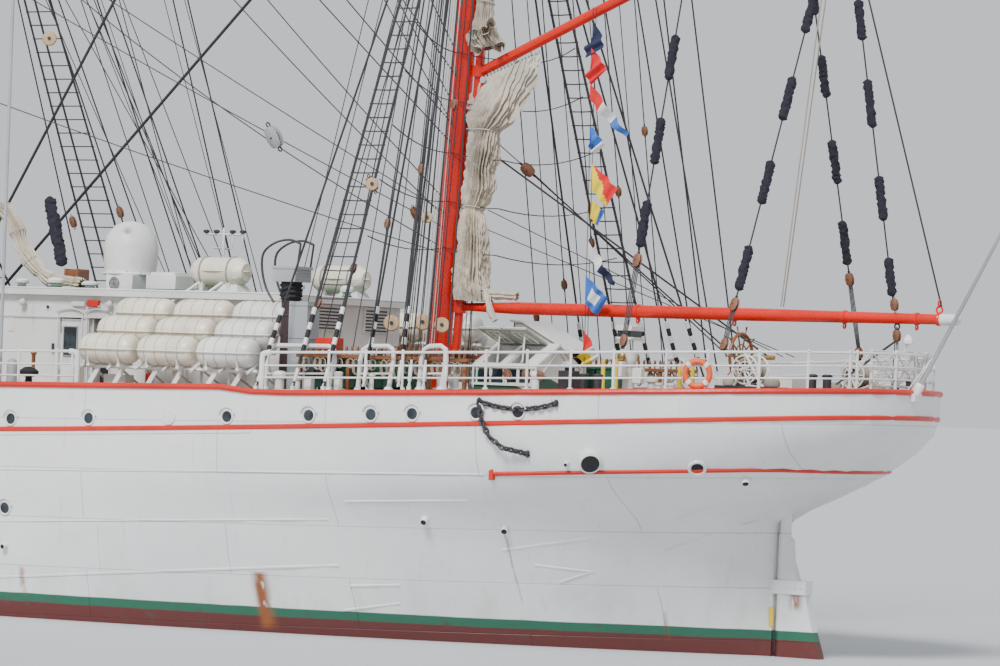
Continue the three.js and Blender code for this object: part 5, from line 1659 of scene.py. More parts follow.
def make_roof_gear():
    white, grey, dark, wood, green = Shape(), Shape(), Shape(), Shape(), Shape()
    white.brick((-30.92, 1.75, ROOF_TOP - 0.01), (-30.02, 2.72, 9.34))
    dark.lathe([(0.185, -0.005), (0.18, 0.01)], FAN, (0, 1, 0), 20)
    for radius in (0.045, 0.09, 0.135, 0.18):
        white.ring(FAN + Vector((0, 0.015, 0)), (0, 1, 0), radius, 0.009, 20, 0, 4)
    white.lathe(DOME_BASE, (-30.3, 2.0, 9.30), UP, 32)
    for a in range(12):
        out = Vector((math.cos(a * math.pi / 6), math.sin(a * math.pi / 6), 0))
        grey.lathe([(0.02, 0), (0.02, 0.03)], Vector((-30.3, 2.0, 9.41)) + out * 0.75, UP, 6)
    for x0, x1, y0, y1, top in ROOF_BOXES:
        white.brick((x0, y0, ROOF_TOP + 0.08), (x1, y1, top - 0.08))
        white.brick((x0 + 0.1, y0 + 0.08, top - 0.08), (x1 - 0.1, y1 - 0.08, top))
        green.brick((x0 + 0.15, y0 + 0.15, ROOF_TOP - 0.01), (x1 - 0.15, y1 - 0.15, ROOF_TOP + 0.09))
    for side in SIDES:
        for x, y, height, radius in ROOF_VENTS:
            at = (x, side * y, ROOF_TOP)
            cap = [
                (radius * 0.6, -0.01), (radius * 0.58, height * 0.5), (radius, height * 0.55),
                (radius, height * 0.8), (radius * 0.6, height),
            ]
            white.lathe(cap, at, UP, 16)
            green.lathe([(radius * 0.75, -0.01), (radius * 0.72, height * 0.3)], at, UP, 16)
    wood.brick((-27.15, -0.25, ROOF_TOP + 0.1), (-26.65, 0.25, 9.50))
    for x in (-27.1, -26.7):
        wood.brick((x - 0.04, -0.29, ROOF_TOP - 0.01), (x + 0.04, 0.29, 9.54))
    white.tube([(-32.0, 0, ROOF_TOP - 0.02), (-32.0, 0, 10.78)], 0.04, 6)
    white.tube([(-32.65, 0, 10.6), (-31.4, 0, 10.6)], 0.03, 6)
    white.tube([(-31.95, -0.4, 10.2), (-31.95, 0.4, 10.2)], 0.025, 6)
    for x in (-32.65, -32.3, -31.75, -31.4):
        dark.lathe([(0.02, 0), (0.09, 0.03), (0.09, 0.09), (0.02, 0.11)], (x, 0, 10.62), UP, 10)
        white.tube([(x, 0, 10.2 if x < -32 else 10.6), (x, 0, 10.66)], 0.02, 5)
    for side in SIDES:
        edge = [(-36.25, side * 3.02, ROOF_TOP + 0.02), (-21.85, side * 3.02, ROOF_TOP + 0.02)]
        white.tube(edge, 0.035, 6)
    white.tube([(-36.27, -3.02, ROOF_TOP + 0.02), (-36.27, 3.02, ROOF_TOP + 0.02)], 0.035, 6)
    white.make("roof_boxes_and_vents", WHITE, "house_white", bevel=0.02)
    grey.make("dome_bolts", GREY, "dark_steel")
    dark.make("roof_dark_fittings", DARK, "dark_steel")
    wood.make("roof_locker", WOOD, "spar_red", bevel=0.015)
    green.make("roof_green_bases", GREEN, "dark_steel")


COLUMN = (-38.0, 5.25)


def make_exhaust_gear():
    """Crumpled sleeve round the column head, hoops over it, the cabinet's seams and the box's grilles."""
    x0, y0 = COLUMN
    sleeve, hoops, grey = Shape(), Shape(), Shape()
    rng = random.Random(11)
    rings = []
    for level in range(13):
        z = 8.70 + 0.47 * level / 12
        ring = []
        for a in around(22):
            r = 0.275 + 0.035 * math.sin(level * 1.9 + 2.3 * math.sin(a * 2)) + 0.02 * rng.random()
            ring.append(Vector((x0 + r * math.cos(a), y0 + r * math.sin(a), z)))
        rings.append(ring)
    sleeve.skin(rings)
    for dy in (-0.30, 0.30):
        y = y0 + dy
        arc = [
            (x0 + 0.33, y, 8.62), (x0 + 0.6, y, 9.0), (x0 + 0.75, y, 9.5), (x0 + 0.71, y, 9.92),
            (x0 + 0.35, y, 10.18), (x0 - 0.1, y, 10.26), (x0 - 0.45, y, 10.16),
        ]
        hoops.tube(smooth_path(arc, 4), 0.032, 6)
        hoops.tube([(x0 - 0.45, y, 10.16), (x0 - 0.37, y, 9.55)], 0.028, 6)
    for z in (8.30, 7.35, 6.75):
        hoops.ring((x0, y0, z), UP, 0.262, 0.018, 18, 0, 5)
    for i in range(4):
        grey.brick((x0 - 0.38, y0 - 0.32, 9.24 + 0.08 * i), (x0 + 0.38, y0 + 0.32, 9.27 + 0.08 * i))
    grey.brick((x0 - 0.41, y0 - 0.38, 9.50), (x0 + 0.41, y0 + 0.38, 9.575))
    for z in (6.8, 7.7, 8.55):
        grey.brick((x0 - 0.75, y0 - 0.30, z), (x0 - 0.73, y0 + 0.30, z + 0.03))
        grey.brick((x0 - 0.73, y0 + 0.28, z), (x0 - 0.17, y0 + 0.30, z + 0.03))
    sleeve.make("column_sleeve", RUBBER_AND_SHADE, "dark_steel", smooth=60)
    hoops.make("column_hoops", DARK, "dark_steel")
    grey.make("column_box_louvres", GREY, "dark_steel", bevel=0.006)


def smooth_path(points, each=4):
    """Curve through the points."""
    points = [Vector(point) for point in points]
    out = []
    for i in range(len(points) - 1):
        p0, p1 = points[max(i - 1, 0)], points[i]
        p2, p3 = points[i + 1], points[min(i + 2, len(points) - 1)]
        for k in range(each):
            t = k / each
            out.append(0.5 * (2 * p1 + (p2 - p0) * t + (2 * p0 - 5 * p1 + 4 * p2 - p3) * t * t
                              + (3 * p1 - p0 - 3 * p2 + p3) * t * t * t))
    out.append(points[-1])
    return out


# Standing rigging. Feet are stations on the rail, heads are heights on the mast.
ROPE_STANDING = 0.030
ROPE_LADDER = 0.038
JIGGER_LADDERS = {1: (-39.15, -40.05), -1: (-41.45, -42.45)}
JIGGER_SINGLES = {1: (-38.05, -41.2, -42.2), -1: (-40.1, -43.5, -44.3)}
JIGGER_HEAD = 24.8
JIGGER_BACKSTAYS = ((-41.2, 31.0), (-42.2, 35.5), (-42.5, 43.2), (-42.9, 37.1), (-43.5, 46.6))
STARBOARD_SHIFT = -1.8
SLEEVE_LOW = 0.98
SLEEVE_PIECE = 0.21
RATLINE_STEP = 0.37


def rail_foot(x, side):
    return Vector((x, side * (half_beam(x) - 0.05), sheer(x) + 0.03))


def shroud_foot(mast, dx, side):
    return rail_foot(MAST_X[mast] + dx * SPREAD[mast], side)


def mast_side(mast, z, side, out=0.30):
    return mast_point(mast, z, 0.0, side * out)


def at_height(a, b, z):
    return a.lerp(b, (z - a.z) / (b.z - a.z))


def rigging_screw(shape, foot, toward, length=0.75):
    """Bottle screw and shackles between a rope's foot and the rail."""
    along = (toward - foot).normalized()
    shape.tube([foot, foot + along * length], 0.028, 5)
    shape.lathe([(0.03, 0), (0.05, 0.03), (0.05, 0.38), (0.03, 0.41)], foot + along * 0.18, along, 8)
    shape.ring(foot + along * 0.08, (1, 0, 0), 0.05, 0.018, 10, 0, 5)
    shape.brick(foot - Vector((0.05, 0.03, 0.12)), foot + Vector((0.05, 0.03, 0.06)))


def banded_sleeve(black, white, foot, head):
    """Black and white pieces in turn on the foot of a shroud."""
    along = (head - foot).normalized()
    profile = [(0.03, 0), (0.062, 0.012), (0.062, SLEEVE_PIECE - 0.012), (0.03, SLEEVE_PIECE)]
    at = foot + along * SLEEVE_LOW
    for i in range(6):
        shape = white if i % 2 else black
        shape.lathe(profile, at, along, 8)
        at = at + along * SLEEVE_PIECE


def ladder(shape, ropes, low, high, step=RATLINE_STEP, radius=0.024):
    """Ratlines across ropes given as (foot, head)."""
    count = int((high - low) / step)
    for i in range(count + 1):
        z = low + step * i
        points = [at_height(foot, head, z) for foot, head in ropes]
        ends = (points[1] - points[0]).normalized() * 0.05
        points[0] = points[0] - ends
        points[-1] = points[-1] + ends
        if len(points) == 2:
            points.insert(1, (points[0] + points[1]) / 2 - UP * 0.012)
        shape.tube(points, radius, 4)


def make_jigger_rigging():
    wire, screws, black, white, rungs = Shape(), Shape(), Shape(), Shape(), Shape()
    for side in SIDES:
        shift = 0 if side > 0 else STARBOARD_SHIFT
        spread = mast_side("jigger", JIGGER_HEAD, side)
        ropes = []
        for x, ahead in zip(JIGGER_LADDERS[side], (0.16, -0.16)):
            ropes.append((rail_foot(x, side), spread + Vector((ahead, 0, 0))))
        ladder(rungs, ropes, 8.75, 24.2)
        for foot, head in ropes:
            wire.tube([foot, head], ROPE_LADDER, 6)
        singles = [(rail_foot(x, side), spread) for x in JIGGER_SINGLES[side]]
        for foot, head in singles:
            wire.tube([foot, head], ROPE_STANDING, 5)
        stays = []
        for x, z in JIGGER_BACKSTAYS:
            stays.append((rail_foot(x + shift, side), mast_side("jigger", z, side, 0.22)))
        for foot, head in stays:
            wire.tube([foot, head], ROPE_STANDING * 0.8, 5)
        for foot, head in ropes + singles + stays:
            rigging_screw(screws, foot, head)
        for foot, head in ropes + singles:
            banded_sleeve(black, white, foot, head)
        upper = []
        for dx in (0.1, 0.7):
            foot = mast_side("jigger", 25.2, side, 0.5) - Vector((dx, 0, 0))
            upper.append((foot, mast_side("jigger", 35.4, side, 0.2)))
        ladder(rungs, upper, 25.6, 34.8)
        for foot, head in upper:
            wire.tube([foot, head], 0.028, 5)
    wire.make("jigger_shrouds", WIRE, "stay_wire")
    screws.make("jigger_rigging_screws", WHITE, "house_white")
    black.make("shroud_sleeves_black", RUBBER_AND_SHADE, "stay_wire")
    white.make("shroud_sleeves_white", WHITE, "house_white")
    rungs.make("jigger_ratlines", WIRE, "stay_wire")


# Square-rigged masts: foot behind the mast and height of the head.
LOWER_SHROUDS = (-1.0, -2.0, -3.0, -4.0, -5.0, -6.0)
LADDER_STAYS = ((-8.5, 38.0), (-9.1, 38.0), (-10.0, 38.0))
BACKSTAYS = (
    (-7.8, 40.3), (-10.6, 36.4), (-11.2, 36.4), (-12.3, 40.3), (-13.1, 40.3), (-13.6, 55.6), (-14.3, 55.6),
)
SPREAD = {"fore": 1.0, "main": 0.52, "mizzen": 1.0}
DEADEYE = [(0.02, -0.06), (0.09, -0.04), (0.10, 0), (0.09, 0.04), (0.02, 0.06)]


def make_square_rigging():
    for mast in SQUARE_MASTS:
        wire, screws, rungs, wood = Shape(), Shape(), Shape(), Shape()
        for side in SIDES:
            lower = []
            for dx in LOWER_SHROUDS:
                head = mast_side(mast, 21.9, side, 0.36) + Vector((dx * 0.04, 0, 0))
                lower.append((shroud_foot(mast, dx, side), head))
            ladder(rungs, lower, 8.2 if mast != "fore" else 8.9, 21.3, 0.40)
            tall = []
            for dx, z in LADDER_STAYS:
                head = mast_side(mast, z, side, 0.3) + Vector((dx * 0.03, 0, 0))
                tall.append((shroud_foot(mast, dx, side), head))
            ladder(rungs, tall, 8.6, 37.0, 0.40)
            others = []
            for dx, z in BACKSTAYS:
                others.append((shroud_foot(mast, dx, side), mast_side(mast, z, side, 0.2)))
            for foot, head in lower + tall:
                wire.tube([foot, head], ROPE_LADDER * 0.9, 5)
            for foot, head in others:
                wire.tube([foot, head], ROPE_STANDING * 0.8, 5)
            for foot, head in lower + tall + others:
                rigging_screw(screws, foot, head)
            rim = mast_point(mast, TOP_Z + 0.1, 0, side * 1.68)
            upper_head = mast_side(mast, 35.6, side, 0.3)
            topmast = [(rim + Vector((dx, 0, 0)), upper_head) for dx in (0.35, -0.2, -0.75, -1.3)]
            for foot, head in topmast:
                wire.tube([foot, head], 0.028, 5)
                wood.lathe(DEADEYE, foot + UP * 0.16, (1, 0, 0), 10)
            ladder(rungs, topmast, 23.2, 35.0, 0.42)
            for dx in (0.4, -0.15, -0.7, -1.25):
                wire.tube([rim + Vector((dx, 0, -0.05)), mast_side(mast, 20.6, side, 0.43)], 0.025, 5)
            trees = mast_point(mast, TREES_Z + 0.1, 0, side * 1.25)
            pole_head = mast_point(mast, 47.0, POLE_AHEAD, side * 0.2)
            gallant = [(trees + Vector((dx, 0, 0)), pole_head) for dx in (0.45, -0.1, -0.6)]
            for foot, head in gallant:
                wire.tube([foot, head], 0.022, 5)
            ladder(rungs, gallant, 37.0, 46.4, 0.42)
        wire.make(mast + "_shrouds", WIRE, "stay_wire")
        screws.make(mast + "_rigging_screws", WHITE, "house_white")
        rungs.make(mast + "_ratlines", WIRE, "stay_wire")
        wood.make(mast + "_deadeyes", BLOCK_WOOD, "spar_red")


# Falls of each mast: number on a side, first foot behind the mast and the step between them.
FALLS = {"mizzen": (11, -11.6, 0.30), "main": (9, -2.4, 0.32), "fore": (9, -3.2, 0.5)}


def make_mast_falls():
    """Running ropes that come down from the square-rigged masts to the rail."""
    rope = Shape()
    rng = random.Random(9)
    for mast, (count, first, step) in FALLS.items():
        for side in SIDES:
            for i in range(count):
                reach = first - step * i
                foot = rail_foot(MAST_X[mast] + reach, side) + Vector((0, -side * 0.12, 0.35))
                head = mast_side(mast, 30 + 24 * rng.random(), side, 0.2)
                rope.tube([foot, head], 0.012 + 0.006 * rng.random(), 4)
    rope.make("falls_of_square_masts", WIRE, "stay_wire")


def make_extra_stays():
    """Thin fore-and-aft stays between the masts and out to the bowsprit."""
    wire = Shape()
    pairs = (
        ("jigger", 44.0, "mizzen", 23.0), ("jigger", 48.5, "mizzen", 36.0), ("mizzen", 47.0, "main", 23.0),
        ("mizzen", 54.5, "main", 36.0), ("main", 47.0, "fore", 23.0), ("main", 54.5, "fore", 36.0),
    )
    for a, za, b, zb in pairs:
        wire.tube(sag_path(mast_point(a, za, 0.1), mast_point(b, zb, -0.45), 0.25, 8), 0.024, 5)
    for x, z in ((57.0, 39.0), (59.2, 45.0), (62.6, 53.5)):
        head = mast_point("fore", z, POLE_AHEAD + 0.1)
        wire.tube([head, bowsprit_point(x) + UP * 0.25], 0.03, 5)
    for x in (56.5, 60.5, 63.3):
        for side in SIDES:
            hull, _ = on_hull(49.5, 6.6, side)
            wire.tube([hull, bowsprit_point(x) + Vector((0, side * 0.2, 0))], 0.03, 5)
    for x, z in ((56.5, 3.3), (63.3, 4.4)):
        wire.tube([(53.9 if z > 4 else 53.3, 0, z), bowsprit_point(x) - UP * 0.3], 0.05, 6)
    wire.make("thin_stays", WIRE, "stay_wire")


def bowsprit_point(x):
    return Vector((x, 0, sheer(49.6) + 0.62 + (x - 49.6) * math.tan(math.radians(17))))


# Running rigging round the jigger. Half of a block: places along it, width and thickness there.
CHEEK = ((-1.0, 0.30, 0.6), (-0.75, 0.62, 1.0), (0, 0.80, 1.1), (0.75, 0.62, 1.0), (1.0, 0.30, 0.6))
EIGHT = ((1, 0), (0.7, 0.7), (0, 1), (-0.7, 0.7), (-1, 0), (-0.7, -0.7), (0, -1), (0.7, -0.7))


def block(wood, iron, at, along, size=0.16):
    """Wooden block with its strop; along is the direction of pull."""
    along = Vector(along).normalized()
    side = along.cross(Vector((0.3, 1, 0.1))).normalized()
    over = along.cross(side)
    for k in (-1, 1):
        rings = []
        for reach, wide, thick in CHEEK:
            ring = []
            for a, b in EIGHT:
                ring.append(at + along * (reach * size) + side * (a * wide * size)
                            + over * (k * 0.26 * size + b * thick * size * 0.17))
            rings.append(ring)
        wood.skin(rings)
    iron.lathe([(size * 0.55, -size * 0.1), (size * 0.55, size * 0.1)], at, over, 12)
    iron.lathe([(size * 0.12, -size * 0.46), (size * 0.12, size * 0.46)], at, over, 8)
    iron.ring(at + along * size * 1.2, side, size * 0.22, size * 0.07, 10, 0, 5)
    iron.ring(at - along * size * 1.2, side, size * 0.22, size * 0.07, 10, 0, 5)


def fuzz(shape, a, b, radius=0.115, seed=0):
    """Baggywrinkle: shaggy roll on a rope."""
    rng = random.Random(seed)
    length = (b - a).length
    along = (b - a).normalized()
    side = along.orthogonal().normalized()
    over = along.cross(side)
    levels = max(5, int(length / 0.055))
    rings = []
    for i in range(levels + 1):
        share = i / levels
        edge = min(1, min(share, 1 - share) * 12 + 0.45)
        middle = a + along * (length * share)
        ring = []
        for turn in around(12):
            r = radius * edge * (0.74 + 0.50 * rng.random())
            ring.append(middle + side * (r * math.cos(turn)) + over * (r * math.sin(turn)))
        rings.append(ring)
    shape.skin(rings)


LOWER_PEAK = Vector((-51.05, 0, 19.93))
UPPER_PEAK = Vector((-48.15, 0, 28.43))
# Vangs: name, foot, peak, gaff, length of the tackle, chafing gear from and to.
VANGS = (
    ("port_upper_vang", Vector((-48.04, 5.17, 7.70)), UPPER_PEAK, "upper_gaff", 2.42,
     ((2.65, 3.86), (4.83, 6.05), (7.06, 8.26), (9.3, 10.5))),
    ("starboard_upper_vang", Vector((-49.64, -4.63, 7.70)), UPPER_PEAK, "upper_gaff", 2.33,
     ((2.60, 3.79), (4.78, 5.96), (7.09, 8.23), (9.3, 10.5))),
    ("port_lower_vang", Vector((-50.40, 4.30, 7.70)), LOWER_PEAK, "lower_gaff", 1.40,
     ((1.67, 2.86), (4.00, 5.17), (6.29, 7.48), (8.7, 9.9))),
)


def between(piece):
    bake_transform(piece)


def tackle(rope, foot, head, parts, spread=0.05, radius=0.014):
    along = (head - foot).normalized()
    side = along.cross(UP).normalized()
    for i in range(parts):
        offset = side * (spread * (i - (parts - 1) / 2))
        rope.tube([foot + offset * 0.6, foot.lerp(head, 0.5) + offset, head + offset * 0.8], radius, 4)


def make_vangs():
    for number, (name, foot, peak, body, drop, sleeves) in enumerate(VANGS):
        rope, shag, wood, iron = Shape(), Shape(), Shape(), Shape()
        along = (peak - foot).normalized()
        point = foot + along * drop
        tackle(rope, foot, point, 4)
        rope.tube([point + along * ((peak - point).length * i / 16) for i in range(17)], 0.022, 5)
        for k, (low, high) in enumerate(sleeves):
            fuzz(shag, foot + along * low, foot + along * high, 0.115, 10 * number + k)
        block(wood, iron, point - along * 0.12, along, 0.17)
        block(wood, iron, foot + along * 0.22, along, 0.15)
        parts = (
            (rope, "_rope", WIRE, "stay_wire"),
            (shag, "_chafing_gear", FUZZ, "stay_wire"),
            (wood, "_blocks", BLOCK_WOOD, "spar_red"),
            (iron, "_fittings", DARK, "dark_steel"),
        )
        for shape, part, material, slot in parts:
            between(shape.make(name + part, material, slot, None))


def make_boom_gear():
    """Ropes between the boom and the gaffs, which all swing together."""
    rope, shag, wood, iron, hemp = Shape(), Shape(), Shape(), Shape(), Shape()
    foot = Vector((-52.94, 0, 8.96))
    along = (LOWER_PEAK - foot).normalized()
    rope.tube([foot, LOWER_PEAK], 0.022, 5)
    block(wood, iron, foot + UP * 0.14, along, 0.15)
    for k, (low, high) in enumerate(((0.36, 1.35), (2.30, 3.45), (4.70, 5.95), (6.97, 8.02))):
        fuzz(shag, foot + along * low, foot + along * high, 0.115, 70 + k)
    for dy in (-0.07, 0.07):
        hemp.tube([(-49.72, dy, 8.98), LOWER_PEAK + Vector((0.15, dy * 2, -0.15))], 0.018, 4)
    under = Vector((-53.04, 0, 8.60))
    iron.ring(under - UP * 0.05, (0, 1, 0), 0.07, 0.025, 12)
    block(wood, iron, under - UP * 0.28, (0, 0.1, 1), 0.15)
    for side in SIDES:
        sheet_foot = Vector((-52.2, side * 1.6, deck(-52.2) + 0.2))
        tackle(rope, sheet_foot, under - UP * 0.4, 3)
    parts = (
        (rope, "boom_gear_ropes", WIRE, "stay_wire"),
        (shag, "boom_gear_chafing", FUZZ, "stay_wire"),
        (wood, "boom_gear_blocks", BLOCK_WOOD, "spar_red"),
        (iron, "boom_gear_fittings", DARK, "dark_steel"),
        (hemp, "boom_gear_hemp", ROPE, "spar_red"),
    )
    for shape, name, material, slot in parts:
        shape.make(name, material, slot, "spanker_boom")
    lift = Shape()
    head = mast_point("jigger", 50.0, -0.35)
    end = BOOM_END + Vector((0.47, 0, 0.30))
    lift.tube([end, end.lerp(head, 0.3), end.lerp(head, 0.6), head.lerp(end, 0.05), head], 0.024, 5)
    piece = lift.make("topping_lift", WIRE, "stay_wire", None)
    between(piece)


SAG_LINES = (
    ((-40.28, 3.3, 16.12), (15.6, 0.34), (-41.2, -3.3, 16.0)),
    ((-40.3, 3.75, 14.82), (14.3, 0.34), (-41.27, -3.7, 14.7)),
    ((-40.31, 4.26, 13.36), (12.9, 0.34), (-41.42, -4.2, 13.2)),
    ((-40.33, 4.8, 11.9), (11.6, 0.34), (-41.55, -4.68, 11.71)),
    ((-40.35, 5.28, 10.41), (10.35, 0.34), (-41.69, -5.15, 10.33)),
)


def make_running_rigging():
    rope, pale, wood, iron, disc, grey = Shape(), Shape(), Shape(), Shape(), Shape(), Shape()
    for port, (z, out), starboard in SAG_LINES:
        at = mast_point("jigger", z, -0.1, out)
        rope.tube(sag_path(port, at, 0.18, 8), 0.018, 4)
        behind = mast_point("jigger", z - 0.1, -1.5, 0)
        rope.tube(sag_path(at, behind, 0.05, 4)[:-1] + sag_path(behind, starboard, 0.22, 8), 0.018, 4)
    rng = random.Random(5)
    for side in SIDES:
        for i in range(7):
            foot = mast_point("jigger", 7.0, 0.25 - 0.11 * i, side * (0.62 + 0.03 * i))
            head = mast_point("jigger", 24.4 + 0.5 * i, 0.16 - 0.08 * i, side * 0.38)
            middle = foot.lerp(head, 0.5) + Vector((0.04 * rng.random(), side * 0.06, 0))
            shape = pale if i % 3 else rope
            shape.tube([foot, middle, head], 0.015, 4)
        for i in range(9):
            foot = Vector((-38.9 - 0.5 * i, side * PIN_RAIL_Y, 7.35))
            head = mast_side("jigger", 23.5 + 2.6 * i, side, 0.3)
            rope.tube([foot, head], 0.014 if i % 2 else 0.017, 4)
            if i % 2 == 0:
                at = foot.lerp(head, 0.08 + 0.012 * i)
                block(wood, iron, at, head - foot, 0.13)
        for i in range(8):
            foot = mast_point("jigger", 7.3, 0.6, side * (0.3 + 0.1 * i))
            if i < 3:
                foot = Vector((-37.6 + 0.35 * i, side * 4.2, deck(-37.6) + 0.1))
            head = mast_side("jigger", 27 + 3.1 * i, side, 0.25)
            rope.tube([foot, head], 0.013, 4)
    for start, foot, radius in LEADS:
        rope.tube([start, foot], radius, 4)
    for side in SIDES:
        fife = [mast_point("jigger", 7.45, ahead, side * 0.95) for ahead in (0.75, -0.75)]
        wood.tube(fife, 0.075, 4)
        for top in fife:
            wood.tube([(top.x, top.y, deck(top.x) - 0.02), (top.x, top.y, top.z + 0.15)], 0.09, 4)
        for i in range(9):
            at = mast_point("jigger", 7.45, 0.65 - 0.16 * i, side * 0.95)
            wood.lathe([(0.018, -0.25), (0.022, 0.1), (0.04, 0.18), (0.012, 0.26)], at, UP, 8)
    for at, pull, size in BLOCKS:
        block(wood, iron, Vector(at), pull, size)
    for at, size in DISCS:
        half = [(size, 0.02), (size * 0.9, 0.07), (0.02, 0.09)]
        disc.lathe([(r, -h) for r, h in reversed(half)] + half, at, DISC_FACING, 20)
        iron.lathe([(0.05, -0.11), (0.05, 0.11)], at, DISC_FACING, 8)
    block(grey, iron, Vector((-35.68, 3.0, 13.12)), (0.45, 0.3, 1), 0.30)
    grey.make("grey_block", GREY, "dark_steel")
    disc.make("wooden_discs", DISC_WOOD, "spar_red")
    rope.make("running_ropes", WIRE, "stay_wire")
    pale.make("pale_halyards", PALE_ROPE, "sail_canvas")
    wood.make("wooden_blocks_and_fife_rail", BLOCK_WOOD, "spar_red")
    iron.make("block_sheaves", DARK, "dark_steel")


# Blocks of the running rigging: middle, direction of pull, size.
BLOCKS = (
    ((-38.90, 3.0, 11.88), (0.2, 0.6, 1), 0.20),
    ((-40.29, 3.0, 11.12), (0.1, 0.6, 1), 0.17),
    ((-41.25, -1.0, 12.52), (-0.75, -0.5, -0.75), 0.20),
    ((-44.85, 5.42, 6.95), (0.6, -0.3, 0.6), 0.15),
    ((-45.40, 5.40, 6.95), (0.6, -0.3, 0.6), 0.15),
    ((-45.80, 5.36, 6.95), (0.6, -0.3, 0.6), 0.14),
    ((-30.62, 3.0, 11.04), (0.2, 0.3, 1), 0.15),
    ((-29.01, 3.0, 10.75), (0.2, 0.3, 1), 0.15),
)
# Ropes that lead from the mast down to the starboard quarter: ends and radius.
LEADS = (
    ((-40.4, -0.2, 13.45), (-41.2, -0.95, 12.58), 0.014),
    ((-41.35, -1.08, 12.42), (-45.3, -5.5, 7.75), 0.022),
    ((-41.38, -1.05, 12.44), (-45.1, -5.5, 7.75), 0.018),
    ((-40.5, -0.4, 12.9), (-46.4, -5.45, 7.75), 0.034),
    ((-40.4, -0.4, 11.4), (-46.9, -5.4, 7.75), 0.016),
    ((-40.3, -0.4, 10.9), (-47.3, -5.3, 7.75), 0.016),
)
DISC_FACING = (-0.53, 0.84, 0.05)
DISCS = (
    ((-29.5, 5.0, 15.65), 0.20),
    ((-41.27, 5.4, 8.17), 0.21),
    ((-42.22, 5.4, 8.22), 0.21),
    ((-42.78, 5.35, 8.16), 0.20),
    ((-42.3, 5.5, 10.9), 0.15),
    ((-40.57, 5.5, 11.74), 0.17),
)


# Braces run from the yardarms to the next mast aft.
BRACE_HEIGHTS = {
    "jigger": {"course": 10.2, "lower_topsail": 10.9, "upper_topsail": 11.3, "lower_topgallant": 13.2,
               "upper_topgallant": 13.7, "royal": 15.0},
    "mizzen": {"course": 17.0, "lower_topsail": 20.8, "upper_topsail": 23.2, "lower_topgallant": 33.0,
               "upper_topgallant": 34.5, "royal": 40.0},
}
NEXT_AFT = {"fore": "main", "main": "mizzen", "mizzen": "jigger"}


def make_braces():
    for mast, aft in NEXT_AFT.items():
        heights = BRACE_HEIGHTS["jigger" if aft == "jigger" else "mizzen"]
        for yard, (z, length, _, ahead) in YARDS.items():
            shape = Shape()
            for side in SIDES:
                arm = mast_point(mast, z, ahead, side * length * 0.48)
                end = mast_side(aft, heights[yard], side, 0.33)
                shape.tube(sag_path(end, arm, 0.45, 14), 0.018, 4)
            piece = shape.make(f"{mast}_{yard}_braces", WIRE, "stay_wire", None)
            between(piece)


# Height on the mast at which the lifts of a yard end.
LIFT_HEIGHTS = {
    "course": 24.6, "lower_topsail": 30.5, "upper_topsail": 34.5, "lower_topgallant": 46.0,
    "upper_topgallant": 48.0, "royal": 54.0,
}
ON_POLE = ("lower_topgallant", "upper_topgallant", "royal")


def make_yard_gear():
    """Jackstay, footropes and lifts of each yard, and the sail furled on it."""
    for mast in SQUARE_MASTS:
        for yard, (z, length, radius, ahead) in YARDS.items():
            node = f"{mast}_{yard}_yard"
            gear = Shape()
            half = length / 2
            centre = mast_point(mast, z, ahead)
            for side in SIDES:
                rope = []
                for i in range(9):
                    share = 0.06 + 0.90 * i / 8
                    hang = -radius * 0.6 - 0.62 + 0.35 * (share > 0.95)
                    rope.append(centre + Vector((-0.15, side * half * share, hang)))
                gear.tube(rope, 0.018, 4)
                for i in range(1, 8, 2):
                    top = rope[i] + UP * 0.66
                    gear.tube([rope[i], top], 0.014, 4)
                arm = centre + Vector((0, side * half * 0.95, radius * 0.5))
                pivot = POLE_AHEAD if yard in ON_POLE else 0.0
                gear.tube([arm, mast_point(mast, LIFT_HEIGHTS[yard], pivot, side * 0.16)], 0.018, 4)
                band = centre + Vector((0, side * half * 0.955, 0))
                gear.ring(band, (0, 1, 0), radius * 0.62, 0.03, 12, 0, 5)
            low = radius * 0.95
            jackstay = ((0.02, -half * 0.94, low), (0.02, 0, radius + 0.04), (0.02, half * 0.94, low))
            gear.tube([centre + Vector(point) for point in jackstay], 0.022, 4)
            gear.make(f"{mast}_{yard}_gear", WIRE, "stay_wire", node)
            furled_square_sail(f"{mast}_{yard}_sail", node, centre, half, radius)


FURL_TURNS = 3.6


def furled_square_sail(name, node, centre, half, radius):
    """Spiral of cloth on top of the yard, drawn in at the gaskets."""
    thick = 0.13 + 0.0058 * half * 2
    columns, around = 46, 30
    rows = []
    for i in range(columns + 1):
        share = i / columns
        y = half * 0.90 * (2 * share - 1)
        end = min(1, 0.45 + 8 * min(share, 1 - share))
        gasket = 1 - 0.13 * max(0, math.cos(y * 2 * math.pi / 1.6)) ** 6
        lump = 1 + 0.10 * math.sin(y * 1.9 + half) * math.sin(y * 0.63)
        row = []
        for k in range(around + 1):
            turn = k / around
            angle = -math.pi / 2 + 2 * math.pi * FURL_TURNS * turn
            r = thick * end * gasket * lump * (0.34 + 0.66 * turn)
            r *= 1 + 0.05 * math.sin(3 * angle + y * 2.2)
            height = radius + thick * 0.82 + r * math.sin(angle)
            row.append(centre + Vector((0.06 + r * math.cos(angle), y, height)))
        rows.append(row)
    shape = Shape()
    shape.grid(rows)
    piece = shape.make(name, CANVAS, "sail_canvas", node, smooth=70)


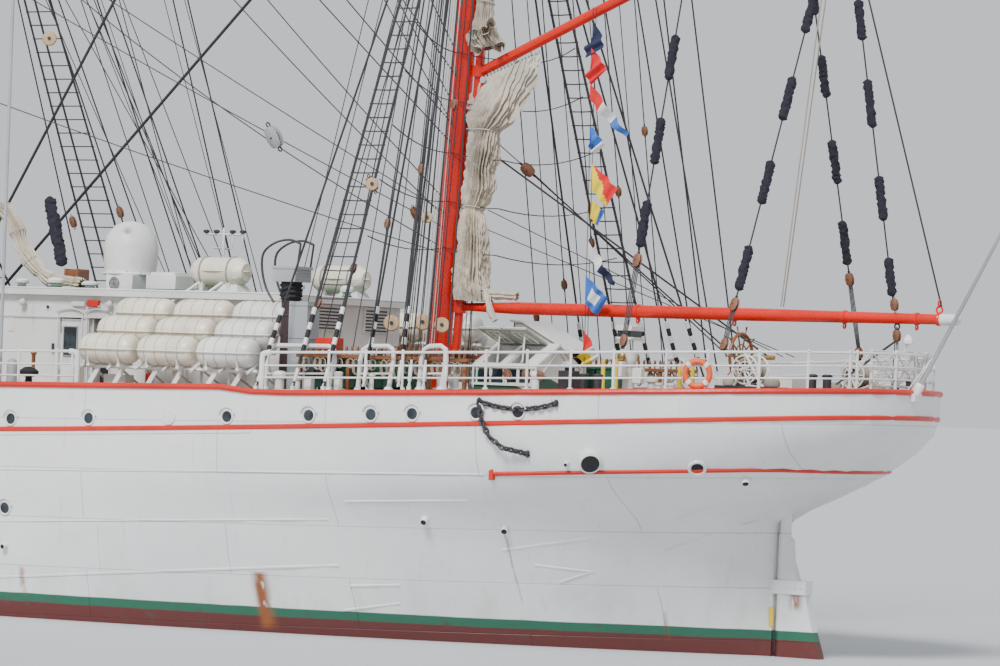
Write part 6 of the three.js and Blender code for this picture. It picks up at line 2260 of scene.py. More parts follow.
# Brailed spankers: cloth gathered behind the pole.
# Row: height on the mast, forward and after edge behind the pole, half width, tilt of the row, fold depth.
LOWER_ROWS = (
    (8.98, -0.16, 0.96, 0.40, 0.0, 0.40),
    (9.25, -0.24, 0.88, 0.43, 0.0, 0.50),
    (9.65, -0.24, 0.78, 0.42, 0.0, 0.52),
    (10.0, -0.22, 0.75, 0.40, 0.0, 0.50),
    (10.55, -0.17, 0.68, 0.38, 0.0, 0.48),
    (11.2, -0.16, 0.55, 0.31, 0.0, 0.42),
    (11.47, -0.14, 0.49, 0.25, 0.0, 0.34),
    (11.68, -0.14, 0.64, 0.32, 0.0, 0.42),
    (12.05, -0.15, 0.79, 0.40, 0.0, 0.50),
    (12.45, -0.15, 0.73, 0.40, 0.0, 0.50),
    (13.0, -0.15, 0.79, 0.39, 0.0, 0.48),
    (13.35, -0.13, 0.80, 0.34, 0.0, 0.42),
    (13.55, -0.12, 0.82, 0.30, 0.0, 0.38),
    (13.82, -0.26, 1.26, 0.36, 0.1, 0.46),
    (14.12, -0.30, 1.58, 0.36, 0.35, 0.46),
    (14.50, -0.34, 1.78, 0.30, 0.65, 0.46),
    (14.92, -0.22, 1.86, 0.20, 0.9, 0.44),
    (15.30, 0.06, 1.90, 0.11, 1.0, 0.40),
)
UPPER_ROWS = (
    (15.78, -0.24, 0.76, 0.30, 0.55, 0.42),
    (15.92, -0.38, 0.66, 0.42, 0.4, 0.50),
    (16.12, -0.46, 0.50, 0.44, 0.2, 0.48),
    (16.34, -0.34, 0.46, 0.36, 0.0, 0.44),
    (16.6, -0.24, 0.30, 0.27, 0.0, 0.34),
    (17.0, -0.20, 0.26, 0.23, 0.0, 0.34),
    (18.2, -0.16, 0.48, 0.32, 0.0, 0.48),
    (19.6, -0.16, 0.52, 0.34, 0.0, 0.50),
    (20.3, -0.14, 0.34, 0.25, 0.0, 0.36),
    (21.2, -0.16, 0.52, 0.34, 0.0, 0.50),
    (22.6, -0.16, 0.50, 0.33, 0.0, 0.48),
    (23.5, -0.14, 0.36, 0.27, 0.2, 0.40),
    (24.0, -0.10, 0.70, 0.24, 0.8, 0.42),
)
GAFF_SLOPE = math.tan(math.radians(23.8))
BUNDLE_BACK = 0.52


def row_at(rows, z):
    for a, b in zip(rows, rows[1:]):
        if z <= b[0]:
            share = smooth_step(a[0], b[0], z) * 0.5 + (z - a[0]) / (b[0] - a[0]) * 0.5
            return [low + (high - low) * share for low, high in zip(a, b)]
    return list(rows[-1])


def brailed(rows, pleats, levels, seed):
    """Open sheet whose folds run down the bundle; its edges meet on the mast side."""
    samples = pleats * 6
    grid = []
    for j in range(levels + 1):
        z = rows[0][0] + (rows[-1][0] - rows[0][0]) * j / levels
        _, fore, aft, wide, tilt, deep = row_at(rows, z)
        middle, reach = (fore + aft) / 2, (aft - fore) / 2
        row = []
        for i in range(samples + 1):
            u = i / samples
            a = 0.10 + (2 * math.pi - 0.20) * u
            drift = 3.2 * noise_at(seed, z * 0.7, 2.2 * math.sin(a)) + 3.0 * noise_at(u * 9, z * 1.1, seed)
            vary = 0.85 + 0.9 * noise_at(u * 13 + 7, z * 0.9, seed + 3)
            fold = 0.95 * deep * vary * (0.5 - 0.5 * math.cos(2 * math.pi * pleats * u + drift)) ** 0.8
            lobe = 1 + 0.22 * noise_at(1.7 * math.cos(a), 1.7 * math.sin(a), z * 1.25 + seed)
            sag = 0.17 * noise_at(u * 22, z * 3.4, seed + 9) + 0.11 * noise_at(u * 46, z * 8.5, seed)
            r = (1 - fold) * lobe + sag
            back = middle - reach * r * math.cos(a)
            height = z + tilt * (back - middle) * GAFF_SLOPE
            row.append(mast_point("jigger", height, -BUNDLE_BACK - back, wide * r * math.sin(a)))
        grid.append(row)
    return grid


def curled_end(shape, at, along, radius, length, seed):
    """Open roll of cloth at the foot of the bundle."""
    along = Vector(along).normalized()
    side = along.orthogonal().normalized()
    over = along.cross(side)
    rows = []
    for j in range(7):
        share = j / 6
        r = radius * (0.45 + 0.55 * share)
        middle = at + along * (length * (share - 1))
        row = []
        for k in range(15):
            a = 2 * math.pi * 0.93 * k / 14 + seed
            wave = 1 + 0.14 * math.sin(3 * a + seed * 2)
            row.append(middle + side * (r * wave * math.cos(a)) + over * (r * wave * math.sin(a)))
        rows.append(row)
    shape.grid(rows)


# Brails round the bundles: height, middle behind the pole, half lengths along and across the ship.
BRAILS = (
    (11.47, 0.17, 0.34, 0.27),
    (13.55, 0.30, 0.50, 0.32),
    (17.0, 0.06, 0.24, 0.24),
    (20.3, 0.30, 0.25, 0.26),
    (23.5, 0.30, 0.26, 0.28),
)


def make_spankers():
    lower = Shape()
    rows = brailed(LOWER_ROWS, 29, 130, 1.0)
    lower.grid(rows)
    piece = lower.make("lower_spanker_cloth", CANVAS, "sail_canvas", None, smooth=75)
    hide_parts("brailed_lower_spanker")
    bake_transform(piece)
    upper = Shape()
    rows = brailed(UPPER_ROWS, 25, 130, 5.0)
    upper.grid(rows)
    for at, along, radius, length, seed in CURLS:
        curled_end(upper, Vector(at), along, radius, length, seed)
    piece = upper.make("upper_spanker_cloth", CANVAS, "sail_canvas", "ship", smooth=75)
    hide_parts("brailed_upper_spanker")
    ties = Shape()
    for z, middle, reach, wide in BRAILS:
        loop = []
        for a in around(24, True):
            back = -BUNDLE_BACK - middle - reach * math.cos(a)
            loop.append(mast_point("jigger", z + 0.05 * math.sin(a), back, wide * math.sin(a)))
        ties.tube(loop, 0.016, 4)
    ties.make("spanker_brails", PALE_ROPE, "sail_canvas")
    hoops = Shape()
    up_mast = mast_point("jigger", 2) - mast_point("jigger", 1)
    for i in range(14):
        z = 10.1 + 1.02 * i
        if 14.2 < z < 16.0 or 23.9 < z:
            continue
        hoops.ring(mast_point("jigger", z, -BUNDLE_BACK), up_mast, 0.13, 0.022, 14, 0, 5)
    hoops.make("spanker_hoops", RED, "spar_red")
    make_boom_tail()
    make_gaff_robands()


# Curled corners of cloth at the foot of the upper bundle: place, direction, radius, length, seed of its folds.
CURLS = (
    ((-40.31, 0.50, 16.07), (-0.35, 0.9, -0.35), 0.14, 0.50, 0.3),
    ((-40.64, 0.46, 16.15), (-0.5, 0.85, -0.2), 0.11, 0.45, 1.4),
    ((-40.80, 0.42, 16.37), (-0.6, 0.8, 0.2), 0.13, 0.48, 2.1),
    ((-41.10, 0.42, 15.69), (-0.5, 0.85, -0.3), 0.16, 0.55, 3.0),
    ((-40.41, 0.46, 15.62), (-0.2, 0.85, -0.5), 0.13, 0.45, 3.8),
    ((-40.10, -0.40, 16.08), (0.2, -1, -0.2), 0.13, 0.42, 4.2),
    ((-40.70, -0.28, 15.88), (-0.5, -0.9, -0.2), 0.13, 0.45, 5.1),
)


FOOT_ALONG = (
    (-40.35, 0.10, 9.30), (-40.75, 0.12, 9.17), (-41.05, 0.08, 9.10), (-41.4, 0.03, 9.10), (-41.7, 0.0, 9.08),
)
FOOT_DOWN = (
    (-40.82, 0.16, 9.16), (-40.90, 0.27, 9.06), (-41.0, 0.32, 8.85),
    (-41.08, 0.32, 8.62), (-41.22, 0.30, 8.40),
)


def make_boom_tail():
    """Foot of the lower sail, laid along the boom and hanging down beside it."""
    shape = Shape()
    along = gathered_roll(smooth_path(FOOT_ALONG, 5), 0.13, 7, 2.0)
    shape.grid(along)
    down = gathered_roll(smooth_path(FOOT_DOWN, 5), 0.10, 5, 4.0)
    shape.grid(down)
    piece = shape.make("spanker_foot_on_boom", CANVAS, "sail_canvas", "spanker_boom", smooth=75)


def make_gaff_robands():
    """Lashings and rings of the head of the lower spanker, and the jaw fittings of the gaff."""
    white, red = Shape(), Shape()
    for i in range(15):
        back = 0.35 + 0.105 * i
        z = 15.26 + (back - 0.9) * GAFF_SLOPE
        at = mast_point("jigger", z + 0.06, -BUNDLE_BACK - back)
        white.ring(at, (1, 0, 0.4), 0.06, 0.015, 10, 0, 4)
    washer = [(0.02, -0.03), (0.09, -0.02), (0.09, 0.02), (0.02, 0.03)]
    for dy in (-0.16, 0.16):
        white.lathe(washer, mast_point("jigger", 14.92, -0.78, dy), (0, 1, 0), 12)
        link = [mast_point("jigger", z, ahead, dy * 0.8) for z, ahead in ((14.9, -0.74), (14.45, -0.7))]
        red.tube(link, 0.035, 6)
    white.make("gaff_lashings", PALE_ROPE, "sail_canvas", "lower_gaff")
    red.make("gaff_jaw_links", RED, "spar_red", "lower_gaff")


# Signal flags on a halyard between the lower gaff and the deck.
HALYARD_TOP = Vector((-43.95, 0.30, 16.74))
HALYARD_FOOT = Vector((-44.20, 0.48, 6.62))


def halyard_at(z):
    return at_height(HALYARD_FOOT, HALYARD_TOP, z)


# Name, upper and lower height of the hoist, fly (along X and down), ripple, pattern.
FLAGS = (
    ("flag_1", 16.42, 15.75, (-0.14, -0.56), 0.05, "navy"),
    ("flag_2", 15.68, 15.0, (-0.24, -0.44), 0.06, "red"),
    ("flag_3", 14.72, 14.30, (-1.05, -1.12), 0.10, "pennant"),
    ("flag_4", 13.60, 13.12, (-0.20, -0.38), 0.06, "blue_cream"),
    ("flag_5", 12.62, 12.02, (-0.72, -0.62), 0.06, "red_yellow"),
    ("flag_6", 11.66, 11.20, (-0.48, -0.26), 0.08, "yellow_blue"),
    ("flag_7", 10.56, 10.18, (-0.95, -0.92), 0.10, "white_navy"),
    ("flag_8", 9.66, 9.06, (-0.52, -0.50), 0.05, "blue_white"),
    ("flag_9", 8.22, 7.60, (-0.18, -0.55), 0.08, "red_white_yellow"),
)
FLAG_INKS = (FLAG_NAVY, FLAG_RED, FLAG_WHITE, FLAG_BLUE, FLAG_YELLOW)


def flag_ink(pattern, u, v):
    """Colour of a flag at a place along the fly and down the hoist."""
    if pattern == "pennant":
        return FLAG_RED if u < 0.36 else FLAG_WHITE if u < 0.6 else FLAG_BLUE
    if pattern == "blue_cream":
        return FLAG_BLUE if u < 0.62 else FLAG_WHITE
    if pattern == "red_yellow":
        return FLAG_RED if u > v else FLAG_YELLOW
    if pattern == "yellow_blue":
        return FLAG_YELLOW if u < 0.66 else FLAG_BLUE
    if pattern == "white_navy":
        return FLAG_WHITE if u < 0.5 else FLAG_NAVY
    if pattern == "blue_white":
        return FLAG_WHITE if 0.25 < u < 0.75 and 0.25 < v < 0.75 else FLAG_BLUE
    if pattern == "red_white_yellow":
        return FLAG_RED if u < 0.4 else FLAG_WHITE if v < 0.4 else FLAG_YELLOW
    return {"navy": FLAG_NAVY, "red": FLAG_RED}[pattern]


def flag_rows(number, top, low, fly, ripple, pattern):
    """Points of one flag, blown out from the halyard and hanging down."""
    folds = 2.2 if abs(fly[0]) < 0.3 else 2.4
    taper = 0.35 if pattern in ("pennant", "white_navy") else 1.0
    middle = halyard_at((top + low) / 2)
    hoist = halyard_at(low) - halyard_at(top)
    square = Vector((-fly[1], 0, fly[0])).normalized() * hoist.length
    rows = []
    for j in range(13):
        v = j / 12
        row = []
        for i in range(19):
            u = i / 18
            edge = middle + hoist.lerp(square, min(0.8, 2 * u)) * ((v - 0.5) * (1 - (1 - taper) * u))
            wave = ripple * math.sin(2 * math.pi * (folds * u + 0.15 * v) + number) * min(1, u * 4)
            drop = -0.10 * ripple * 10 * math.sin(math.pi * u)
            out = wave + 0.06 + 0.10 * math.sin(2.2 * u + number)
            row.append(edge + Vector((fly[0] * u, out, fly[1] * u + drop * u)))
        rows.append(row)
    return rows


def make_flags():
    rope = Shape()
    for dy in (-0.03, 0.04):
        shift = Vector((0.02 * dy / 0.03, dy, 0))
        rope.tube([HALYARD_FOOT.lerp(HALYARD_TOP, i / 20) + shift for i in range(21)], 0.010, 4)
    line = rope.make("flag_halyard", WIRE, "stay_wire", None)
    between(line)
    for number, (name, top, low, fly, ripple, pattern) in enumerate(FLAGS):
        shape = Shape()
        rows = flag_rows(number, top, low, fly, ripple, pattern)
        shape.grid(rows, 0, lambda u, v, pattern=pattern: FLAG_INKS.index(flag_ink(pattern, u, v)))
        if name == "flag_9":
            piece = shape.make(name, list(FLAG_INKS), "sail_canvas", None, smooth=80)
            between(piece)
        else:
            piece = shape.make(name, list(FLAG_INKS), "sail_canvas", "lower_gaff", smooth=80)


# Furled staysails: on the roof under the jigger stays, and along the bowsprit.
ROOF_BUNDLE = (
    (-23.55, 0.22, 10.25), (-24.1, 0.26, 11.15), (-24.45, 0.30, 11.2), (-24.85, 0.32, 10.75),
    (-25.2, 0.34, 10.1), (-25.7, 0.34, 9.55), (-26.3, 0.34, 9.18), (-27.0, 0.36, 9.09), (-27.4, 0.36, 9.06),
)
# Headsails: after end, forward end, radius of the roll.
HEADSAILS = ((51.5, 55.4, 0.24), (56.2, 59.6, 0.22), (60.2, 63.0, 0.17))


def gathered_roll(path, radius, pleats, seed):
    """Open sheet gathered in folds round a path."""
    rows = []
    for j, point in enumerate(path):
        along = (path[min(j + 1, len(path) - 1)] - path[max(j - 1, 0)]).normalized()
        side = along.cross(Vector((0.05, 1, 0.02))).normalized()
        over = side.cross(along).normalized()
        share = j / (len(path) - 1)
        lump = 1 + 0.22 * noise_at(share * 8, seed, 0) - 0.25 * max(0, math.cos(share * 28)) ** 8
        row = []
        for i in range(pleats * 5 + 1):
            u = i / (pleats * 5)
            a = 0.15 + (2 * math.pi - 0.3) * u
            drift = 2 * noise_at(u * 5, share * 6, seed)
            fold = 0.42 * (0.5 - 0.5 * math.cos(2 * math.pi * pleats * u + drift))
            r = radius * lump * (1 - fold)
            row.append(point + side * (r * math.cos(a)) + over * (r * math.sin(a)))
        rows.append(row)
    return rows


def make_staysails():
    shape = Shape()
    path = smooth_path(ROOF_BUNDLE, 6)
    rows = gathered_roll(path, 0.24, 13, 3.0)
    shape.grid(rows)
    piece = shape.make("jigger_staysail_bundle", BEIGE, "sail_canvas", "ship", smooth=70)
    ties = Shape()
    for j in range(4, len(path) - 2, 8):
        along = (path[j + 1] - path[j - 1]).normalized()
        ties.ring(path[j], along, 0.235, 0.014, 18, 0, 4)
    for x0, x1, radius in HEADSAILS:
        roll = []
        for i in range(21):
            over = Vector((0, 0.02 * math.sin(i), 0.43 - 0.012 * (x0 - 50)))
            roll.append(bowsprit_point(x0 + (x1 - x0) * i / 20) + over)
        cloth = Shape()
        rows = gathered_roll(roll, radius, 12, x0)
        cloth.grid(rows)
        name = f"headsail_bundle_{int(x0)}"
        piece = cloth.make(name, CANVAS, "sail_canvas", "ship", smooth=70)
        for i in range(2, 20, 4):
            ties.ring(roll[i], roll[i + 1] - roll[i], radius * 1.02, 0.014, 16, 0, 4)
    ties.make("furling_gaskets", PALE_ROPE, "sail_canvas")
    shag = Shape()
    fuzz(shag, Vector((-30.1, 5.5, 11.3)), Vector((-30.95, 5.9, 9.45)), 0.16, 90)
    shag.make("backstay_chafing_gear", FUZZ, "stay_wire")
    pole = Shape()
    pole.tube([(-29.62, 6.72, sheer(-29.6) + 0.02), (-29.45, 6.6, 18.2)], 0.045, 8)
    pole.make("rail_pole", GREY, "dark_steel")


# Gear of the fore and middle parts, which the photograph doesn't show, by the type of ship.
def belaying_pin(shape, at):
    shape.lathe([(0.018, -0.26), (0.022, 0.06), (0.040, 0.12), (0.034, 0.20), (0.012, 0.25)], at, UP, 7)


def rope_coil(shape, at, out):
    """Hank of rope hung on a pin: three loops beside each other."""
    side = Vector(out).cross(UP).normalized()
    for k in range(3):
        loop = []
        for a in around(14, True):
            across, down = (0.085 + 0.012 * k) * math.sin(a), 0.24 - 0.23 * math.cos(a)
            loop.append(at + side * across - UP * down + Vector(out) * (0.05 + 0.022 * k))
        shape.tube(loop, 0.013, 4)


def pin_spot(x, side, well, poop):
    """Place inside the bulwark, over the sheer by one measure in the well and another outside it."""
    return Vector((x, side * (half_beam(x) - 0.42), sheer(x) + (well if WELL[0] < x < WELL[1] else poop)))


def make_mast_gear():
    """Fife rails round the masts, and pin rails along the sides below the shrouds."""
    wood, pins, coils, iron = Shape(), Shape(), Shape(), Shape()
    for mast in SQUARE_MASTS:
        x0 = MAST_X[mast] + 0.35
        floor = deck(MAST_X[mast])
        for side in SIDES:
            y = side * 1.05
            wood.brick((x0 - 1.15, y - 0.11, floor + 0.88), (x0 + 1.15, y + 0.11, floor + 0.98))
            for dx in (-1.0, 1.0):
                wood.brick((x0 + dx - 0.08, y - 0.08, floor - 0.02), (x0 + dx + 0.08, y + 0.08, floor + 0.88))
            for i in range(10):
                at = Vector((x0 - 1.0 + 0.222 * i, y, floor + 0.96))
                belaying_pin(pins, at)
                if i % 3 != 1:
                    rope_coil(coils, at, (0, side, 0))
            for i in range(14):
                x = MAST_X[mast] - 0.7 - 0.42 * i * SPREAD[mast]
                at = pin_spot(x, side, -0.15, 0.72)
                belaying_pin(pins, at + UP * 0.02)
                if i % 2:
                    rope_coil(coils, at, (0, -side, 0))
            ends = [MAST_X[mast] - 0.4, MAST_X[mast] - 3.5 * SPREAD[mast], MAST_X[mast] - 6.5 * SPREAD[mast]]
            rail = [pin_spot(x, side, -0.17, 0.70) for x in ends]
            wood.tube(rail, 0.075, 4)
            for point in rail:
                iron.tube([point, (point.x, point.y, deck(point.x) - 0.02)], 0.035, 6)
        wood.brick((x0 - 1.3, -1.05, floor + 0.90), (x0 - 1.12, 1.05, floor + 0.98))
        for i in range(7):
            belaying_pin(pins, Vector((x0 - 1.21, -0.78 + 0.26 * i, floor + 0.96)))
    wood.make("fife_and_pin_rails", WOOD, "spar_red", bevel=0.012)
    pins.make("belaying_pins", WOOD, "spar_red")
    coils.make("rope_coils", PALE_ROPE, "sail_canvas")
    iron.make("pin_rail_posts", WHITE, "house_white")


def stair(shape, treads, x0, z0, x1, z1, y, wide=0.8):
    """Ship's ladder between two deck levels, with hand ropes."""
    for dy in (-wide / 2, wide / 2):
        shape.tube([(x0, y + dy, z0), (x1, y + dy, z1)], 0.045, 4)
        shape.tube([(x0, y + dy, z0 + 0.85), (x1, y + dy, z1 + 0.85)], 0.02, 6)
        for x, z in ((x0, z0), (x1, z1)):
            shape.tube([(x, y + dy, z), (x, y + dy, z + 0.85)], 0.022, 6)
    count = int(abs(z0 - z1) / 0.24)
    for i in range(1, count + 1):
        share = i / (count + 1)
        x, z = x0 + (x1 - x0) * share, z0 + (z1 - z0) * share
        treads.brick((x - 0.12, y - wide / 2, z - 0.015), (x + 0.12, y + wide / 2, z + 0.015))


def make_stairs():
    rails, treads = Shape(), Shape()
    for side in SIDES:
        stair(rails, treads, 4.15, sheer(4) + 0.02, 5.25, deck(5.2) + 0.02, side * 2.6)
        stair(rails, treads, 36.85, sheer(37) + 0.02, 35.75, deck(35.8) + 0.02, side * 2.4)
        stair(rails, treads, -8.75, deck(-9) + 2.6, -9.9, deck(-9.9) + 0.02, side * 2.9)
    rails.make("stair_rails", WHITE, "house_white")
    treads.make("stair_treads", WOOD, "spar_red")


def cowl(shape, dark, x, y, height, radius, toward=1):
    """Ventilator with a bent cowl mouth."""
    z = deck(x)
    path, widths = [], []
    for i in range(9):
        a = math.pi / 2 * i / 8
        ahead = toward * radius * 1.3 * (1 - math.cos(a))
        path.append(Vector((x + ahead, y, z + height + radius * 1.3 * math.sin(a))))
        widths.append(radius * (0.62 + 0.42 * (i / 8) ** 2))
    trunk = [(radius * 0.95, -0.02), (radius * 0.9, 0.05), (radius * 0.62, 0.1), (radius * 0.62, height)]
    shape.lathe(trunk, (x, y, z), UP, 14)
    shape.tube(path, widths, 14)
    mouth = path[-1] + Vector((toward * 0.01, 0, 0))
    shape.ring(mouth, (1, 0, 0), radius * 1.04, 0.02, 18, 0, 5)
    # Dark disc in the mouth: painted shade of the cowl's inside.
    dark.lathe([(radius * 0.98, -0.01), (radius * 0.9, 0.012)], mouth, (toward, 0, 0), 16)


# Cowls: station, distance from the middle line, height, radius, way that the mouth looks.
COWLS = (
    (-19.0, 2.0, 1.3, 0.28, 1),
    (-11.8, 1.6, 1.1, 0.25, 1),
    (27.3, 1.6, 1.3, 0.27, 1),
    (39.5, 2.6, 0.9, 0.26, 1),
    (10.9, 1.7, 1.2, 0.25, 1),
    (46.2, 1.9, 0.8, 0.22, -1),
)
MUSHROOMS = ((-20.8, 3.9, 0.6, 0.2), (-12.6, 4.6, 0.5, 0.18), (31.4, 3.4, 0.55, 0.2), (41.2, 3.3, 0.5, 0.18))
BOLLARDS = ((-18.2, 6.2), (-26.5, 6.2), (3.0, 6.2), (-14.0, 6.3), (38.6, 4.9), (45.4, 3.3), (48.6, 1.8))


def make_ventilators():
    white, dark = Shape(), Shape()
    for side in SIDES:
        for x, y, height, radius, toward in COWLS:
            cowl(white, dark, x, side * y, height, radius, toward)
        for x, y, height, radius in MUSHROOMS:
            mushroom(white, x, side * y, height, radius)
        for x, y in BOLLARDS:
            bollards(dark, x, side * y, 0.46, 0.13)
        for x in (17.8, 22.0, 25.5):
            bollards(dark, x, side * 5.9, 0.40, 0.11)
    white.make("ventilators", WHITE, "house_white")
    dark.make("bollards_and_vent_mouth_shade", DARK, "dark_steel", bevel=0.008)


def make_hatch_gear():
    tarp, wood, iron = Shape(), Shape(), Shape()
    for x0, x1, _ in HATCHES:
        floor = deck((x0 + x1) / 2)
        top = floor + 0.75
        rows = []
        for i in range(15):
            x = x0 - 0.03 + (x1 - x0 + 0.06) * i / 14
            row = []
            for j in range(25):
                y = -2.23 + 4.46 * j / 24
                swell = 0.035 * math.sin(math.pi * i / 14) * (0.6 + 0.4 * math.cos(y * 5.2))
                swell += 0.008 * noise_at(x * 3, y * 3, 1)
                row.append(Vector((x, y, top + 0.022 + swell)))
            rows.append(row)
        tarp.grid(rows)
        for y in (-2.24, 2.24):
            wood.brick((x0 - 0.05, y - 0.035, top - 0.28), (x1 + 0.05, y + 0.035, top - 0.18))
            for i in range(6):
                x = x0 + 0.15 + (x1 - x0 - 0.3) * i / 5
                iron.brick((x - 0.04, y - 0.06, top - 0.34), (x + 0.04, y + 0.06, top - 0.16))
        for x in (x0 - 0.04, x1 + 0.04):
            wood.brick((x - 0.035, -2.24, top - 0.28), (x + 0.035, 2.24, top - 0.18))
        for i in range(3):
            y = -1.5 + 1.5 * i
            iron.brick((x0 - 0.07, y - 0.05, top + 0.055), (x1 + 0.07, y + 0.05, top + 0.085))
            for x in (x0 - 0.06, x1 + 0.06):
                iron.brick((x - 0.02, y - 0.05, top - 0.35), (x + 0.02, y + 0.05, top + 0.085))
    cover = tarp.make("hatch_tarpaulins", TARP, "dark_steel", smooth=70)
    wood.make("hatch_battens", WOOD, "spar_red")
    iron.make("hatch_bars", DARK, "dark_steel")


WINDOW_FACES = [(0, 1, 2, 3), (7, 6, 5, 4), (0, 4, 5, 1), (1, 5, 6, 2), (2, 6, 7, 3), (3, 7, 4, 0)]


def framed_window(frames, panes, at, out, wide, tall):
    side = Vector(out).cross(UP).normalized()
    for a, b in (((-1, -1), (1, -1)), ((1, -1), (1, 1)), ((1, 1), (-1, 1)), ((-1, 1), (-1, -1))):
        start = at + side * (a[0] * wide / 2) + UP * (a[1] * tall / 2) + Vector(out) * 0.012
        end = at + side * (b[0] * wide / 2) + UP * (b[1] * tall / 2) + Vector(out) * 0.012
        frames.tube([start, end], 0.028, 4)
    half = side * (wide / 2) + UP * (tall / 2)
    other = side * (wide / 2) - UP * (tall / 2)
    inner = Vector(out) * 0.012
    corners = [at - half, at + other, at + half, at - other]
    panes.add([c + inner for c in corners] + [c - inner for c in corners], WINDOW_FACES)


def roof_rail(shape, x0, x1, half, z):
    """Guard rail of bars and posts round a flat roof."""
    corners = [Vector((x0, -half, z)), Vector((x1, -half, z)), Vector((x1, half, z)), Vector((x0, half, z))]
    for a, b in zip(corners, corners[1:] + corners[:1]):
        count = max(2, round((b - a).length / 1.3))
        for i in range(count):
            foot = a.lerp(b, i / count)
            shape.tube([foot - UP * 0.02, foot + UP * 0.95], 0.024, 6)
        for height in (0.33, 0.64, 0.95):
            shape.tube([a + UP * height, b + UP * height], 0.020 if height < 0.9 else 0.027, 6)


COMPASS_STAND = [
    (0.24, -0.01), (0.2, 0.05), (0.11, 0.1), (0.10, 0.85),
    (0.17, 0.95), (0.19, 1.1), (0.16, 1.2), (0.04, 1.24),
]


def make_bridge_gear():
    frames, panes, white, dark, metal = Shape(), Shape(), Shape(), Shape(), Shape()
    for side in SIDES:
        y = side * BRIDGE_HOUSE[2]
        out = (0, side, 0)
        for x in (-8.0, -5.2, -4.2, -3.2, -2.2, -1.2, -0.2, 0.9):
            framed_window(frames, panes, Vector((x, y, 7.72)), out, 0.52, 0.44)
        for x in (-7.3, -3.7, 0.4):
            white.tube([(x, y, 8.3), (x, y + side * 0.16, 8.32)], 0.03, 6)
            lantern = [(0.04, -0.12), (0.08, -0.1), (0.08, 0.04), (0.04, 0.07)]
            white.lathe(lantern, (x, y + side * 0.16, 8.28), UP, 10)
        for x0, x1 in ((-8.3, -7.05), (-5.95, 1.3)):
            white.tube([(x0, y + side * 0.05, 7.15), (x1, y + side * 0.05, 7.15)], 0.022, 6)
    for x, out in ((BRIDGE_HOUSE[0], -1), (BRIDGE_HOUSE[1], 1)):
        for y in (-3.0, -2.0, -1.0, 0.0, 1.0, 2.0, 3.0):
            framed_window(frames, panes, Vector((x, y, 7.72)), (out, 0, 0), 0.60, 0.50)
    roof = 8.625
    roof_rail(white, -8.7, 1.7, 4.1, roof)
    metal.lathe(COMPASS_STAND, (0.7, 0, roof), UP, 16)
    for y in (-0.27, 0.27):
        ball = [(0.02, -0.09), (0.09, -0.05), (0.09, 0.05), (0.02, 0.09)]
        metal.lathe(ball, (0.7, y, roof + 1.0), (0, 1, 0), 12)
    for side in SIDES:
        searchlight = [(0.14, -0.16), (0.19, -0.10), (0.20, 0.10), (0.15, 0.14)]
        dark.lathe(searchlight, (1.2, side * 3.2, roof + 1.05), (1, 0, 0.1), 16)
        white.tube([(1.2, side * 3.2, roof - 0.02), (1.2, side * 3.2, roof + 0.9)], 0.05, 8)
        white.brick((-7.6, side * 2.4 - 0.5, roof - 0.01), (-6.4, side * 2.4 + 0.5, roof + 0.5))
        for x in (-5.6, -4.9):
            vent = [(0.12, -0.01), (0.12, 0.2), (0.22, 0.24), (0.22, 0.36), (0.1, 0.42)]
            white.lathe(vent, (x, side * 3.3, roof), UP, 14)
        white.tube([(-8.2, side * 1.4, roof - 0.02), (-8.2, side * 1.4, roof + 3.2)], 0.035, 6)
    frames.make("bridge_window_frames", WHITE, "house_white")
    panes.make("bridge_windows", GLASS, "dark_steel")
    white.make("bridge_roof_gear", WHITE, "house_white", bevel=0.015)
    dark.make("bridge_lamps", DARK, "dark_steel")
    metal.make("roof_compass", BRONZE, "propeller_bronze")


def make_fore_house_gear():
    frames, panes, white, dark = Shape(), Shape(), Shape(), Shape()
    for side in SIDES:
        for x in (16.2, 17.7, 19.2, 20.7, 22.2, 23.7, 25.2):
            at = Vector((x, side * FORE_HOUSE[2], deck(x) + 1.15))
            round_window(frames, panes, at, Vector((0, side, 0)), 0.16)
        for x, y in ((15.9, 2.4), (18.4, 2.2), (24.6, 2.3)):
            vent = [(0.13, -0.01), (0.13, 0.3), (0.24, 0.34), (0.24, 0.48), (0.1, 0.55)]
            white.lathe(vent, (x, side * y, FORE_ROOF), UP, 14)
    for x, out in ((FORE_HOUSE[0], -1), (FORE_HOUSE[1], 1)):
        for y in (-2.4, -0.9, 0.9, 2.4):
            round_window(frames, panes, Vector((x, y, deck(x) + 1.2)), Vector((out, 0, 0)), 0.16)
    roof_rail(white, FORE_HOUSE[0], FORE_HOUSE[1], 3.65, FORE_ROOF)
    funnel = [(0.16, -0.01), (0.15, 1.3), (0.2, 1.34), (0.2, 1.5), (0.05, 1.6)]
    dark.lathe(funnel, (25.6, -1.2, FORE_ROOF), UP, 14)
    for x0 in (19.6, 21.4):
        white.brick((x0, -0.75, 7.49), (x0 + 1.3, 0.75, 7.86))
        for side in SIDES:
            for i in range(2):
                at = Vector((x0 + 0.36 + 0.6 * i, side * 0.752, 7.70))
                framed_window(frames, panes, at, (0, side, 0), 0.42, 0.2)
    frames.make("fore_house_frames", WHITE, "house_white")
    panes.make("fore_house_windows", GLASS, "dark_steel")
    white.make("fore_house_roof_gear", WHITE, "house_white", bevel=0.015)
    dark.make("galley_funnel", DARK, "dark_steel")


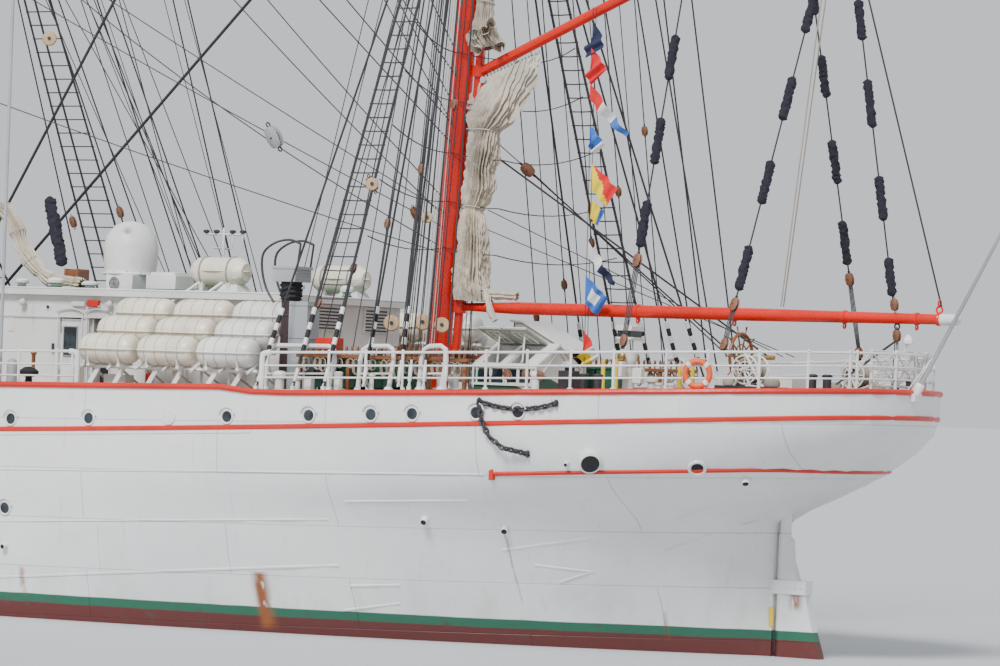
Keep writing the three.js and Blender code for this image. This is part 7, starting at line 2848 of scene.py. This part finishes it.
def make_boat_gear():
    """Davits with their falls, gripes over the boats and grab lines along them."""
    white, rope, wood = Shape(), Shape(), Shape()
    for side in SIDES:
        for centre in (-10.6, -2.2):
            for dx in (-2.75, 2.75):
                x = centre + dx
                y = side * 6.45
                floor = deck(x)
                arc = [
                    (x, y, floor - 0.02), (x, y, floor + 2.6), (x, y - side * 0.06, floor + 3.4),
                    (x, y - side * 0.35, floor + 3.95), (x, y - side * 0.85, floor + 4.15),
                ]
                white.tube(smooth_path(arc, 4), 0.085, 8)
                head = Vector((x, y - side * 0.85, floor + 4.05))
                block(wood, rope, head - UP * 0.18, (0, 0, 1), 0.14)
                for dy in (-0.04, 0.04):
                    rope.tube([head + Vector((0, dy, -0.2)), (x, side * 5.6 + dy, 9.98)], 0.014, 4)
            for dx in (-1.9, 1.9):
                strap = []
                for k in range(13):
                    a = math.pi * k / 12
                    strap.append((centre + dx, side * 5.6 + 1.27 * math.cos(a), 9.62 + 0.42 * math.sin(a)))
                rope.tube(strap, 0.022, 4)
            for edge in (-1, 1):
                points = []
                for k in range(25):
                    share = k / 24
                    x = centre - 3.4 + 6.8 * share
                    wide = 1.27 * math.sqrt(max(0.02, 1 - (2 * share - 1) ** 4)) + 0.03
                    dip = 0.10 * abs(math.sin(share * math.pi * 6))
                    points.append((x, side * 5.6 + edge * wide, 9.45 - dip))
                rope.tube(points, 0.014, 4)
    white.make("boat_davits", WHITE, "house_white")
    rope.make("boat_ropes", ROPE, "sail_canvas")
    wood.make("boat_blocks", BLOCK_WOOD, "spar_red")


# Anchor cable: station, distance from the middle line, height over the deck.
CABLE = ((43.9, 0.5, 1.2), (45.2, 0.8, 0.5), (46.6, 1.25, 0.1), (47.4, 1.6, -0.03))
CAPSTAN_X = 40.6
CAPSTAN = [
    (0.50, -0.02), (0.48, 0.1), (0.30, 0.2), (0.24, 0.5),
    (0.30, 0.82), (0.40, 0.9), (0.42, 1.06), (0.3, 1.12),
]
BELL_X = 37.45
BELL = [(0.03, 0.14), (0.10, 0.10), (0.13, -0.05), (0.20, -0.22), (0.21, -0.26), (0.17, -0.25)]


def make_forecastle_gear():
    white, dark, wood, brass = Shape(), Shape(), Shape(), Shape()
    for side in SIDES:
        points = []
        for i in range(17):
            x = 37.25 + (52.6 - 37.25) * i / 16
            points.append(Vector((x, side * max(0.25, half_beam(x) - 0.22), sheer(x))))
        for point in points:
            white.tube([point - UP * 0.03, point + UP * 0.98], 0.025, 6)
        for height in (0.30, 0.56, 0.78, 0.98):
            white.tube([point + UP * height for point in points], 0.018 if height < 0.9 else 0.028, 6)
        for i in range(13):
            x = 5.2 + 2.45 * i
            inside = half_beam(x) - 0.22
            stay = [(x, side * (inside - 0.42), deck(x) - 0.02), (x, side * inside, deck(x) + 0.98)]
            white.tube(stay, 0.045, 6)
        floor = sheer(48.9)
        crane = [
            (48.9, side * 1.2, floor - 0.02), (49.0, side * 1.25, floor + 1.6),
            (49.3, side * 1.55, floor + 2.2), (49.8, side * 2.2, floor + 2.35),
        ]
        white.tube(smooth_path(crane, 4), 0.085, 8)
        chain(dark, [Vector((x, side * y, deck(x) + over)) for x, y, over in CABLE], 0.24, 0.045)
        dark.ring(Vector((47.45, side * 1.62, deck(47.4) + 0.02)), (0.3, 0, 1), 0.26, 0.05, 18)
        white.lathe([(0.03, 0), (0.03, 0.75)], (37.5, side * 0.6, sheer(37.5)), UP, 8)
    dark.lathe(CAPSTAN, (CAPSTAN_X, 0, deck(CAPSTAN_X)), UP, 20)
    drum = Vector((CAPSTAN_X, 0, deck(CAPSTAN_X) + 0.98))
    for i in range(8):
        a = math.pi / 4 * i
        out = Vector((math.cos(a), math.sin(a), 0))
        wood.tube([drum + out * 0.36, drum + out * 1.5], 0.035, 6)
    floor = sheer(37.4)
    for y in (-0.28, 0.28):
        wood.tube([(BELL_X, y, floor - 0.02), (BELL_X, y, floor + 1.35)], 0.05, 8)
    wood.tube([(BELL_X, -0.38, floor + 1.35), (BELL_X, 0.38, floor + 1.35)], 0.055, 8)
    brass.lathe(BELL, (BELL_X, 0, floor + 1.15), UP, 18)
    white.make("forecastle_rails_and_cranes", WHITE, "house_white")
    dark.make("capstan_and_cables", DARK, "dark_steel")
    wood.make("capstan_bars_and_belfry", WOOD, "spar_red")
    brass.make("ship_bell", BRONZE, "propeller_bronze")


def make_bowsprit_gear():
    rope, net, white = Shape(), Shape(), Shape()
    for side in SIDES:
        for x in (53.0, 55.4, 57.8, 60.2, 62.4):
            top = bowsprit_point(x)
            rope.tube([top, top + Vector((0, side * 0.35, -0.85))], 0.014, 4)
        line = []
        for x in (52.6, 53.0, 54.2, 55.4, 56.6, 57.8, 59.0, 60.2, 61.3, 62.4):
            line.append(bowsprit_point(x) + Vector((0, side * 0.36, -0.85 - 0.1 * math.sin(x * 2.6))))
        rope.tube(line, 0.02, 4)
        outer = []
        for i in range(13):
            x = 51.6 + 0.62 * i
            outer.append(bowsprit_point(x) + Vector((0, side * (1.15 - 0.07 * i), -0.42)))
        rope.tube(outer, 0.022, 5)
        for i in range(13):
            x = 51.6 + 0.62 * i
            middle = bowsprit_point(x) + Vector((0, side * 0.1, -0.5))
            net.tube(sag_path(middle, outer[i], 0.12, 4), 0.010, 4)
        for share in (0.25, 0.5, 0.75):
            strand = []
            for i in range(13):
                out = side * (0.1 + (1.05 - 0.07 * i) * share)
                strand.append(bowsprit_point(51.6 + 0.62 * i) + Vector((0, out, -0.60)))
            net.tube(strand, 0.010, 4)
    tip = bowsprit_point(63.79)
    cap = [(0.16, -0.35), (0.175, -0.3), (0.175, -0.02), (0.1, 0.03)]
    white.lathe(cap, tip - Vector((0.02, 0, 0.01)), (math.cos(0.297), 0, math.sin(0.297)), 18)
    rope.make("bowsprit_footropes", WIRE, "stay_wire")
    net.make("bowsprit_net", PALE_ROPE, "sail_canvas")
    white.make("bowsprit_cap", WHITE, "house_white")


def add_camera():
    along = Vector((math.sin(HEADING), -math.cos(HEADING), 0))
    forward = along * math.cos(PITCH) + Vector((0, 0, math.sin(PITCH)))
    right = forward.cross(UP).normalized()
    up = right.cross(forward)
    turned_right = right * math.cos(ROLL) + up * math.sin(ROLL)
    turned_up = up * math.cos(ROLL) - right * math.sin(ROLL)
    data = bpy.data.cameras.new("camera")
    data.lens = LENS
    data.sensor_width = 36
    data.sensor_fit = "HORIZONTAL"
    data.clip_start = 0.1
    data.clip_end = 400
    camera = bpy.data.objects.new("camera", data)
    rotation = Matrix((turned_right, turned_up, -forward)).transposed().to_4x4()
    camera.matrix_world = Matrix.Translation(EYE * S) @ rotation
    bpy.context.scene.collection.objects.link(camera)
    bpy.context.scene.camera = camera


def add_floor():
    reach = 120
    mesh = bpy.data.meshes.new("floor")
    corners = [(-reach, -reach, 0), (reach, -reach, 0), (reach, reach, 0), (-reach, reach, 0)]
    mesh.from_pydata(corners, [], [(0, 1, 2, 3)])
    paint = Paint("floor")
    mesh.materials.append(paint.finish((0.50, 0.52, 0.54), 0.6))
    floor = bpy.data.objects.new("floor", mesh)
    bpy.context.scene.collection.objects.link(floor)


def add_lights():
    world = bpy.data.worlds.new("world")
    bpy.context.scene.world = world
    world.use_nodes = True
    back = world.node_tree.nodes["Background"]
    back.inputs["Color"].default_value = (0.86, 0.89, 0.93, 1)
    back.inputs["Strength"].default_value = 0.88
    data = bpy.data.lights.new("sun", "SUN")
    data.energy = 4.3
    data.angle = math.radians(18)
    sun = bpy.data.objects.new("sun", data)
    sun.rotation_euler = (math.radians(44), 0, math.radians(-172))
    bpy.context.scene.collection.objects.link(sun)


def main():
    add_camera()
    add_floor()
    add_lights()
    dress_solids()
    for step in STEPS:
        step()


STEPS = [
    make_stripes,
    make_beads,
    make_portholes,
    make_hull_pipes,
    make_hull_chains,
    make_rudder_fittings,
    make_anchors,
    make_rails,
    make_hoops,
    make_poop_gear,
    make_companion,
    make_steering_gear,
    make_reels,
    make_lifebuoys,
    make_stern_gear,
    make_boom_end,
    make_skylight_frames,
    make_rafts,
    make_roof_rafts,
    make_house_details,
    make_side_deck_gear,
    make_roof_gear,
    make_exhaust_gear,
    make_jigger_rigging,
    make_square_rigging,
    make_mast_falls,
    make_extra_stays,
    make_vangs,
    make_boom_gear,
    make_running_rigging,
    make_braces,
    make_yard_gear,
    make_spankers,
    make_flags,
    make_staysails,
    make_mast_gear,
    make_stairs,
    make_ventilators,
    make_hatch_gear,
    make_bridge_gear,
    make_fore_house_gear,
    make_boat_gear,
    make_forecastle_gear,
    make_bowsprit_gear,
]

main()
